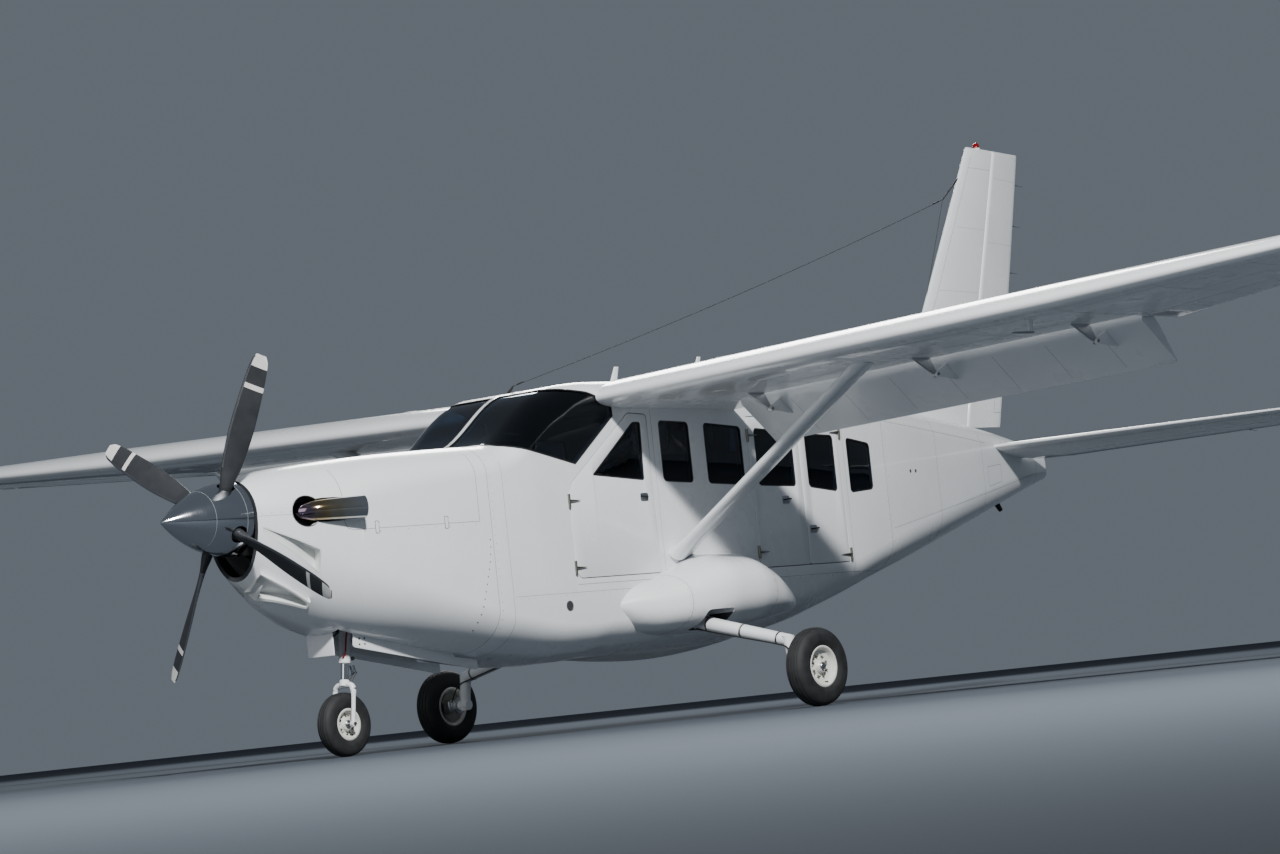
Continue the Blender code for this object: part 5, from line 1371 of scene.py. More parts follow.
@dataclass
class Wing:
    """One wing panel with its flap, aileron, strut and what is fixed to it."""

    side: int
    name: str
    ribs: tuple[float, ...] = (1.02, 1.90, 2.90, 3.85, 4.74, 5.55, 6.30, 7.05)

    def build(self) -> None:
        """Makes every piece of one wing."""
        self.panel()
        self.seams()
        self.flap()
        self.aileron()
        self.strut()
        self.fittings()

    def panel(self) -> None:
        """The wing's skin with a rounded tip, cut out for the flap and the aileron."""
        w, side = WING, self.side
        rows = [w.section(side, x, 0.0, 1.0) for x in
                [*spread(w.root, w.kink, 0.30), *spread(w.kink, w.tip_start, 0.30)[1:]]]
        for turn in spread(0.0, 1.0, 0.125)[1:]:
            angle = turn * math.radians(80)
            rows.append(w.section(side, w.tip_start + (w.tip - w.tip_start) * math.sin(angle) / math.sin(1.3963),
                                  0.05 * turn ** 2, 1.0 - 0.03 * turn ** 2, thin=max(math.cos(angle), 0.16)))
        bays = [w.bay(side, w.flap_x, w.flap_u - w.flap_gap_u), w.bay(side, w.aileron_x,
                                                                      w.aileron_u - w.aileron_gap_u)]
        place(f"wing_{self.name}_skin", carve(skin(rows, capped=True), bays), [WHITE_ENAMEL],
              stands_for=[f"wing_{self.name}"])

    def seams(self) -> None:
        """Rib and spar lines, the root fairing's screws and round inspection covers."""
        w, side = WING, self.side
        lines = [w.chordwise(side, x, upper, 0.04, 0.66, 0.003) for x in self.ribs for upper in (True, False)]
        lines += [w.spanwise(side, u, upper, w.root + 0.01, w.tip_start, 0.003)
                  for u in (0.12, 0.46) for upper in (True, False)]
        place(f"wing_{self.name}_seams", merge(*lines), [PAINTED_SEAM_SHADE])
        screws = [w.spot(side, x, u, upper) for x in (0.685, 0.985) for u in spread(0.03, 0.64, 0.045)
                  for upper in (True, False)]
        screws += [w.spot(side, x, 0.43, False) for x in spread(1.05, 7.0, 0.09)]
        screws += [w.spot(side, x, 0.15, False) for x in spread(1.05, 7.0, 0.09)]
        place(f"wing_{self.name}_screws", studs(screws, 0.0034, 0.0007, 6), [PLATED_STEEL])
        covers = []
        for x in (1.45, 2.40, 3.35, 4.30, 5.15, 5.95, 6.65):
            place_at, normal = w.spot(side, x, 0.30, False)
            covers.append(lathe([(0.0, 0.0), (0.0016, 0.0), (0.0016, 0.056), (0.0, 0.060)],
                                place_at, normal, 32))
        for x in (1.60, 3.60):
            place_at, normal = w.spot(side, x, 0.24, True)
            covers.append(lathe([(0.0, 0.0), (0.004, 0.0), (0.004, 0.036), (0.0015, 0.040), (0.0015, 0.062),
                                 (0.0, 0.064)], place_at, normal, 32))
        place(f"wing_{self.name}_covers", merge(*covers), [WHITE_ENAMEL])

    def flap(self) -> None:
        """The lowered flap, its arms and the brackets that carry it."""
        w, side, body = WING, self.side, f"flap_{self.name}"
        start, end = (w.hinge(side, x) for x in w.flap_x)
        place_it = (Matrix.Translation(start) @ Matrix.Rotation(-w.flap_down * side, 4, (end - start).normalized())
                    @ Matrix.Translation(-start))
        rows = [w.section(side, x, w.flap_u, 1.0, 16, nose=0.035) for x in spread(*w.flap_x, 0.30)]
        flap = skin(rows, capped=True)
        flap.transform(place_it)
        place(f"flap_{self.name}_skin", seal(flap, 0.002, 70), [WHITE_ENAMEL], body,
              [f"flap_{self.name}"])
        lines = []
        for x in spread(w.flap_x[0] + 0.45, w.flap_x[1] - 0.4, 0.55):
            for upper in (True, False):
                line = w.chordwise(side, x, upper, 0.73, 0.98, 0.003)
                line.transform(place_it)
                lines.append(line)
        place(f"flap_{self.name}_seams", merge(*lines), [PAINTED_SEAM_SHADE], body)
        arms, brackets, bolts, pins = [], [], [], []
        for x in w.flap_arms:
            brackets.append(self.arm(x, 0.500, 0.650, Matrix()))
            arms.append(self.arm(x + 2 * w.arm_half + GAP, 0.720, 0.850, place_it))
            hinge, across = w.hinge(side, x), (w.hinge(side, x + 0.1) - w.hinge(side, x)).normalized()
            bolts.append(tube([hinge - across * (w.arm_half + 0.006), hinge - across * w.arm_half], 0.012, 6))
            pins.append(tube([hinge + across * (3 * w.arm_half + GAP), hinge + across * (3 * w.arm_half + 0.007)],
                             0.010, 16))
        place(f"flap_{self.name}_arms", seal(merge(*arms), 0.0015), [WHITE_ENAMEL], body)
        place(f"flap_{self.name}_pins", merge(*pins), [PLATED_STEEL], body)
        place(f"flap_{self.name}_brackets", seal(merge(*brackets), 0.0015), [BARE_ALUMINIUM])
        place(f"flap_{self.name}_bolts", merge(*bolts), [PLATED_STEEL])

    def arm(self, x: float, u_front: float, u_back: float, turn: Matrix) -> BMesh:
        """A plate from the skin down to a round eye on the hinge line."""
        w, side = WING, self.side
        chord, hinge = w.frame(x)[0], w.hinge(side, x)
        across = (w.hinge(side, x + w.arm_half) - hinge).normalized()
        outline = [(w.flap_hinge_u * chord + w.eye_radius * math.cos(a),
                    -w.flap_hinge_drop + w.eye_radius * math.sin(a)) for a in
                   (math.pi * k / 12 for k in range(12, 25))]
        outline += [(u * chord, w.height(u, False) * chord + 0.020) for u in (u_back, u_front)]
        bm = bmesh.new()
        flat = [w.point(side, x, along / chord, height) for along, height in outline]
        outline_face(bm, [p - across * ((p - hinge).dot(across) + w.arm_half) for p in flat])
        thicken(bm, across * 2 * w.arm_half)
        bm.transform(turn)
        return bm

    def aileron(self) -> None:
        """The aileron with its knuckles and the seam of its trim tab."""
        w, side, body = WING, self.side, f"aileron_{self.name}"
        rows = [w.section(side, x, w.aileron_u, 1.0, 16, nose=0.03) for x in spread(*w.aileron_x, 0.30)]
        place(f"aileron_{self.name}_skin", seal(skin(rows, capped=True), 0.002, 70), [WHITE_ENAMEL], body,
              [f"aileron_{self.name}"])
        middle = [w.point(side, x, w.aileron_hinge_u, w.frame(x)[0] * (w.height(w.aileron_hinge_u, True)
                                                                        + w.height(w.aileron_hinge_u, False)) / 2)
                  for x in w.aileron_x]
        along = (middle[1] - middle[0]).normalized() * 0.018
        reach = w.aileron_hinge_u - w.aileron_u + w.aileron_gap_u
        knuckles = []
        for share in (0.08, 0.50, 0.92):
            centre = middle[0].lerp(middle[1], share)
            radius = w.frame(abs(centre.x))[0] * reach * 0.97
            knuckles.append(tube([centre - along, centre + along], radius, 20))
        place(f"aileron_{self.name}_knuckles", merge(*knuckles), [PLATED_STEEL], body)
        lines = [w.chordwise(side, x, upper, 0.77, 0.985, 0.003) for x in spread(5.1, 6.7, 0.4)
                 for upper in (True, False)]
        place(f"aileron_{self.name}_seams", merge(*lines), [PAINTED_SEAM_SHADE], body)

    def strut(self, low: Sequence[float] = (0.6504, 4.420, 1.205), high: Sequence[float] = (2.877, 4.290, 2.400),
              chord: float = 0.215, thick: float = 0.072) -> None:
        """The streamlined strut with a cuff at each end."""
        side = self.side
        foot, head = Vector(low), Vector((2.877, 4.290, 2.480))
        way = Vector((head.x - foot.x, 0, head.z - foot.z)).normalized()
        normal = Vector((-way.z, 0, way.x))

        def slice_at(share: float, grow: float, lean: float = 0.0) -> list[Vector]:
            """The section at a share of the length, grown by a distance."""
            x, s, z = foot + (head - foot) * share
            points = []
            for k in range(32):
                angle = 2 * math.pi * k / 32
                along = 0.5 * math.cos(angle) * (chord + 2 * grow) + lean
                deep = 0.5 * math.sin(angle) * (0.78 - 0.44 * math.cos(angle)) / 0.9 * (thick + 2 * grow)
                points.append(at(side * (x + normal.x * deep), s + along, z + normal.z * deep))
            return points

        last = (high[2] - foot.z) / (head.z - foot.z)
        place(f"wing_strut_{self.name}_tube", skin([slice_at(t, 0.0) for t in spread(0.0, last, 0.08)],
                                                   capped=True),
              [WHITE_ENAMEL], stands_for=[f"wing_strut_{self.name}"])
        cuffs = [skin([slice_at(t, g) for t, g in ((0.845, 0.0004), (0.850, 0.004), (0.885, 0.0065),
                                                    (0.925, 0.012))], capped=True),
                 skin([slice_at(t, g) for t, g in ((0.002, 0.018), (0.020, 0.010), (0.050, 0.0045),
                                                   (0.075, 0.0004))], capped=True)]
        place(f"wing_strut_{self.name}_cuffs", merge(*cuffs), [WHITE_ENAMEL])

    def fittings(self) -> None:
        """Tip lamp, and on the left the air-data tube on its mast."""
        w, side = WING, self.side
        nose = w.point(side, 6.95, 0.012, 0.012)
        lamp = tube([nose + Vector((side * dx, -0.012 + dy, 0)) for dx, dy in
                     ((-0.07, 0.035), (-0.03, 0.008), (0.03, 0.010), (0.075, 0.045))],
                    [0.008, 0.021, 0.021, 0.007], 20)
        place(f"tip_lamp_{self.name}", lamp, [LAMP_RED if side > 0 else LAMP_GREEN])
        if side < 0:
            return
        root, normal = w.spot(side, 4.42, 0.16, False)
        foot = root + normal * 0.085
        mast = skin([[p + Vector((dx, dy, 0)) for dx, dy in
                      ((0.006, 0), (0.004, 0.022), (0, 0.032), (-0.004, 0.022), (-0.006, 0), (-0.004, -0.020),
                       (0, -0.028), (0.004, -0.020))] for p in (root + Vector((0, 0, 0.006)), foot)], capped=True)
        head = [foot + Vector((0, y, 0)) for y in (0.030, 0.0, -0.10, -0.20, -0.205)]
        tip = tube(head, [0.006, 0.0085, 0.0080, 0.0055, 0.0035], 16)
        place("air_data_mast", mast, [WHITE_ENAMEL])
        place("air_data_tube", tip, [BARE_ALUMINIUM])


@dataclass(frozen=True)
class TailLines:
    """The outer shapes of the tailplane and fin, with their hinged rear parts."""

    half_span: float = 2.950
    leading: float = 8.750
    sweep: float = 0.080
    trailing: float = 9.700
    elevator_s: float = 9.290
    elevator_root: float = 0.215
    leading_z: float = 1.930
    slope: float = 0.118
    plane_thick: tuple[float, float] = (0.085, 0.050)
    root_z: float = 2.000
    top_z: float = 4.455
    fin_leading: float = 7.770
    fin_sweep: float = 0.590
    rudder_s: float = 8.712
    rudder_slope: float = 0.335
    fin_trailing: float = 9.229
    trailing_slope: float = 0.2733
    top_fall: float = 0.085
    rudder_low: float = 2.115
    fin_thick: tuple[float, float] = (0.130, 0.070)
    hinge_back: float = 0.016
    hinge_room: float = 0.013

    def edges(self, where: float, upright: bool) -> tuple[float, float, float]:
        """Leading and trailing edge and thickness, at an x of the tailplane or a height of the fin."""
        if upright:
            up = where - self.root_z
            share, (root, tip) = up / (self.top_z - self.root_z), self.fin_thick
            return (self.fin_leading + self.fin_sweep * up, self.fin_trailing + self.trailing_slope * up,
                    root + (tip - root) * share)
        share, (root, tip) = abs(where) / self.half_span, self.plane_thick
        return self.leading + self.sweep * abs(where), self.trailing, root + (tip - root) * share

    def rudder_front(self, z: float) -> float:
        """Station of the rudder's nose at a height."""
        return self.rudder_s + self.rudder_slope * (z - self.root_z)

    def point(self, where: float, upright: bool, s: float, off: float) -> Vector:
        """A point at a distance from the middle surface."""
        if upright:
            share = (where - self.root_z) / (self.top_z - self.root_z)
            fall = self.top_fall * share * (s - self.edges(where, True)[0])
            return at(off, s, where - fall)
        return at(where, s, self.leading_z - self.slope * (s - self.leading) + off)

    def half(self, where: float, upright: bool, s: float) -> float:
        """Half the thickness at a station."""
        leading, trailing, thick = self.edges(where, upright)
        u = min(max((s - leading) / (trailing - leading), 0.0), 1.0)
        return 2.2 * thick * (0.62 * math.sqrt(u) - 0.22 * u - 0.393 * u * u) + 0.002

    def section(self, where: float, upright: bool, front: float, back: float, nose: float = 0.0,
                thin: float = 1.0, steps: int = 20) -> list[Vector]:
        """The section between two stations, with a rounded nose if one is given."""
        rows = []
        for way in (1, -1):
            row = []
            for k in range(steps + 1):
                s = front + (back - front) * (1 - math.cos(math.pi / 2 * k / steps))
                off = self.half(where, upright, s) * thin
                if nose:
                    t = min((s - front) / nose, 1.0)
                    off *= 0.15 + 0.85 * math.sqrt(max(1 - (1 - t) ** 2, 0.0))
                row.append(self.point(where, upright, s, way * off))
            rows.append(row)
        return rows[0][::-1] + rows[1]

    def spot(self, where: float, upright: bool, s: float, way: int) -> tuple[Vector, Vector]:
        """A point of the skin, on the side that way names, and the direction out of it."""
        here, aft, up = (self.point(w, upright, t, way * self.half(w, upright, t)) for w, t in
                         ((where, s), (where, s + 0.01), (where + 0.02, s)))
        normal = (aft - here).cross(up - here).normalized()
        outward = Vector((way, 0, 0)) if upright else Vector((0, 0, way))
        return here, normal if normal.dot(outward) > 0 else -normal

    def seam(self, path: Sequence[tuple[float, float]], upright: bool, way: int, width: float = 0.003) -> BMesh:
        """A seam through (where, station) points of the skin."""
        fine = [(a[0] + (b[0] - a[0]) * t, a[1] + (b[1] - a[1]) * t) for a, b in zip(path, path[1:])
                for t in spread(0, 1, 0.06 / math.dist(a, b))]
        fine = [p for k, p in enumerate(fine) if k == 0 or math.dist(p, fine[k - 1]) > 1e-6]
        spots = [self.spot(w, upright, s, way) for w, s in fine]
        return strip([p for p, _ in spots], [n for _, n in spots], width, 0.0004)


TAIL = TailLines()


@dataclass
class Tail:
    """Fin, rudder, tailplane and elevators, with their seams, hinges and small fittings."""

    tip: float = 0.030       # how much of each tip is rounded

    def build(self) -> None:
        """Makes the tail."""
        self.fin()
        self.tailplane()
        self.fittings()

    def round_tip(self, edge: float, upright: bool, front: Callable[[float], float],
                  back: Callable[[float], float], start: float, nose: float = 0.0) -> list[list[Vector]]:
        """Sections from a start out to a tip, the last few thinning into a rounded end."""
        way = 1 if edge > start else -1
        marks = spread(start, edge - way * self.tip, 0.25)
        rows = [TAIL.section(w, upright, front(w), back(w), nose) for w in marks]
        for turn in spread(0.0, 1.0, 0.2)[1:]:
            angle = turn * math.radians(82)
            w = edge - way * self.tip * (1 - math.sin(angle))
            rows.append(TAIL.section(w, upright, front(w) + 0.012 * turn ** 2, back(w) - 0.006 * turn ** 2, nose,
                                     max(math.cos(angle), 0.15)))
        return rows

    def knuckles(self, name: str, body: str, start: Vector, end: Vector, radius: float) -> None:
        """Three hinge barrels along an edge."""
        along = (end - start).normalized() * 0.018
        barrels = [tube([p - along, p + along], radius, 20) for p in
                   (start.lerp(end, share) for share in (0.08, 0.50, 0.92))]
        place(name, merge(*barrels), [PLATED_STEEL], body)

    def fin(self) -> None:
        """The fin with its seat on the body, and the rudder with its trim tab."""
        t = TAIL
        rows = self.round_tip(t.top_z, True, lambda z: t.edges(z, True)[0],
                              lambda z: t.rudder_front(z) - t.hinge_room, t.root_z)
        fin = carve(skin(rows, capped=True), [LINES.solid(7.0, 9.70, -GAP)])
        place("fin_skin", fin, [WHITE_ENAMEL], stands_for=["fin"])
        rows = self.round_tip(t.top_z, True, t.rudder_front, lambda z: t.edges(z, True)[1], t.rudder_low, 0.03)
        place("rudder_skin", seal(skin(rows, capped=True), 0.002, 70), [WHITE_ENAMEL], "rudder",
              ["rudder"])
        start, end = (t.point(z, True, t.rudder_front(z) + t.hinge_back, 0) for z in (t.rudder_low, t.top_z))
        self.knuckles("rudder_knuckles", "rudder", start, end, 0.027)
        fin_seams, rudder_seams, screws = [], [], []
        for way in (1, -1):
            fin_seams.append(t.seam([(2.30, t.edges(2.30, True)[0] + 0.10), (4.38, t.edges(4.38, True)[0] + 0.07)],
                                    True, way))
            fin_seams.append(t.seam([(4.28, t.edges(4.28, True)[0] + 0.01), (4.28, t.rudder_front(4.28) - 0.02)],
                                    True, way))
            for z in (2.75, 3.25, 3.78):
                fin_seams.append(t.seam([(z, t.edges(z, True)[0] + 0.10), (z, t.rudder_front(z) - 0.02)], True, way,
                                        0.002))
            for z in (2.62, 3.15, 3.68, 4.22):
                rudder_seams.append(t.seam([(z, t.rudder_front(z) + 0.05), (z, t.edges(z, True)[1] - 0.01)], True,
                                           way, 0.002))
            tab = [(z, t.edges(z, True)[1] - 0.115) for z in (2.24, 3.02)]
            ends = [(z, t.edges(z, True)[1] - 0.006) for z in (2.24, 3.02)]
            rudder_seams.append(t.seam([ends[0], *tab, ends[1]], True, way, 0.005))
            for z in spread(2.25, 4.25, 0.075):
                screws.append(t.spot(z, True, t.rudder_front(z) - 0.030, way))
                screws.append(t.spot(z, True, t.edges(z, True)[0] + 0.09, way))
        place("fin_seams", merge(*fin_seams), [PAINTED_SEAM_SHADE])
        place("fin_screws", studs(screws, 0.0030, 0.0006, 6), [PLATED_STEEL])
        place("rudder_seams", merge(*rudder_seams), [PAINTED_SEAM_SHADE], "rudder")

    def tailplane(self) -> None:
        """The tailplane from tip to tip, and the two elevators."""
        t = TAIL
        halves = [self.round_tip(side * t.half_span, False, lambda x: t.edges(x, False)[0],
                                 lambda x: t.elevator_s - t.hinge_room, side * 0.05) for side in (-1, 1)]
        place("tailplane_skin", skin(halves[0][::-1] + halves[1], capped=True), [WHITE_ENAMEL],
              stands_for=["tailplane"])
        seams, moving, screws = [], [], []
        for side, name in SIDES:
            rows = self.round_tip(side * t.half_span, False, lambda x: t.elevator_s, lambda x: t.trailing,
                                  side * t.elevator_root, 0.03)
            place(f"elevator_{name}_skin", seal(skin(rows, capped=True), 0.002, 70), [WHITE_ENAMEL], "elevator",
                  [f"elevator_{name}"])
            hinge_s = t.elevator_s + t.hinge_back
            start, end = (t.point(side * x, False, hinge_s, 0) for x in (t.elevator_root, t.half_span))
            self.knuckles(f"elevator_{name}_knuckles", "elevator", start, end, 0.026)
            for way in (1, -1):
                for x in (0.62, 1.20, 1.78, 2.36):
                    seams.append(t.seam([(side * x, t.edges(x, False)[0] + 0.03), (side * x, t.elevator_s - 0.02)],
                                        False, way, 0.002))
                seams.append(t.seam([(side * 0.25, t.edges(0.25, False)[0] + 0.10),
                                     (side * 2.86, t.edges(2.86, False)[0] + 0.08)], False, way))
                moving.append(t.seam([(side * 0.42, t.trailing - 0.006), (side * 0.42, t.trailing - 0.105),
                                      (side * 1.30, t.trailing - 0.105), (side * 1.30, t.trailing - 0.006)],
                                     False, way, 0.005))
                for x in (1.75, 2.30):
                    moving.append(t.seam([(side * x, t.elevator_s + 0.05), (side * x, t.trailing - 0.01)], False,
                                         way, 0.002))
                for x in spread(0.30, 2.85, 0.075):
                    screws.append(t.spot(side * x, False, t.elevator_s - 0.032, way))
                    screws.append(t.spot(side * x, False, t.edges(x, False)[0] + 0.085, way))
        place("tailplane_seams", merge(*seams), [PAINTED_SEAM_SHADE])
        place("elevator_seams", merge(*moving), [PAINTED_SEAM_SHADE], "elevator")
        place("tailplane_screws", studs(screws, 0.0030, 0.0006, 6), [PLATED_STEEL])

    def fittings(self) -> None:
        """Static wicks, the tail lamp, the beacon and the tail skid."""
        t = TAIL
        wicks, roots = {"rudder": [], "elevator": []}, {"rudder": [], "elevator": []}
        for z in (3.45, 3.85, 4.20):
            start = t.point(z, True, t.edges(z, True)[1] - 0.004, 0)
            wicks["rudder"].append((start, start + Vector((0, 0.115, -0.01))))
        for side, _ in SIDES:
            for x in (2.15, 2.50, 2.82):
                start = t.point(side * x, False, t.trailing - 0.004, 0)
                wicks["elevator"].append((start, start + Vector((0, 0.115, -0.012))))
        for body, pairs in wicks.items():
            place(f"{body}_wicks", merge(*[tube([a, a + (b - a) * 0.30, a + (b - a) * 0.32, b],
                                                [0.0034, 0.0034, 0.0016, 0.0012], 8) for a, b in pairs]),
                  [BLACK_RUBBER], body)
        lamp = lathe([(0.0, 0.0), (0.0, 0.030), (0.016, 0.029), (0.036, 0.020), (0.044, 0.0)],
                     at(0, 9.746, 1.765), Vector((0, 1, 0)), 28)
        place("tail_lamp_lens", lamp, [CLEAR_LENS])
        base = lathe([(-0.012, 0.0), (-0.012, 0.036), (0.0, 0.035), (0.0, 0.0)], at(0, 9.746, 1.765),
                     Vector((0, 1, 0)), 28)
        place("tail_lamp_base", base, [BARE_ALUMINIUM])
        top = t.point(t.top_z, True, 9.36, 0)
        beacon = lathe([(-0.010, 0.0), (-0.010, 0.030), (0.004, 0.030), (0.030, 0.026), (0.046, 0.014),
                        (0.050, 0.0)], top, Vector((0, 0, 1)), 28)
        place("beacon_lens", beacon, [LAMP_RED])
        place("beacon_base", lathe([(-0.02, 0.0), (-0.02, 0.034), (0.003, 0.033), (0.003, 0.0)], top,
                                   Vector((0, 0, 1)), 28), [WHITE_ENAMEL])
        skid = tube(curve_points([at(0, 9.080, 1.560), at(0, 9.105, 1.480), at(0, 9.150, 1.420)], 6),
                    [0.030 - 0.012 * k / 12 for k in range(13)], 18, 1.0)
        place("tail_skid", skid, [BLACK_RUBBER])


# Landing gear


@dataclass
class Wheel:
    """A grooved tyre on a cast rim of two bolted halves, with a brake disc if it has one."""

    name: str
    body: str
    centre: Vector
    outward: int             # the way of the wheel's outer face along X
    radius: float
    width: float
    rim: float
    axle: float
    bolts: int = 6
    disc: float = 0.0        # radius of the brake disc, or 0 for none

    def build(self) -> None:
        """Makes the tyre, rim, bolts, valve and disc."""
        self.tyre()
        self.casting()

    def tyre(self) -> None:
        """The tyre, with grooves round the tread and ribs on the shoulders."""
        half, profile = self.width / 2, []
        grooves = [g * half for g in (-0.50, -0.17, 0.17, 0.50)]
        for k in range(97):
            angle = math.pi * k / 96
            along = half * math.copysign(abs(math.cos(angle)) ** 0.75, math.cos(angle))
            out = self.rim + 0.03 + (self.radius - self.rim - 0.03) * math.sin(angle) ** 0.65
            profile.append([along, out])
        fine = []
        for (a0, r0), (a1, r1) in zip(profile, profile[1:]):
            count = max(1, math.ceil(abs(a1 - a0) / 0.0016))
            fine += [[a0 + (a1 - a0) * j / count, r0 + (r1 - r0) * j / count] for j in range(count)]
        for point in fine + [profile[-1]]:
            depth = 0.0
            for g in grooves:
                depth = max(depth, 0.0055 * ease(0.0042, 0.0022, abs(point[0] - g)))
            if abs(point[0]) > half * 0.80 and point[1] < self.radius - 0.02:
                depth = max(depth, 0.0012 * ease(0.004, 0.001, abs(point[1] - self.rim - 0.055)))
            point[1] -= depth
        outline = [(a, r) for a, r in fine] + [tuple(profile[-1])]
        bead = [(-half * 0.80, self.rim + GAP), (half * 0.80, self.rim + GAP)]
        place(f"{self.name}_tyre_tread", lathe(bead + outline + bead[:1], self.centre, Vector((1, 0, 0)), 96),
              [TYRE_RUBBER], self.body, [self.tyre_node()], 40)

    def tyre_node(self) -> str:
        """The name of the tyre's node."""
        return self.node("tyre")

    def node(self, what: str) -> str:
        """The name of a node of this wheel."""
        stem, _, side = self.name.partition("_wheel")
        return f"{stem}_{what}{side}"

    def casting(self) -> None:
        """The rim with its flanges, dish, hub, lightening holes, tie bolts, valve and cap."""
        half, bore, rim = self.width / 2, self.axle + GAP, self.rim
        profile = [(-half * 0.70, bore), (half * 0.62, bore), (half * 0.62, 0.036), (half * 0.56, 0.042),
                   (half * 0.30, 0.050), (half * 0.24, rim * 0.62), (half * 0.36, rim - 0.032),
                   (half * 0.66, rim - 0.022), (half * 0.76, rim - 0.018), (half * 0.80, rim - 0.010),
                   (half * 0.76, rim), (-half * 0.76, rim), (-half * 0.80, rim - 0.010),
                   (-half * 0.76, rim - 0.020), (-half * 0.45, rim - 0.035), (-half * 0.45, 0.055),
                   (-half * 0.70, 0.045), (-half * 0.70, bore)]
        axis = Vector((self.outward, 0, 0))
        disc = lathe(profile, self.centre, axis, 72)
        holes, bolts, middle = [], [], (rim * 0.62 + 0.050) / 2 + 0.004
        for k in range(self.bolts):
            turn = 2 * math.pi * k / self.bolts
            way = Vector((0, math.cos(turn), math.sin(turn)))
            holes.append(tube([self.centre + way * middle - axis * half, self.centre + way * middle + axis * half],
                              rim * 0.085, 20))
            turn += math.pi / self.bolts
            way = Vector((0, math.cos(turn), math.sin(turn)))
            foot = self.centre + way * middle + axis * half * 0.26
            bolts.append(tube([foot, foot + axis * 0.003], 0.0095, 18))
            bolts.append(tube([foot + axis * 0.003, foot + axis * 0.010], 0.0070, 6))
            bolts.append(tube([foot + axis * 0.010, foot + axis * 0.015], 0.0038, 10))
        place(f"{self.name}_rim_casting", seal(carve(disc, holes), 0.0012, 50), [WHEEL_ENAMEL], self.body,
              [self.node("rim")])
        place(f"{self.name}_tie_bolts", merge(*bolts), [PLATED_STEEL], self.body)
        cap = lathe([(half * 0.60, 0.0), (half * 0.60, 0.030), (half * 0.70, 0.029), (half * 0.76, 0.024),
                     (half * 0.78, 0.0)], self.centre, axis, 40)
        place(f"{self.name}_hub_cap", cap, [BARE_ALUMINIUM], self.body)
        foot = self.centre + Vector((0, 0.3, -0.95)).normalized() * (rim - 0.034) + axis * half * 0.34
        valve = tube([foot, foot + axis * 0.022, foot + axis * 0.022, foot + axis * 0.030],
                     [0.0038, 0.0038, 0.0050, 0.0046], 12)
        place(f"{self.name}_valve", valve, [BLACK_RUBBER], self.body)
        if self.disc:
            inner = lathe([(-half * 0.68, 0.046), (-half * 0.60, 0.046), (-half * 0.60, self.disc),
                           (-half * 0.68, self.disc), (-half * 0.68, 0.046)], self.centre, axis, 64)
            place(f"{self.name}_brake_disc", inner, [PLATED_STEEL], self.body)


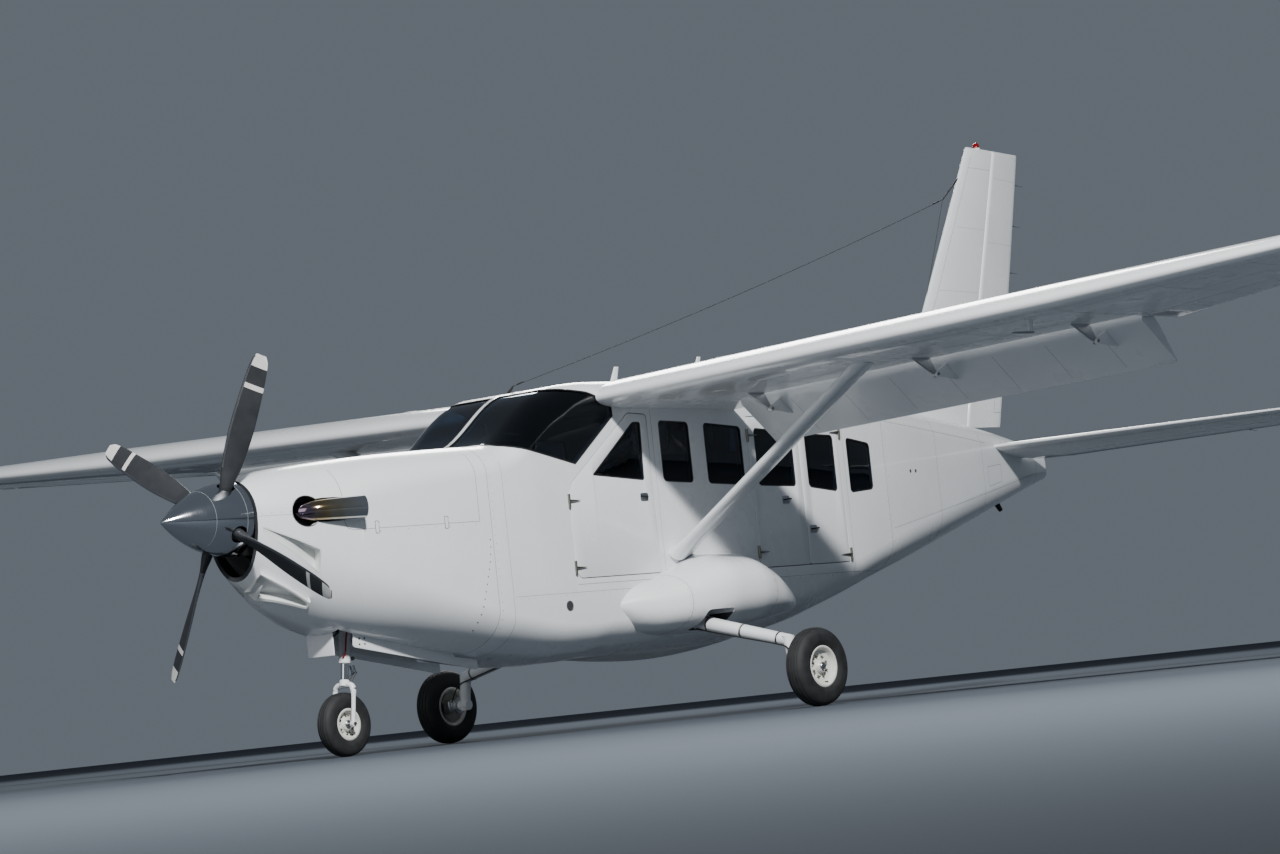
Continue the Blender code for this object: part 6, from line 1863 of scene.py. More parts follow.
@dataclass
class MainGear:
    """The sponson, leg, wheel and brake of one side."""

    side: int
    name: str
    station: float = 4.372
    wheel_x: float = 1.870
    tyre_radius: float = 0.2805
    tyre_width: float = 0.170
    rim_radius: float = 0.150
    axle_radius: float = 0.022
    root: tuple[float, float] = (0.7504, 0.705)       # x and z of the leg's inner end
    knee: tuple[float, float] = (1.640, 0.490)
    radii: tuple[float, float] = (0.055, 0.045)
    pocket: tuple = ((0.750, 4.275, 0.500), (1.300, 4.520, 0.775))
    # Sponson sections: S, outer x, bottom z, top z
    sections: tuple[tuple[float, ...], ...] = (
        (3.720, 0.655, 0.800, 0.930), (3.860, 0.760, 0.690, 1.010), (4.060, 0.900, 0.640, 1.045),
        (4.300, 1.020, 0.625, 1.120), (4.560, 1.085, 0.625, 1.200), (4.820, 1.090, 0.632, 1.195),
        (5.060, 1.040, 0.650, 1.110), (5.260, 0.955, 0.675, 0.985), (5.440, 0.840, 0.705, 0.865),
        (5.560, 0.700, 0.735, 0.790))

    def build(self) -> None:
        """Makes one main gear."""
        self.sponson()
        self.leg()
        self.brake()
        centre = at(self.side * self.wheel_x, self.station, self.tyre_radius)
        Wheel(f"main_wheel_{self.name}", f"main_wheel_{self.name}", centre, self.side, self.tyre_radius,
              self.tyre_width, self.rim_radius, self.axle_radius, 8, 0.110).build()

    def ring(self, s: float, grow: float = 0.0) -> list[Vector]:
        """The sponson's section at a station."""
        _, x_out, low, high = blend_rows(self.sections, s)
        middle, half, reach = (low + high) / 2, (high - low) / 2 + grow, x_out - 0.40 + grow
        points = [at(self.side * 0.40, s, middle - half)]
        for k in range(1, 44):
            angle = -math.pi / 2 + math.pi * k / 44
            points.append(at(self.side * (0.40 + reach * math.cos(angle) ** 0.62), s, middle + half
                             * math.copysign(abs(math.sin(angle)) ** 0.85, math.sin(angle))))
        return points + [at(self.side * 0.40, s, middle + half)]

    def hoop(self, s: float) -> BMesh:
        """A seam round the sponson."""
        rows = [self.ring(s + ds, grow) for ds, grow in
                ((-0.0016, -0.002), (-0.0016, 0.0004), (0.0016, 0.0004), (0.0016, -0.002), (-0.0016, -0.002))]
        seam = skin(rows, closed=False)
        return carve(seam, [LINES.solid(3.4, 6.0, -GAP)])

    def sponson(self) -> None:
        """The sponson with the pocket for the folded leg."""
        first, last = self.sections[0][0], self.sections[-1][0]
        solid = skin([self.ring(s) for s in spread(first, last, 0.045)], capped=True)
        low, high = self.pocket
        xs = sorted((self.side * low[0], self.side * high[0]))
        hole = block((xs[0], low[1], low[2]), (xs[1], high[1], high[2]), 0.030, 4)
        shape = carve(solid, [LINES.solid(3.4, 6.0, -GAP), hole])
        # Faces inside the leg's pocket get the painted shade colour
        for face in shape.faces:
            centre = face.calc_center_median()
            inside = (xs[0] - 0.001 < centre.x < xs[1] - 0.02 * (self.side > 0) and
                      low[1] - 0.001 < centre.y + LENGTH / 2 < high[1] + 0.001 and centre.z < high[2] + 0.001)
            flat = max(abs(face.normal.y), abs(face.normal.z), abs(face.normal.x)) > 0.999
            if inside and flat and centre.z > 0.64:
                face.material_index = 1
        place(f"gear_sponson_{self.name}_skin", shape, [WHITE_ENAMEL, RECESS_PAINTED_SHADE],
              stands_for=[f"gear_sponson_{self.name}"])
        place(f"gear_sponson_{self.name}_seams", merge(self.hoop(4.16), self.hoop(4.98)), [PAINTED_SEAM_SHADE])
        screws = []
        for s in (4.145, 4.175, 4.965, 4.995):
            ring = self.ring(s, 0.0002)
            for k in range(6, 40, 3):
                point, out = ring[k], (ring[k + 1] - ring[k - 1]).cross(Vector((0, 1, 0))).normalized()
                if out.x * self.side < 0:
                    out = -out
                if abs(point.x) > LINES.side_x(s, point.z) + 0.02:
                    screws.append((point, out))
        place(f"gear_sponson_{self.name}_screws", studs(screws, 0.0032, 0.0007), [PLATED_STEEL])

    def leg(self) -> None:
        """The leg, its knee casting, the axle and the brake line clipped along it."""
        side, s = self.side, self.station
        root, knee = at(side * self.root[0], s + 0.02, self.root[1]), at(side * self.knee[0], s, self.knee[1])
        axle = at(side * (self.knee[0] + 0.030), s, self.tyre_radius)
        way = knee - root
        rows = [ring(root + way * t, way, self.radii[0] + (self.radii[1] - self.radii[0]) * t, 32)
                for t in (0.0, 0.30, 0.70, 0.97)]
        rows += [ring(knee + way.normalized() * d, way, r, 32) for d, r in ((0.010, 0.044), (0.028, 0.034),
                                                                          (0.034, 0.016))]
        bar = skin(rows, capped=True)
        foot = tube(curve_points([knee + Vector((-side * 0.010, 0, 0.035)), knee + Vector((0, 0, -0.02)),
                                  knee.lerp(axle, 0.62), axle + Vector((0, 0, -0.040))], 6),
                    [0.047 - 0.0085 * k / 18 for k in range(19)], 28)
        stub = tube([axle + Vector((-side * 0.045, 0, 0)), axle + Vector((-side * 0.040, 0, 0)),
                     axle + Vector((side * 0.050, 0, 0)), axle + Vector((side * 0.056, 0, 0))],
                    [0.034, 0.040, 0.040, 0.032], 28)
        place(f"main_gear_leg_{self.name}_casting", merge(bar, foot, stub), [WHITE_ENAMEL],
              stands_for=[f"main_gear_leg_{self.name}"])
        end = at(side * (self.wheel_x + 0.060), s, self.tyre_radius)
        place(f"main_gear_axle_{self.name}", tube([axle, end], self.axle_radius - 0.0004, 28), [PLATED_STEEL])
        bands = [lathe([(-0.007, 0), (-0.007, r), (0.007, r), (0.007, 0)], root + way * t, way, 32)
                 for t, r in ((0.16, 0.0570), (0.52, 0.0530), (0.90, 0.0482))]
        place(f"main_gear_clamps_{self.name}", merge(*bands), [PLATED_STEEL])
        under = Vector((0, -0.040, -0.048))
        line = curve_points([root + under + way * 0.04, root + way * 0.16 + under, root + way * 0.52 + under * 0.92,
                             root + way * 0.90 + under * 0.82, knee + Vector((side * 0.03, -0.055, -0.06)),
                             axle + Vector((side * 0.075, -0.075, 0.02)),
                             axle + Vector((side * 0.098, -0.078, 0.0))], 8)
        place(f"main_gear_brake_line_{self.name}", tube(line, 0.0050, 10), [BLACK_RUBBER])

    def brake(self) -> None:
        """The torque plate and the caliper inside the rim."""
        side, s, z = self.side, self.station, self.tyre_radius
        x0, x1 = self.knee[0] + 0.086, self.wheel_x - 0.0625
        flange = lathe([(0.0, self.axle_radius), (0.0, 0.060), (0.008, 0.064), (0.014, 0.060),
                        (0.014, self.axle_radius), (0.0, self.axle_radius)], at(side * x0, s, z),
                       Vector((side, 0, 0)), 40)
        arm = block(sorted_box((side * (x0 + 0.001), s - 0.085, z - 0.028), (side * (x0 + 0.013), s - 0.030,
                                                                           z + 0.028))[0],
                    sorted_box((side * (x0 + 0.001), s - 0.085, z - 0.028), (side * (x0 + 0.013), s - 0.030,
                                                                           z + 0.028))[1], 0.003)
        low, high = sorted_box((side * (x0 + 0.012), s - 0.108, z - 0.040), (side * x1, s - 0.056, z + 0.040))
        caliper = block(low, high, 0.007)
        place(f"brake_caliper_{self.name}", merge(flange, arm, caliper), [BARE_ALUMINIUM])


def sorted_box(one: Sequence[float], two: Sequence[float]) -> tuple[tuple[float, ...], tuple[float, ...]]:
    """The low and the high corner of a box between two corners."""
    return tuple(map(min, one, two)), tuple(map(max, one, two))


@dataclass
class NoseGear:
    """The steerable nose leg, its fork and wheel, and the bay's doors."""

    station: float = 1.493
    tyre_radius: float = 0.2225
    tyre_width: float = 0.130
    rim_radius: float = 0.112
    axle_radius: float = 0.014
    rake: float = math.radians(8.5)
    trunnion: float = 0.800       # distances up the leg from the axle
    collar: float = 0.420
    crown: float = 0.272
    leg_radius: float = 0.042
    piston_radius: float = 0.028
    fork_half: float = 0.092
    door: tuple[tuple[float, float], ...] = (
        (1.490, 0.905), (2.430, 0.720), (2.430, 0.615), (2.660, 0.585), (2.660, 0.512), (1.470, 0.745))
    door_x: tuple[float, float] = (0.1826, 0.1946)

    def up(self, x: float, up: float, fore: float = 0.0) -> Vector:
        """A point by its distance up the leg from the axle, and ahead of the leg."""
        return at(x, self.station + up * math.sin(self.rake) - fore * math.cos(self.rake),
                  self.tyre_radius + up * math.cos(self.rake) + fore * math.sin(self.rake))

    def build(self) -> None:
        """Makes the nose gear."""
        self.leg()
        self.fork()
        self.doors()
        Wheel("nose_wheel", "nose_wheel", self.up(0, 0), 1, self.tyre_radius, self.tyre_width, self.rim_radius,
              self.axle_radius, 6).build()

    def leg(self) -> None:
        """The leg with its collars, trunnion, steering box and hose."""
        axis = self.up(0, 1) - self.up(0, 0)
        profile = [(self.collar, 0.0), (self.collar, 0.036), (self.collar + 0.006, self.leg_radius + 0.002),
                   (self.collar + 0.050, self.leg_radius + 0.002), (self.collar + 0.055, self.leg_radius),
                   (0.600, self.leg_radius), (0.604, self.leg_radius + 0.004), (0.640, self.leg_radius + 0.004),
                   (0.644, self.leg_radius), (0.860, self.leg_radius), (0.866, 0.036), (0.866, 0.0)]
        leg = lathe(profile, self.up(0, 0), axis, 40)
        half = LINES.side_x(self.up(0, self.trunnion).y + LENGTH / 2, self.up(0, self.trunnion).z) - 0.034
        beam = tube([self.up(-half, self.trunnion), self.up(half, self.trunnion)], 0.030, 24)
        place("nose_gear_leg_cylinder", merge(leg, beam), [WHITE_ENAMEL],
              stands_for=["nose_gear_leg"])
        lugs = [tube([self.up(x, 0.462, -0.052), self.up(x + 0.012, 0.462, -0.052)], 0.014, 18)
                for x in (-0.030, 0.018)]
        place("nose_gear_leg_lugs", merge(*lugs), [PLATED_STEEL])
        low, high = self.up(-0.052, 0.66, 0.044), self.up(0.052, 0.78, 0.115)
        box_low, box_high = ([min(a, b) for a, b in zip(low, high)], [max(a, b) for a, b in zip(low, high)])
        case = block((box_low[0], box_low[1] + LENGTH / 2, box_low[2]),
                     (box_high[0], box_high[1] + LENGTH / 2, box_high[2]), 0.008)
        place("nose_steering_box", case, [WHITE_ENAMEL])
        hose = tube(curve_points([self.up(0.040, 0.830, 0.02), self.up(0.062, 0.74, 0.03),
                                  self.up(0.060, 0.60, 0.045), self.up(0.050, 0.50, 0.042),
                                  self.up(0.030, 0.46, 0.044)], 8), 0.006, 12)
        place("nose_gear_hose", hose, [HOSE_RED])
        drag = [tube([self.up(x, 0.58, -0.035), at(x * 1.6, 1.98, 1.06)], 0.014, 16) for x in (-0.05, 0.05)]
        place("nose_gear_drag_struts", merge(*drag), [WHITE_ENAMEL])
        pins = tube([self.up(-0.066, 0.58, -0.035), self.up(0.066, 0.58, -0.035)], 0.009, 16)
        place("nose_gear_drag_pin", pins, [PLATED_STEEL])

    def fork(self) -> None:
        """The chromed piston, the fork round the wheel and the torque links."""
        piston = tube([self.up(0, self.crown - 0.01), self.up(0, self.collar - GAP)], self.piston_radius, 36)
        place("nose_fork_piston", piston, [HARD_CHROME], "nose_fork")
        f = self.fork_half
        path = [self.up(x, up) for x, up in ((-f, -0.004), (-f, 0.16), (-f * 0.96, 0.235), (-f * 0.70, 0.268),
                                             (0, 0.274), (f * 0.70, 0.268), (f * 0.96, 0.235), (f, 0.16),
                                             (f, -0.004))]
        smooth = curve_points(path, 6)
        arch = tube(smooth, [0.0150 + 0.0068 * ease(0.16, 0.27, (p - self.up(0, 0)).dot(self.up(0, 1)
                                                                                      - self.up(0, 0)))
                             for p in smooth], 24)
        ends = [tube([self.up(x - 0.014, 0), self.up(x - 0.012, 0), self.up(x + 0.012, 0), self.up(x + 0.014, 0)],
                     [0.016, 0.021, 0.021, 0.016], 24) for x in (-f, f)]
        socket = tube([self.up(0, up) for up in (0.262, 0.268, 0.302, 0.310)], [0.030, 0.038, 0.036, 0.0300], 32)
        place("nose_fork_casting", merge(arch, socket, *ends), [WHITE_ENAMEL], "nose_fork",
              ["nose_fork"])
        axle = tube([self.up(-f - 0.004, 0), self.up(f + 0.004, 0)], self.axle_radius - 0.0004, 24)
        nuts = [tube([self.up(x, 0), self.up(x + way * 0.010, 0)], 0.013, 6) for x, way in
                ((f + 0.014, 1), (-f - 0.014, -1))]
        place("nose_axle", merge(axle, *nuts), [PLATED_STEEL], "nose_fork")
        links = [tube([self.up(x, 0.292, -0.034), self.up(x * 0.7, 0.366, -0.092)], 0.0070, 12)
                 for x in (-0.020, 0.020)]
        links += [tube([self.up(x, 0.366, -0.092), self.up(x * 1.2, 0.414, -0.066)], 0.0070, 12)
                  for x in (-0.014, 0.014)]
        links.append(tube([self.up(-0.022, 0.366, -0.092), self.up(0.022, 0.366, -0.092)], 0.0085, 16))
        place("nose_torque_links", merge(*links), [BARE_ALUMINIUM], "nose_fork")

    def doors(self) -> None:
        """The two long bay doors, each with its stiffener and dots, and the small front door with its rod."""
        near, far = self.door_x
        for side, name in SIDES:
            panel = seal(prism(self.door, side * near, side * far, 0.018), 0.0015, 60)
            place(f"nose_gear_door_{name}_panel", panel, [WHITE_ENAMEL],
                  stands_for=[f"nose_gear_door_{name}"])
            inner = grown([(1.52, 0.880), (2.40, 0.706), (2.40, 0.585), (1.52, 0.748)], -0.020)
            stiff = seal(prism(inner, side * (near - 0.006), side * near, 0.012), 0.0015, 60)
            place(f"nose_gear_door_{name}_stiffener", stiff, [BELLY_ENAMEL])
            spots = [(at(side * (far + 0.0002), s, z), Vector((side, 0, 0))) for s in (1.530, 1.580)
                     for z in (0.760, 0.800)]
            place(f"nose_gear_door_{name}_fasteners", studs(spots, 0.0085, 0.0012, 20), [BLACK_RUBBER])
            hinges = [tube([at(side * 0.189, s, 0.905 - (s - 1.49) * 0.197),
                            at(side * 0.189, s + 0.09, 0.905 - (s + 0.09 - 1.49) * 0.197)], 0.0055, 12)
                      for s in (1.60, 1.98, 2.30)]
            place(f"nose_gear_door_{name}_hinges", merge(*hinges), [PLATED_STEEL])
        front = block((-0.130, 1.3404, 0.700), (0.130, 1.3524, 0.900), 0.0045)
        place("nose_gear_front_door_panel", front, [WHITE_ENAMEL],
              stands_for=["nose_gear_front_door"])
        rod = tube([at(0.03, 1.352, 0.79), at(0.03, 1.50, 0.86)], 0.006, 12)
        place("nose_gear_front_door_rod", rod, [PLATED_STEEL])


# Cabin


@dataclass
class Cushion:
    """A foam cushion under cloth, puffed up by a cloth simulation and capped in how far it moves."""

    size: Vector                 # full width, depth and thickness
    voxel: float = 0.006
    pressure: float = 4.0
    frames: int = 20
    cap: float = 0.024

    def shape(self) -> bpy.types.Mesh:
        bm = bmesh.new()
        bmesh.ops.create_cube(bm, size=1.0)
        bmesh.ops.scale(bm, vec=self.size - Vector((0.02, 0.02, 0.02)), verts=bm.verts)
        bmesh.ops.bevel(bm, geom=bm.edges[:], offset=0.022, affect="EDGES", segments=3, profile=0.5, material=-1)
        mesh = bpy.data.meshes.new("cushion")
        bm.to_mesh(mesh)
        bm.free()
        mesh = self.puff(mesh)
        return mesh

    def puff(self, mesh: bpy.types.Mesh) -> bpy.types.Mesh:
        """Remeshes the shape and lets the cloth swell, then caps each point's travel."""
        obj = bpy.data.objects.new("cushion", mesh)
        bpy.context.scene.collection.objects.link(obj)
        remesh = obj.modifiers.new("remesh", "REMESH")
        remesh.mode = "VOXEL"
        remesh.voxel_size = self.voxel
        graph = bpy.context.evaluated_depsgraph_get()
        even = bpy.data.meshes.new_from_object(obj.evaluated_get(graph))
        obj.modifiers.clear()
        obj.data = even
        rest = [v.co.copy() for v in even.vertices]
        cloth = obj.modifiers.new("cloth", "CLOTH")
        cloth.settings.use_pressure = True
        cloth.settings.uniform_pressure_force = self.pressure
        cloth.settings.effector_weights.gravity = 0.0
        cloth.point_cache.frame_start, cloth.point_cache.frame_end = 1, self.frames
        for step in range(1, self.frames + 1):
            bpy.context.scene.frame_set(step)
        graph = bpy.context.evaluated_depsgraph_get()
        swollen = bpy.data.meshes.new_from_object(obj.evaluated_get(graph))
        for vert, start in zip(swollen.vertices, rest):
            move = vert.co - start
            if move.length > self.cap:
                vert.co = start + move.normalized() * self.cap
        bpy.context.scene.frame_set(1)
        bpy.data.objects.remove(obj)
        return swollen


@dataclass
class Cabin:
    """Floor, instrument panel, controls, seats and belts."""

    floor_z: float = 1.020
    floor_s: tuple[float, float] = (2.550, 6.900)
    wall: float = 0.045
    panel_s: tuple[float, float] = (2.860, 2.940)
    panel_z: tuple[float, float] = (1.480, 1.960)
    bottom: Cushion = field(default_factory=lambda: Cushion(Vector((0.430, 0.440, 0.095))))
    back: Cushion = field(default_factory=lambda: Cushion(Vector((0.420, 0.085, 0.470))))
    # Seats: node, the middles of its places, and the station of its front legs
    seats: tuple = (("crew_seat_left", (0.300,), 3.620), ("crew_seat_right", (-0.300,), 3.620),
                    ("passenger_seats_front", (-0.292, 0.292), 4.780),
                    ("passenger_seats_rear", (-0.292, 0.292), 5.720))

    def build(self) -> None:
        """Makes the cabin's inside."""
        self.floor()
        self.panel()
        self.controls()
        shapes = (self.bottom.shape(), self.back.shape())
        for node, middles, station in self.seats:
            self.seat(node, middles, station, shapes)

    def floor(self) -> None:
        """The carpeted floor with four seat rails."""
        slab = block((-0.8, self.floor_s[0], 0.990), (0.8, self.floor_s[1], self.floor_z - 0.003))
        slab = carve(slab, [LINES.solid(2.531, 6.95, self.wall + GAP)], Cut.KEEP)
        place("cabin_carpet", slab, [CARPET], stands_for=["cabin_floor"])
        rails = [block((x - 0.012, 3.40, self.floor_z - 0.003), (x + 0.012, 6.60, self.floor_z + 0.002), 0.001)
                 for x in (-0.45, -0.15, 0.15, 0.45)]
        place("cabin_seat_rails", merge(*rails), [BARE_ALUMINIUM])

    def panel(self) -> None:
        """The instrument panel under its hood, with two displays, dials, radios and switches."""
        s0, s1 = self.panel_s
        low, high = self.panel_z
        slab = carve(block((-0.8, s0, low), (0.8, s1 - 0.004, high)),
                     [LINES.solid(2.531, 4.0, self.wall + 0.002)], Cut.KEEP)
        place("instrument_panel_board", slab, [PANEL_BLACK], stands_for=["instrument_panel"])
        hood = []
        for x in spread(-0.54, 0.54, 0.06):
            rise = 0.030 * (1 - (x / 0.56) ** 4)
            hood.append([at(x, s, z) for s, z in ((2.66, 1.992), (2.86, 1.976 + rise), (3.03, 1.962 + rise),
                                                  (3.05, 1.950 + rise), (3.03, 1.942 + rise),
                                                  (2.86, 1.945 + rise), (2.68, 1.950))])
        place("instrument_panel_hood", skin(hood, capped=True), [PANEL_BLACK])
        face = s1 - 0.004
        frames, glass, dials, knobs = [], [], [], []
        for x in (-0.32, 0.32):
            frames.append(block((x - 0.135, face - 0.004, 1.690), (x + 0.135, face + 0.010, 1.905), 0.006))
            glass.append(block((x - 0.112, face + 0.004, 1.712), (x + 0.112, face + 0.0112, 1.890), 0.001))
        for z in (1.86, 1.80, 1.74, 1.68):
            frames.append(block((-0.095, face - 0.004, z - 0.024), (0.095, face + 0.008, z + 0.026), 0.004))
            glass.append(block((-0.060, face + 0.003, z - 0.014), (0.060, face + 0.0092, z + 0.017), 0.001))
            for x in (-0.079, 0.079):
                knobs.append(lathe([(0, 0), (0, 0.010), (0.018, 0.009), (0.018, 0)], at(x, face + 0.006, z),
                                   Vector((0, 1, 0)), 20))
        for x in (0.14, 0.50, -0.50, -0.14):
            dials.append(lathe([(0, 0), (0, 0.034), (0.010, 0.034), (0.010, 0.028), (0.004, 0.028), (0.004, 0)],
                               at(x, face, 1.63), Vector((0, 1, 0)), 32))
        for k in range(9):
            foot = at(-0.22 + 0.055 * k, face, 1.550)
            knobs.append(tube([foot, foot + Vector((0, 0.018, 0.008))], 0.0042, 10))
        place("instrument_panel_frames", merge(*frames), [PANEL_BLACK])
        place("instrument_panel_displays", merge(*glass), [DIAL_GLASS])
        place("instrument_panel_dials", merge(*dials), [DIAL_GLASS])
        place("instrument_panel_knobs", merge(*knobs), [BARE_ALUMINIUM])

    def controls(self) -> None:
        """Two yokes, the engine levers and the rudder pedals."""
        shafts, grips, levers, pedals = [], [], [], []
        for x in (-0.300, 0.300):
            hub = at(x, 3.165, 1.565)
            shafts.append(tube([at(x, 2.930, 1.565), hub], 0.0115, 16))
            horns = [hub + Vector((dx, dy, dz)) for dx, dy, dz in
                     ((-0.150, 0.010, 0.085), (-0.152, 0.012, 0.020), (-0.115, 0.008, -0.020), (0, 0.0, -0.018),
                      (0.115, 0.008, -0.020), (0.152, 0.012, 0.020), (0.150, 0.010, 0.085))]
            grips.append(tube(curve_points(horns, 8), 0.0135, 14))
            grips.append(block((x - 0.035, 3.150, 1.520), (x + 0.035, 3.185, 1.585), 0.010))
            for dx in (-0.085, 0.085):
                pedals.append(block((x + dx - 0.045, 2.800, 1.110), (x + dx + 0.045, 2.815, 1.230), 0.005))
                pedals.append(tube([at(x + dx, 2.808, 1.120), at(x + dx, 2.780, 1.022)], 0.008, 10))
        box_low, box_high = (-0.085, 2.936, 1.260), (0.085, 3.080, 1.600)
        grips.append(block(box_low, box_high, 0.015))
        for x in (-0.045, 0.0, 0.045):
            levers.append(tube([at(x, 3.06, 1.57), at(x, 3.115, 1.665)], 0.0045, 10))
            levers.append(tube([at(x - 0.012, 3.118, 1.672), at(x + 0.012, 3.118, 1.672)], 0.012, 16))
        place("control_shafts", merge(*shafts), [BARE_ALUMINIUM])
        place("control_yokes", merge(*grips), [PANEL_BLACK])
        place("engine_levers", merge(*levers), [PANEL_BLACK])
        place("rudder_pedals", merge(*pedals), [BARE_ALUMINIUM])

    def seat(self, node: str, middles: Sequence[float], station: float,
             shapes: tuple[bpy.types.Mesh, bpy.types.Mesh]) -> None:
        """The seats of one node: frames, cushions and belts."""
        frames, belts, buckles = [], [], []
        lean = math.atan2(0.18, 0.58)
        for k, x in enumerate(middles):
            where = f"{node}_{k}"
            turn = Matrix.Rotation(-math.radians(4), 4, "X")
            seat_at = Matrix.Translation(at(x, station + 0.155, self.floor_z + 0.270)) @ turn
            back_at = (Matrix.Translation(at(x, station + 0.445, self.floor_z + 0.545))
                       @ Matrix.Rotation(-lean, 4, "X"))
            for part, place_at, mesh in (("seat", seat_at, shapes[0]), ("back", back_at, shapes[1])):
                bm = bmesh.new()
                bm.from_mesh(mesh)
                bm.transform(place_at)
                cushion = place(f"{where}_{part}_cushion", bm, [SEAT_CLOTH],
                                stands_for=[node] if (k, part) == (0, "seat") else (), sharp=60)
                smooth = cushion.modifiers.new("smooth", "SUBSURF")
                smooth.levels = smooth.render_levels = 1
            for dx in (-0.195, 0.195):
                path = [at(x + dx, station + s, self.floor_z + z) for s, z in
                        ((0.020, 0.0), (0.020, 0.205), (0.050, 0.222), (0.330, 0.222), (0.390, 0.245),
                         (0.560, 0.780))]
                frames.append(tube(path, 0.0125, 14))
                frames.append(tube([at(x + dx, station + 0.390, self.floor_z), at(x + dx, station + 0.350,
                                                                               self.floor_z + 0.222)], 0.0125, 14))
            for s, z in ((0.045, 0.222), (0.340, 0.222), (0.556, 0.765)):
                frames.append(tube([at(x - 0.195, station + s, self.floor_z + z),
                                    at(x + 0.195, station + s, self.floor_z + z)], 0.0110, 12))
            for dx in (-1, 1):
                way = [at(x + dx * 0.205, station + 0.33, self.floor_z + 0.26),
                       at(x + dx * 0.150, station + 0.235, self.floor_z + 0.345),
                       at(x + dx * 0.030, station + 0.165, self.floor_z + 0.352)]
                fine = curve_points(way, 8)
                belts.append(strip(fine, [Vector((0, -0.15, 1))] * len(fine), 0.046, 0.0012))
            buckles.append(block((x - 0.034, station + 0.138, self.floor_z + 0.346),
                                 (x + 0.034, station + 0.192, self.floor_z + 0.362), 0.004))
        place(f"{node}_frames", merge(*frames), [BARE_ALUMINIUM])
        place(f"{node}_belts", merge(*belts), [WEBBING])
        place(f"{node}_buckles", merge(*buckles), [PLATED_STEEL])


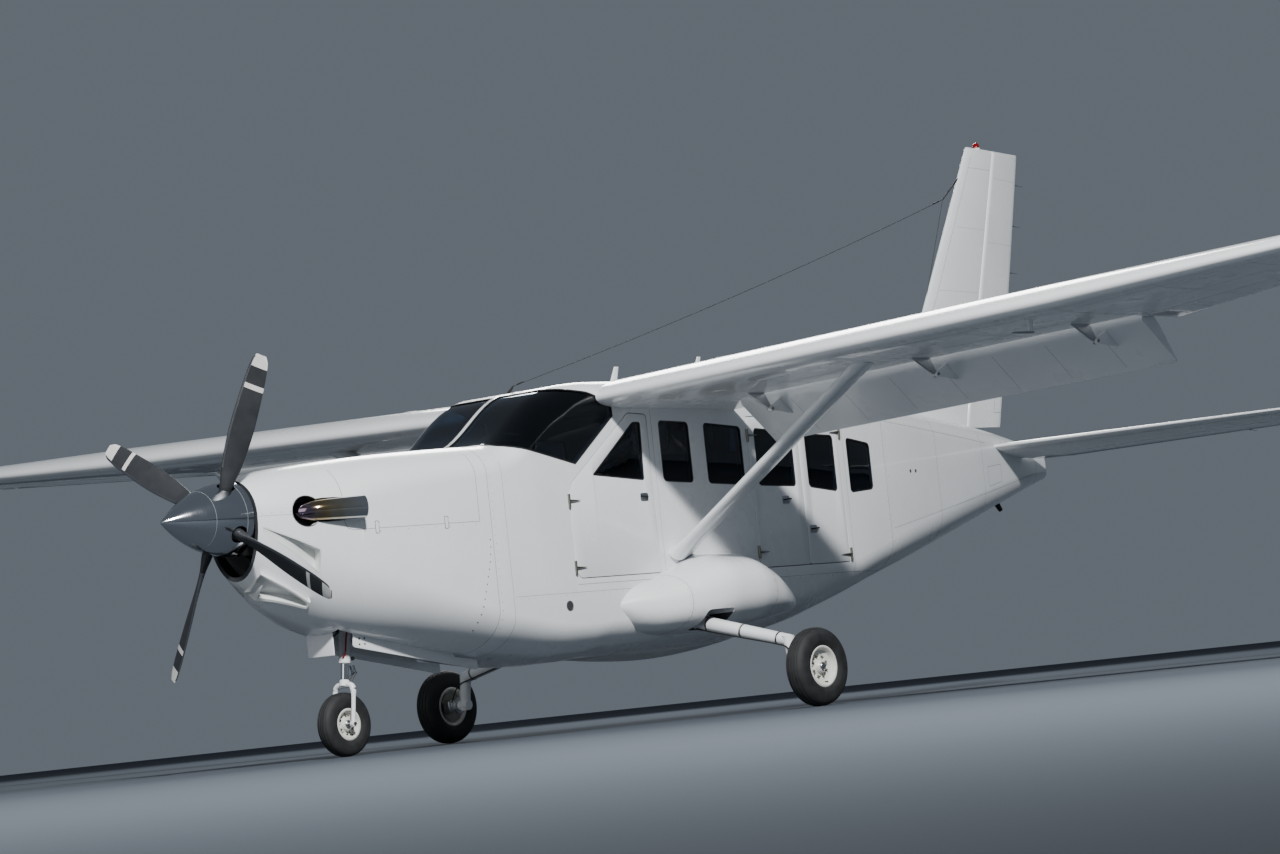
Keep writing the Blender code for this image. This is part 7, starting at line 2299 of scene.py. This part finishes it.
@dataclass
class Outside:
    """What is on the body: aerials, vents, ports, and the seams of the cabin."""

    def build(self) -> None:
        """Makes the small outside pieces of the cabin."""
        self.aerials()
        self.ports()
        self.seams()
        self.belly()

    def blade(self, x: float, station: float, z: float, height: float, chord: float) -> BMesh:
        """A blade aerial that leans aft, on its base plate."""
        rows = []
        for t in spread(0.0, 1.0, 0.2):
            length, lean = chord * (1 - 0.45 * t), 0.40 * height * t
            thick = 0.009 * (1 - 0.55 * t)
            rows.append([at(x + thick * math.sin(2 * math.pi * k / 20) * (0.8 - 0.4 * math.cos(
                2 * math.pi * k / 20)), station + lean + length * 0.5 * math.cos(2 * math.pi * k / 20),
                z + height * t) for k in range(20)])
        base = [[at(x + (0.024 - i) * math.sin(2 * math.pi * k / 28), station + (chord * 0.66 - i)
                    * math.cos(2 * math.pi * k / 28), z + h) for k in range(28)]
                for i, h in ((0.0, -0.012), (0.0, 0.002), (0.004, 0.005))]
        return merge(skin(rows, capped=True), skin(base, capped=True))

    def aerials(self) -> None:
        """The long wire from the cabin to the fin, blade aerials and a satellite aerial."""
        post = at(0, 3.500, 2.494)
        fin = TAIL.point(4.216, True, TAIL.edges(4.216, True)[0] + 0.012, 0)
        arm_end = at(0, 8.830, 4.004)
        wire = [post + Vector((0, 0.02, 0.050)), arm_end]
        fine = [wire[0].lerp(wire[1], t) - Vector((0, 0, 0.045 * 4 * t * (1 - t))) for t in spread(0, 1, 0.02)]
        down = [arm_end, TAIL.point(3.178, True, TAIL.edges(3.178, True)[0] + 0.006, 0)]
        place("aerial_wire", merge(tube(fine, 0.0022, 8), tube(down, 0.0018, 8)), [BLACK_RUBBER])
        stand = tube([post + Vector((0, -0.05, -0.012)), post + Vector((0, 0.004, 0.036)),
                      post + Vector((0, 0.020, 0.052))], [0.014, 0.008, 0.004], 14)
        holder = tube([fin + Vector((0, 0.020, 0.004)), arm_end], [0.007, 0.0050], 14)
        beads = [tube([wire[0].lerp(wire[1], t0), wire[0].lerp(wire[1], t1)], 0.0060, 12)
                 for t0, t1 in ((0.008, 0.020), (0.976, 0.990))]
        place("aerial_wire_posts", merge(stand, holder, *beads), [BLACK_RUBBER])
        tops = [self.blade(0.0, 4.58, 2.500, 0.172, 0.090), self.blade(0.0, 5.49, 2.482, 0.255, 0.080)]
        place("blade_aerials", merge(*tops), [WHITE_ENAMEL])
        puck = lathe([(-0.010, 0.0), (-0.010, 0.060), (0.006, 0.058), (0.018, 0.046), (0.022, 0.0)],
                     at(0.0, 5.02, 2.500), Vector((0, 0, 1)), 40)
        place("satellite_aerial", puck, [WHITE_ENAMEL])

    def ports(self) -> None:
        """Round vents low on each side and the static ports."""
        rims, wells, plates = [], [], []
        for side, _ in SIDES:
            for s, z in ((3.190, 0.893), (3.787, 0.853)):
                here, out = LINES.spot(side, s, z)
                rims.append(lathe([(-0.012, 0.026), (0.0008, 0.030), (0.0026, 0.033), (0.0006, 0.038),
                                   (-0.006, 0.038), (-0.012, 0.026)], here, out, 40))
                wells.append(lathe([(0.0002, 0.0), (0.0002, 0.031), (-0.004, 0.031), (-0.004, 0.0)], here, out, 40))
            for s, z in ((7.32, 1.74), (7.40, 1.74)):
                here, out = LINES.spot(side, s, z)
                plates.append(lathe([(-0.003, 0.0), (0.0006, 0.0), (0.0006, 0.014), (-0.003, 0.018)], here, out, 32))
        place("side_vent_rims", merge(*rims), [BARE_ALUMINIUM])
        # The wells behind the vent rims are dark with painted shade
        place("side_vent_wells", merge(*wells), [RECESS_PAINTED_SHADE])
        place("static_ports", merge(*plates), [BARE_ALUMINIUM])

    def seams(self) -> None:
        """Panel joints and screw rows of the cabin's skin."""
        lines, spots = [LINES.hoop(2.642, 0.003)], []
        for side, _ in SIDES:
            lines.append(LINES.line([(2.66, 0.985), (6.94, 0.985)], side, 0.0028))
            lines.append(LINES.line([(4.245, 0.99), (4.245, 2.28)], side, 0.0025))
            lines.append(LINES.line([(6.42, 0.99), (6.42, 2.20)], side, 0.0025))
            lines.append(LINES.line([(3.30, 1.040), (4.23, 1.040)], side, 0.0040))
            for s in spread(2.72, 6.90, 0.065):
                spots.append(LINES.spot(side, s, 0.968))
            for z in spread(1.04, 1.60, 0.05):
                spots.append(LINES.spot(side, 6.935, z))
        place("cabin_seams", merge(*lines), [PAINTED_SEAM_SHADE])
        place("cabin_screws", studs(spots, 0.0030, 0.0006, 6), [PLATED_STEEL])

    def belly(self) -> None:
        """A strengthening strake along the keel."""
        rows = []
        for s in spread(4.00, 5.30, 0.08):
            t = math.sin(math.pi * (s - 3.95) / 1.40) ** 0.6
            low = blend_rows(LINES.rows, s)[2]
            rows.append([at(0.300 * math.cos(a), s, low + 0.020 - (0.020 + 0.050 * t) * math.sin(a))
                         for a in (math.pi * k / 20 for k in range(21))])
        place("belly_fairing", skin(rows, closed=True, capped=True), [BELLY_ENAMEL])
PARTS = (Fuselage(), Cowling(), Propeller(), *[Wing(side, name) for side, name in SIDES], Tail(),
         *[MainGear(side, name) for side, name in SIDES], NoseGear(), Cabin(), Outside())


# Camera, light and stage


@dataclass(frozen=True)
class Studio:
    """A grey floor, a hard light like the photo's sun, and the camera at floor level."""

    camera_distance: float = 32.0
    camera_height: float = 0.170
    camera_azimuth: float = 42.02      # degrees from the nose towards the left wing
    aim_across: float = -0.038         # of the camera's aim, from the airplane's middle
    aim_height: float = 2.216
    roll: float = -6.03
    lens: float = 119.9
    floor_half: float = 60.0

    def build(self) -> None:
        """Makes the camera, the lights and the floor."""
        self.camera()
        self.lights()
        self.floor()

    def camera(self) -> None:
        """The photo's viewing angle, from floor level."""
        turn = math.radians(self.camera_azimuth)
        place_at = Vector((math.sin(turn) * self.camera_distance, -math.cos(turn) * self.camera_distance - 0.05,
                           self.camera_height))
        aim = Vector((self.aim_across * math.cos(turn), self.aim_across * math.sin(turn) - 0.05,
                      self.aim_height))
        data = bpy.data.cameras.new("camera")
        data.lens = self.lens
        data.clip_end = 500.0
        camera = bpy.data.objects.new("camera", data)
        look = (aim - place_at).to_track_quat("-Z", "Y").to_matrix().to_4x4()
        camera.matrix_world = Matrix.Translation(place_at) @ look @ Matrix.Rotation(
            math.radians(self.roll), 4, "Z")
        bpy.context.scene.collection.objects.link(camera)
        bpy.context.scene.camera = camera

    def lamp(self, name: str, place_at: Vector, size: float, watts: float) -> None:
        """A square soft light that faces the airplane's middle."""
        data = bpy.data.lights.new(name, "AREA")
        data.size = size
        data.energy = watts
        lamp = bpy.data.objects.new(name, data)
        aim = Vector((0, 0, 1.6)) - place_at
        lamp.matrix_world = Matrix.Translation(place_at) @ aim.to_track_quat("-Z", "Y").to_matrix().to_4x4()
        bpy.context.scene.collection.objects.link(lamp)

    def lights(self) -> None:
        """A hard key from the front left, a weak fill, a rim and an even grey surround."""
        self.lamp("key", Vector((16.5, -14.5, 15.5)), 1.6, 9800)
        self.lamp("fill", Vector((2.0, -22.0, 7.0)), 12.0, 700)
        self.lamp("rim", Vector((-12.0, 14.0, 12.0)), 8.0, 3000)
        world = bpy.data.worlds.new("surround")
        bpy.context.scene.world = world
        world.use_nodes = True
        world.node_tree.nodes["Background"].inputs[0].default_value = linear("#a9b4c2")
        world.node_tree.nodes["Background"].inputs[1].default_value = 0.32

    def floor(self) -> None:
        """A wide grey floor."""
        bm = bmesh.new()
        bmesh.ops.create_grid(bm, x_segments=1, y_segments=1, size=self.floor_half)
        mesh = bpy.data.meshes.new("floor")
        bm.to_mesh(mesh)
        bm.free()
        floor = bpy.data.objects.new("floor", mesh)
        mesh.materials.append(Finish("grey_concrete_floor", "#4f555c", 0.94, ior=1.10, cloud_mm=2500.0).material())
        bpy.context.scene.collection.objects.link(floor)


def main() -> None:
    """Builds the airplane and the studio."""
    logging.basicConfig(level=logging.INFO, format="%(name)s: %(message)s")
    Studio().build()
    for part in PARTS:
        part.build()


if __name__ == "__main__":
    main()
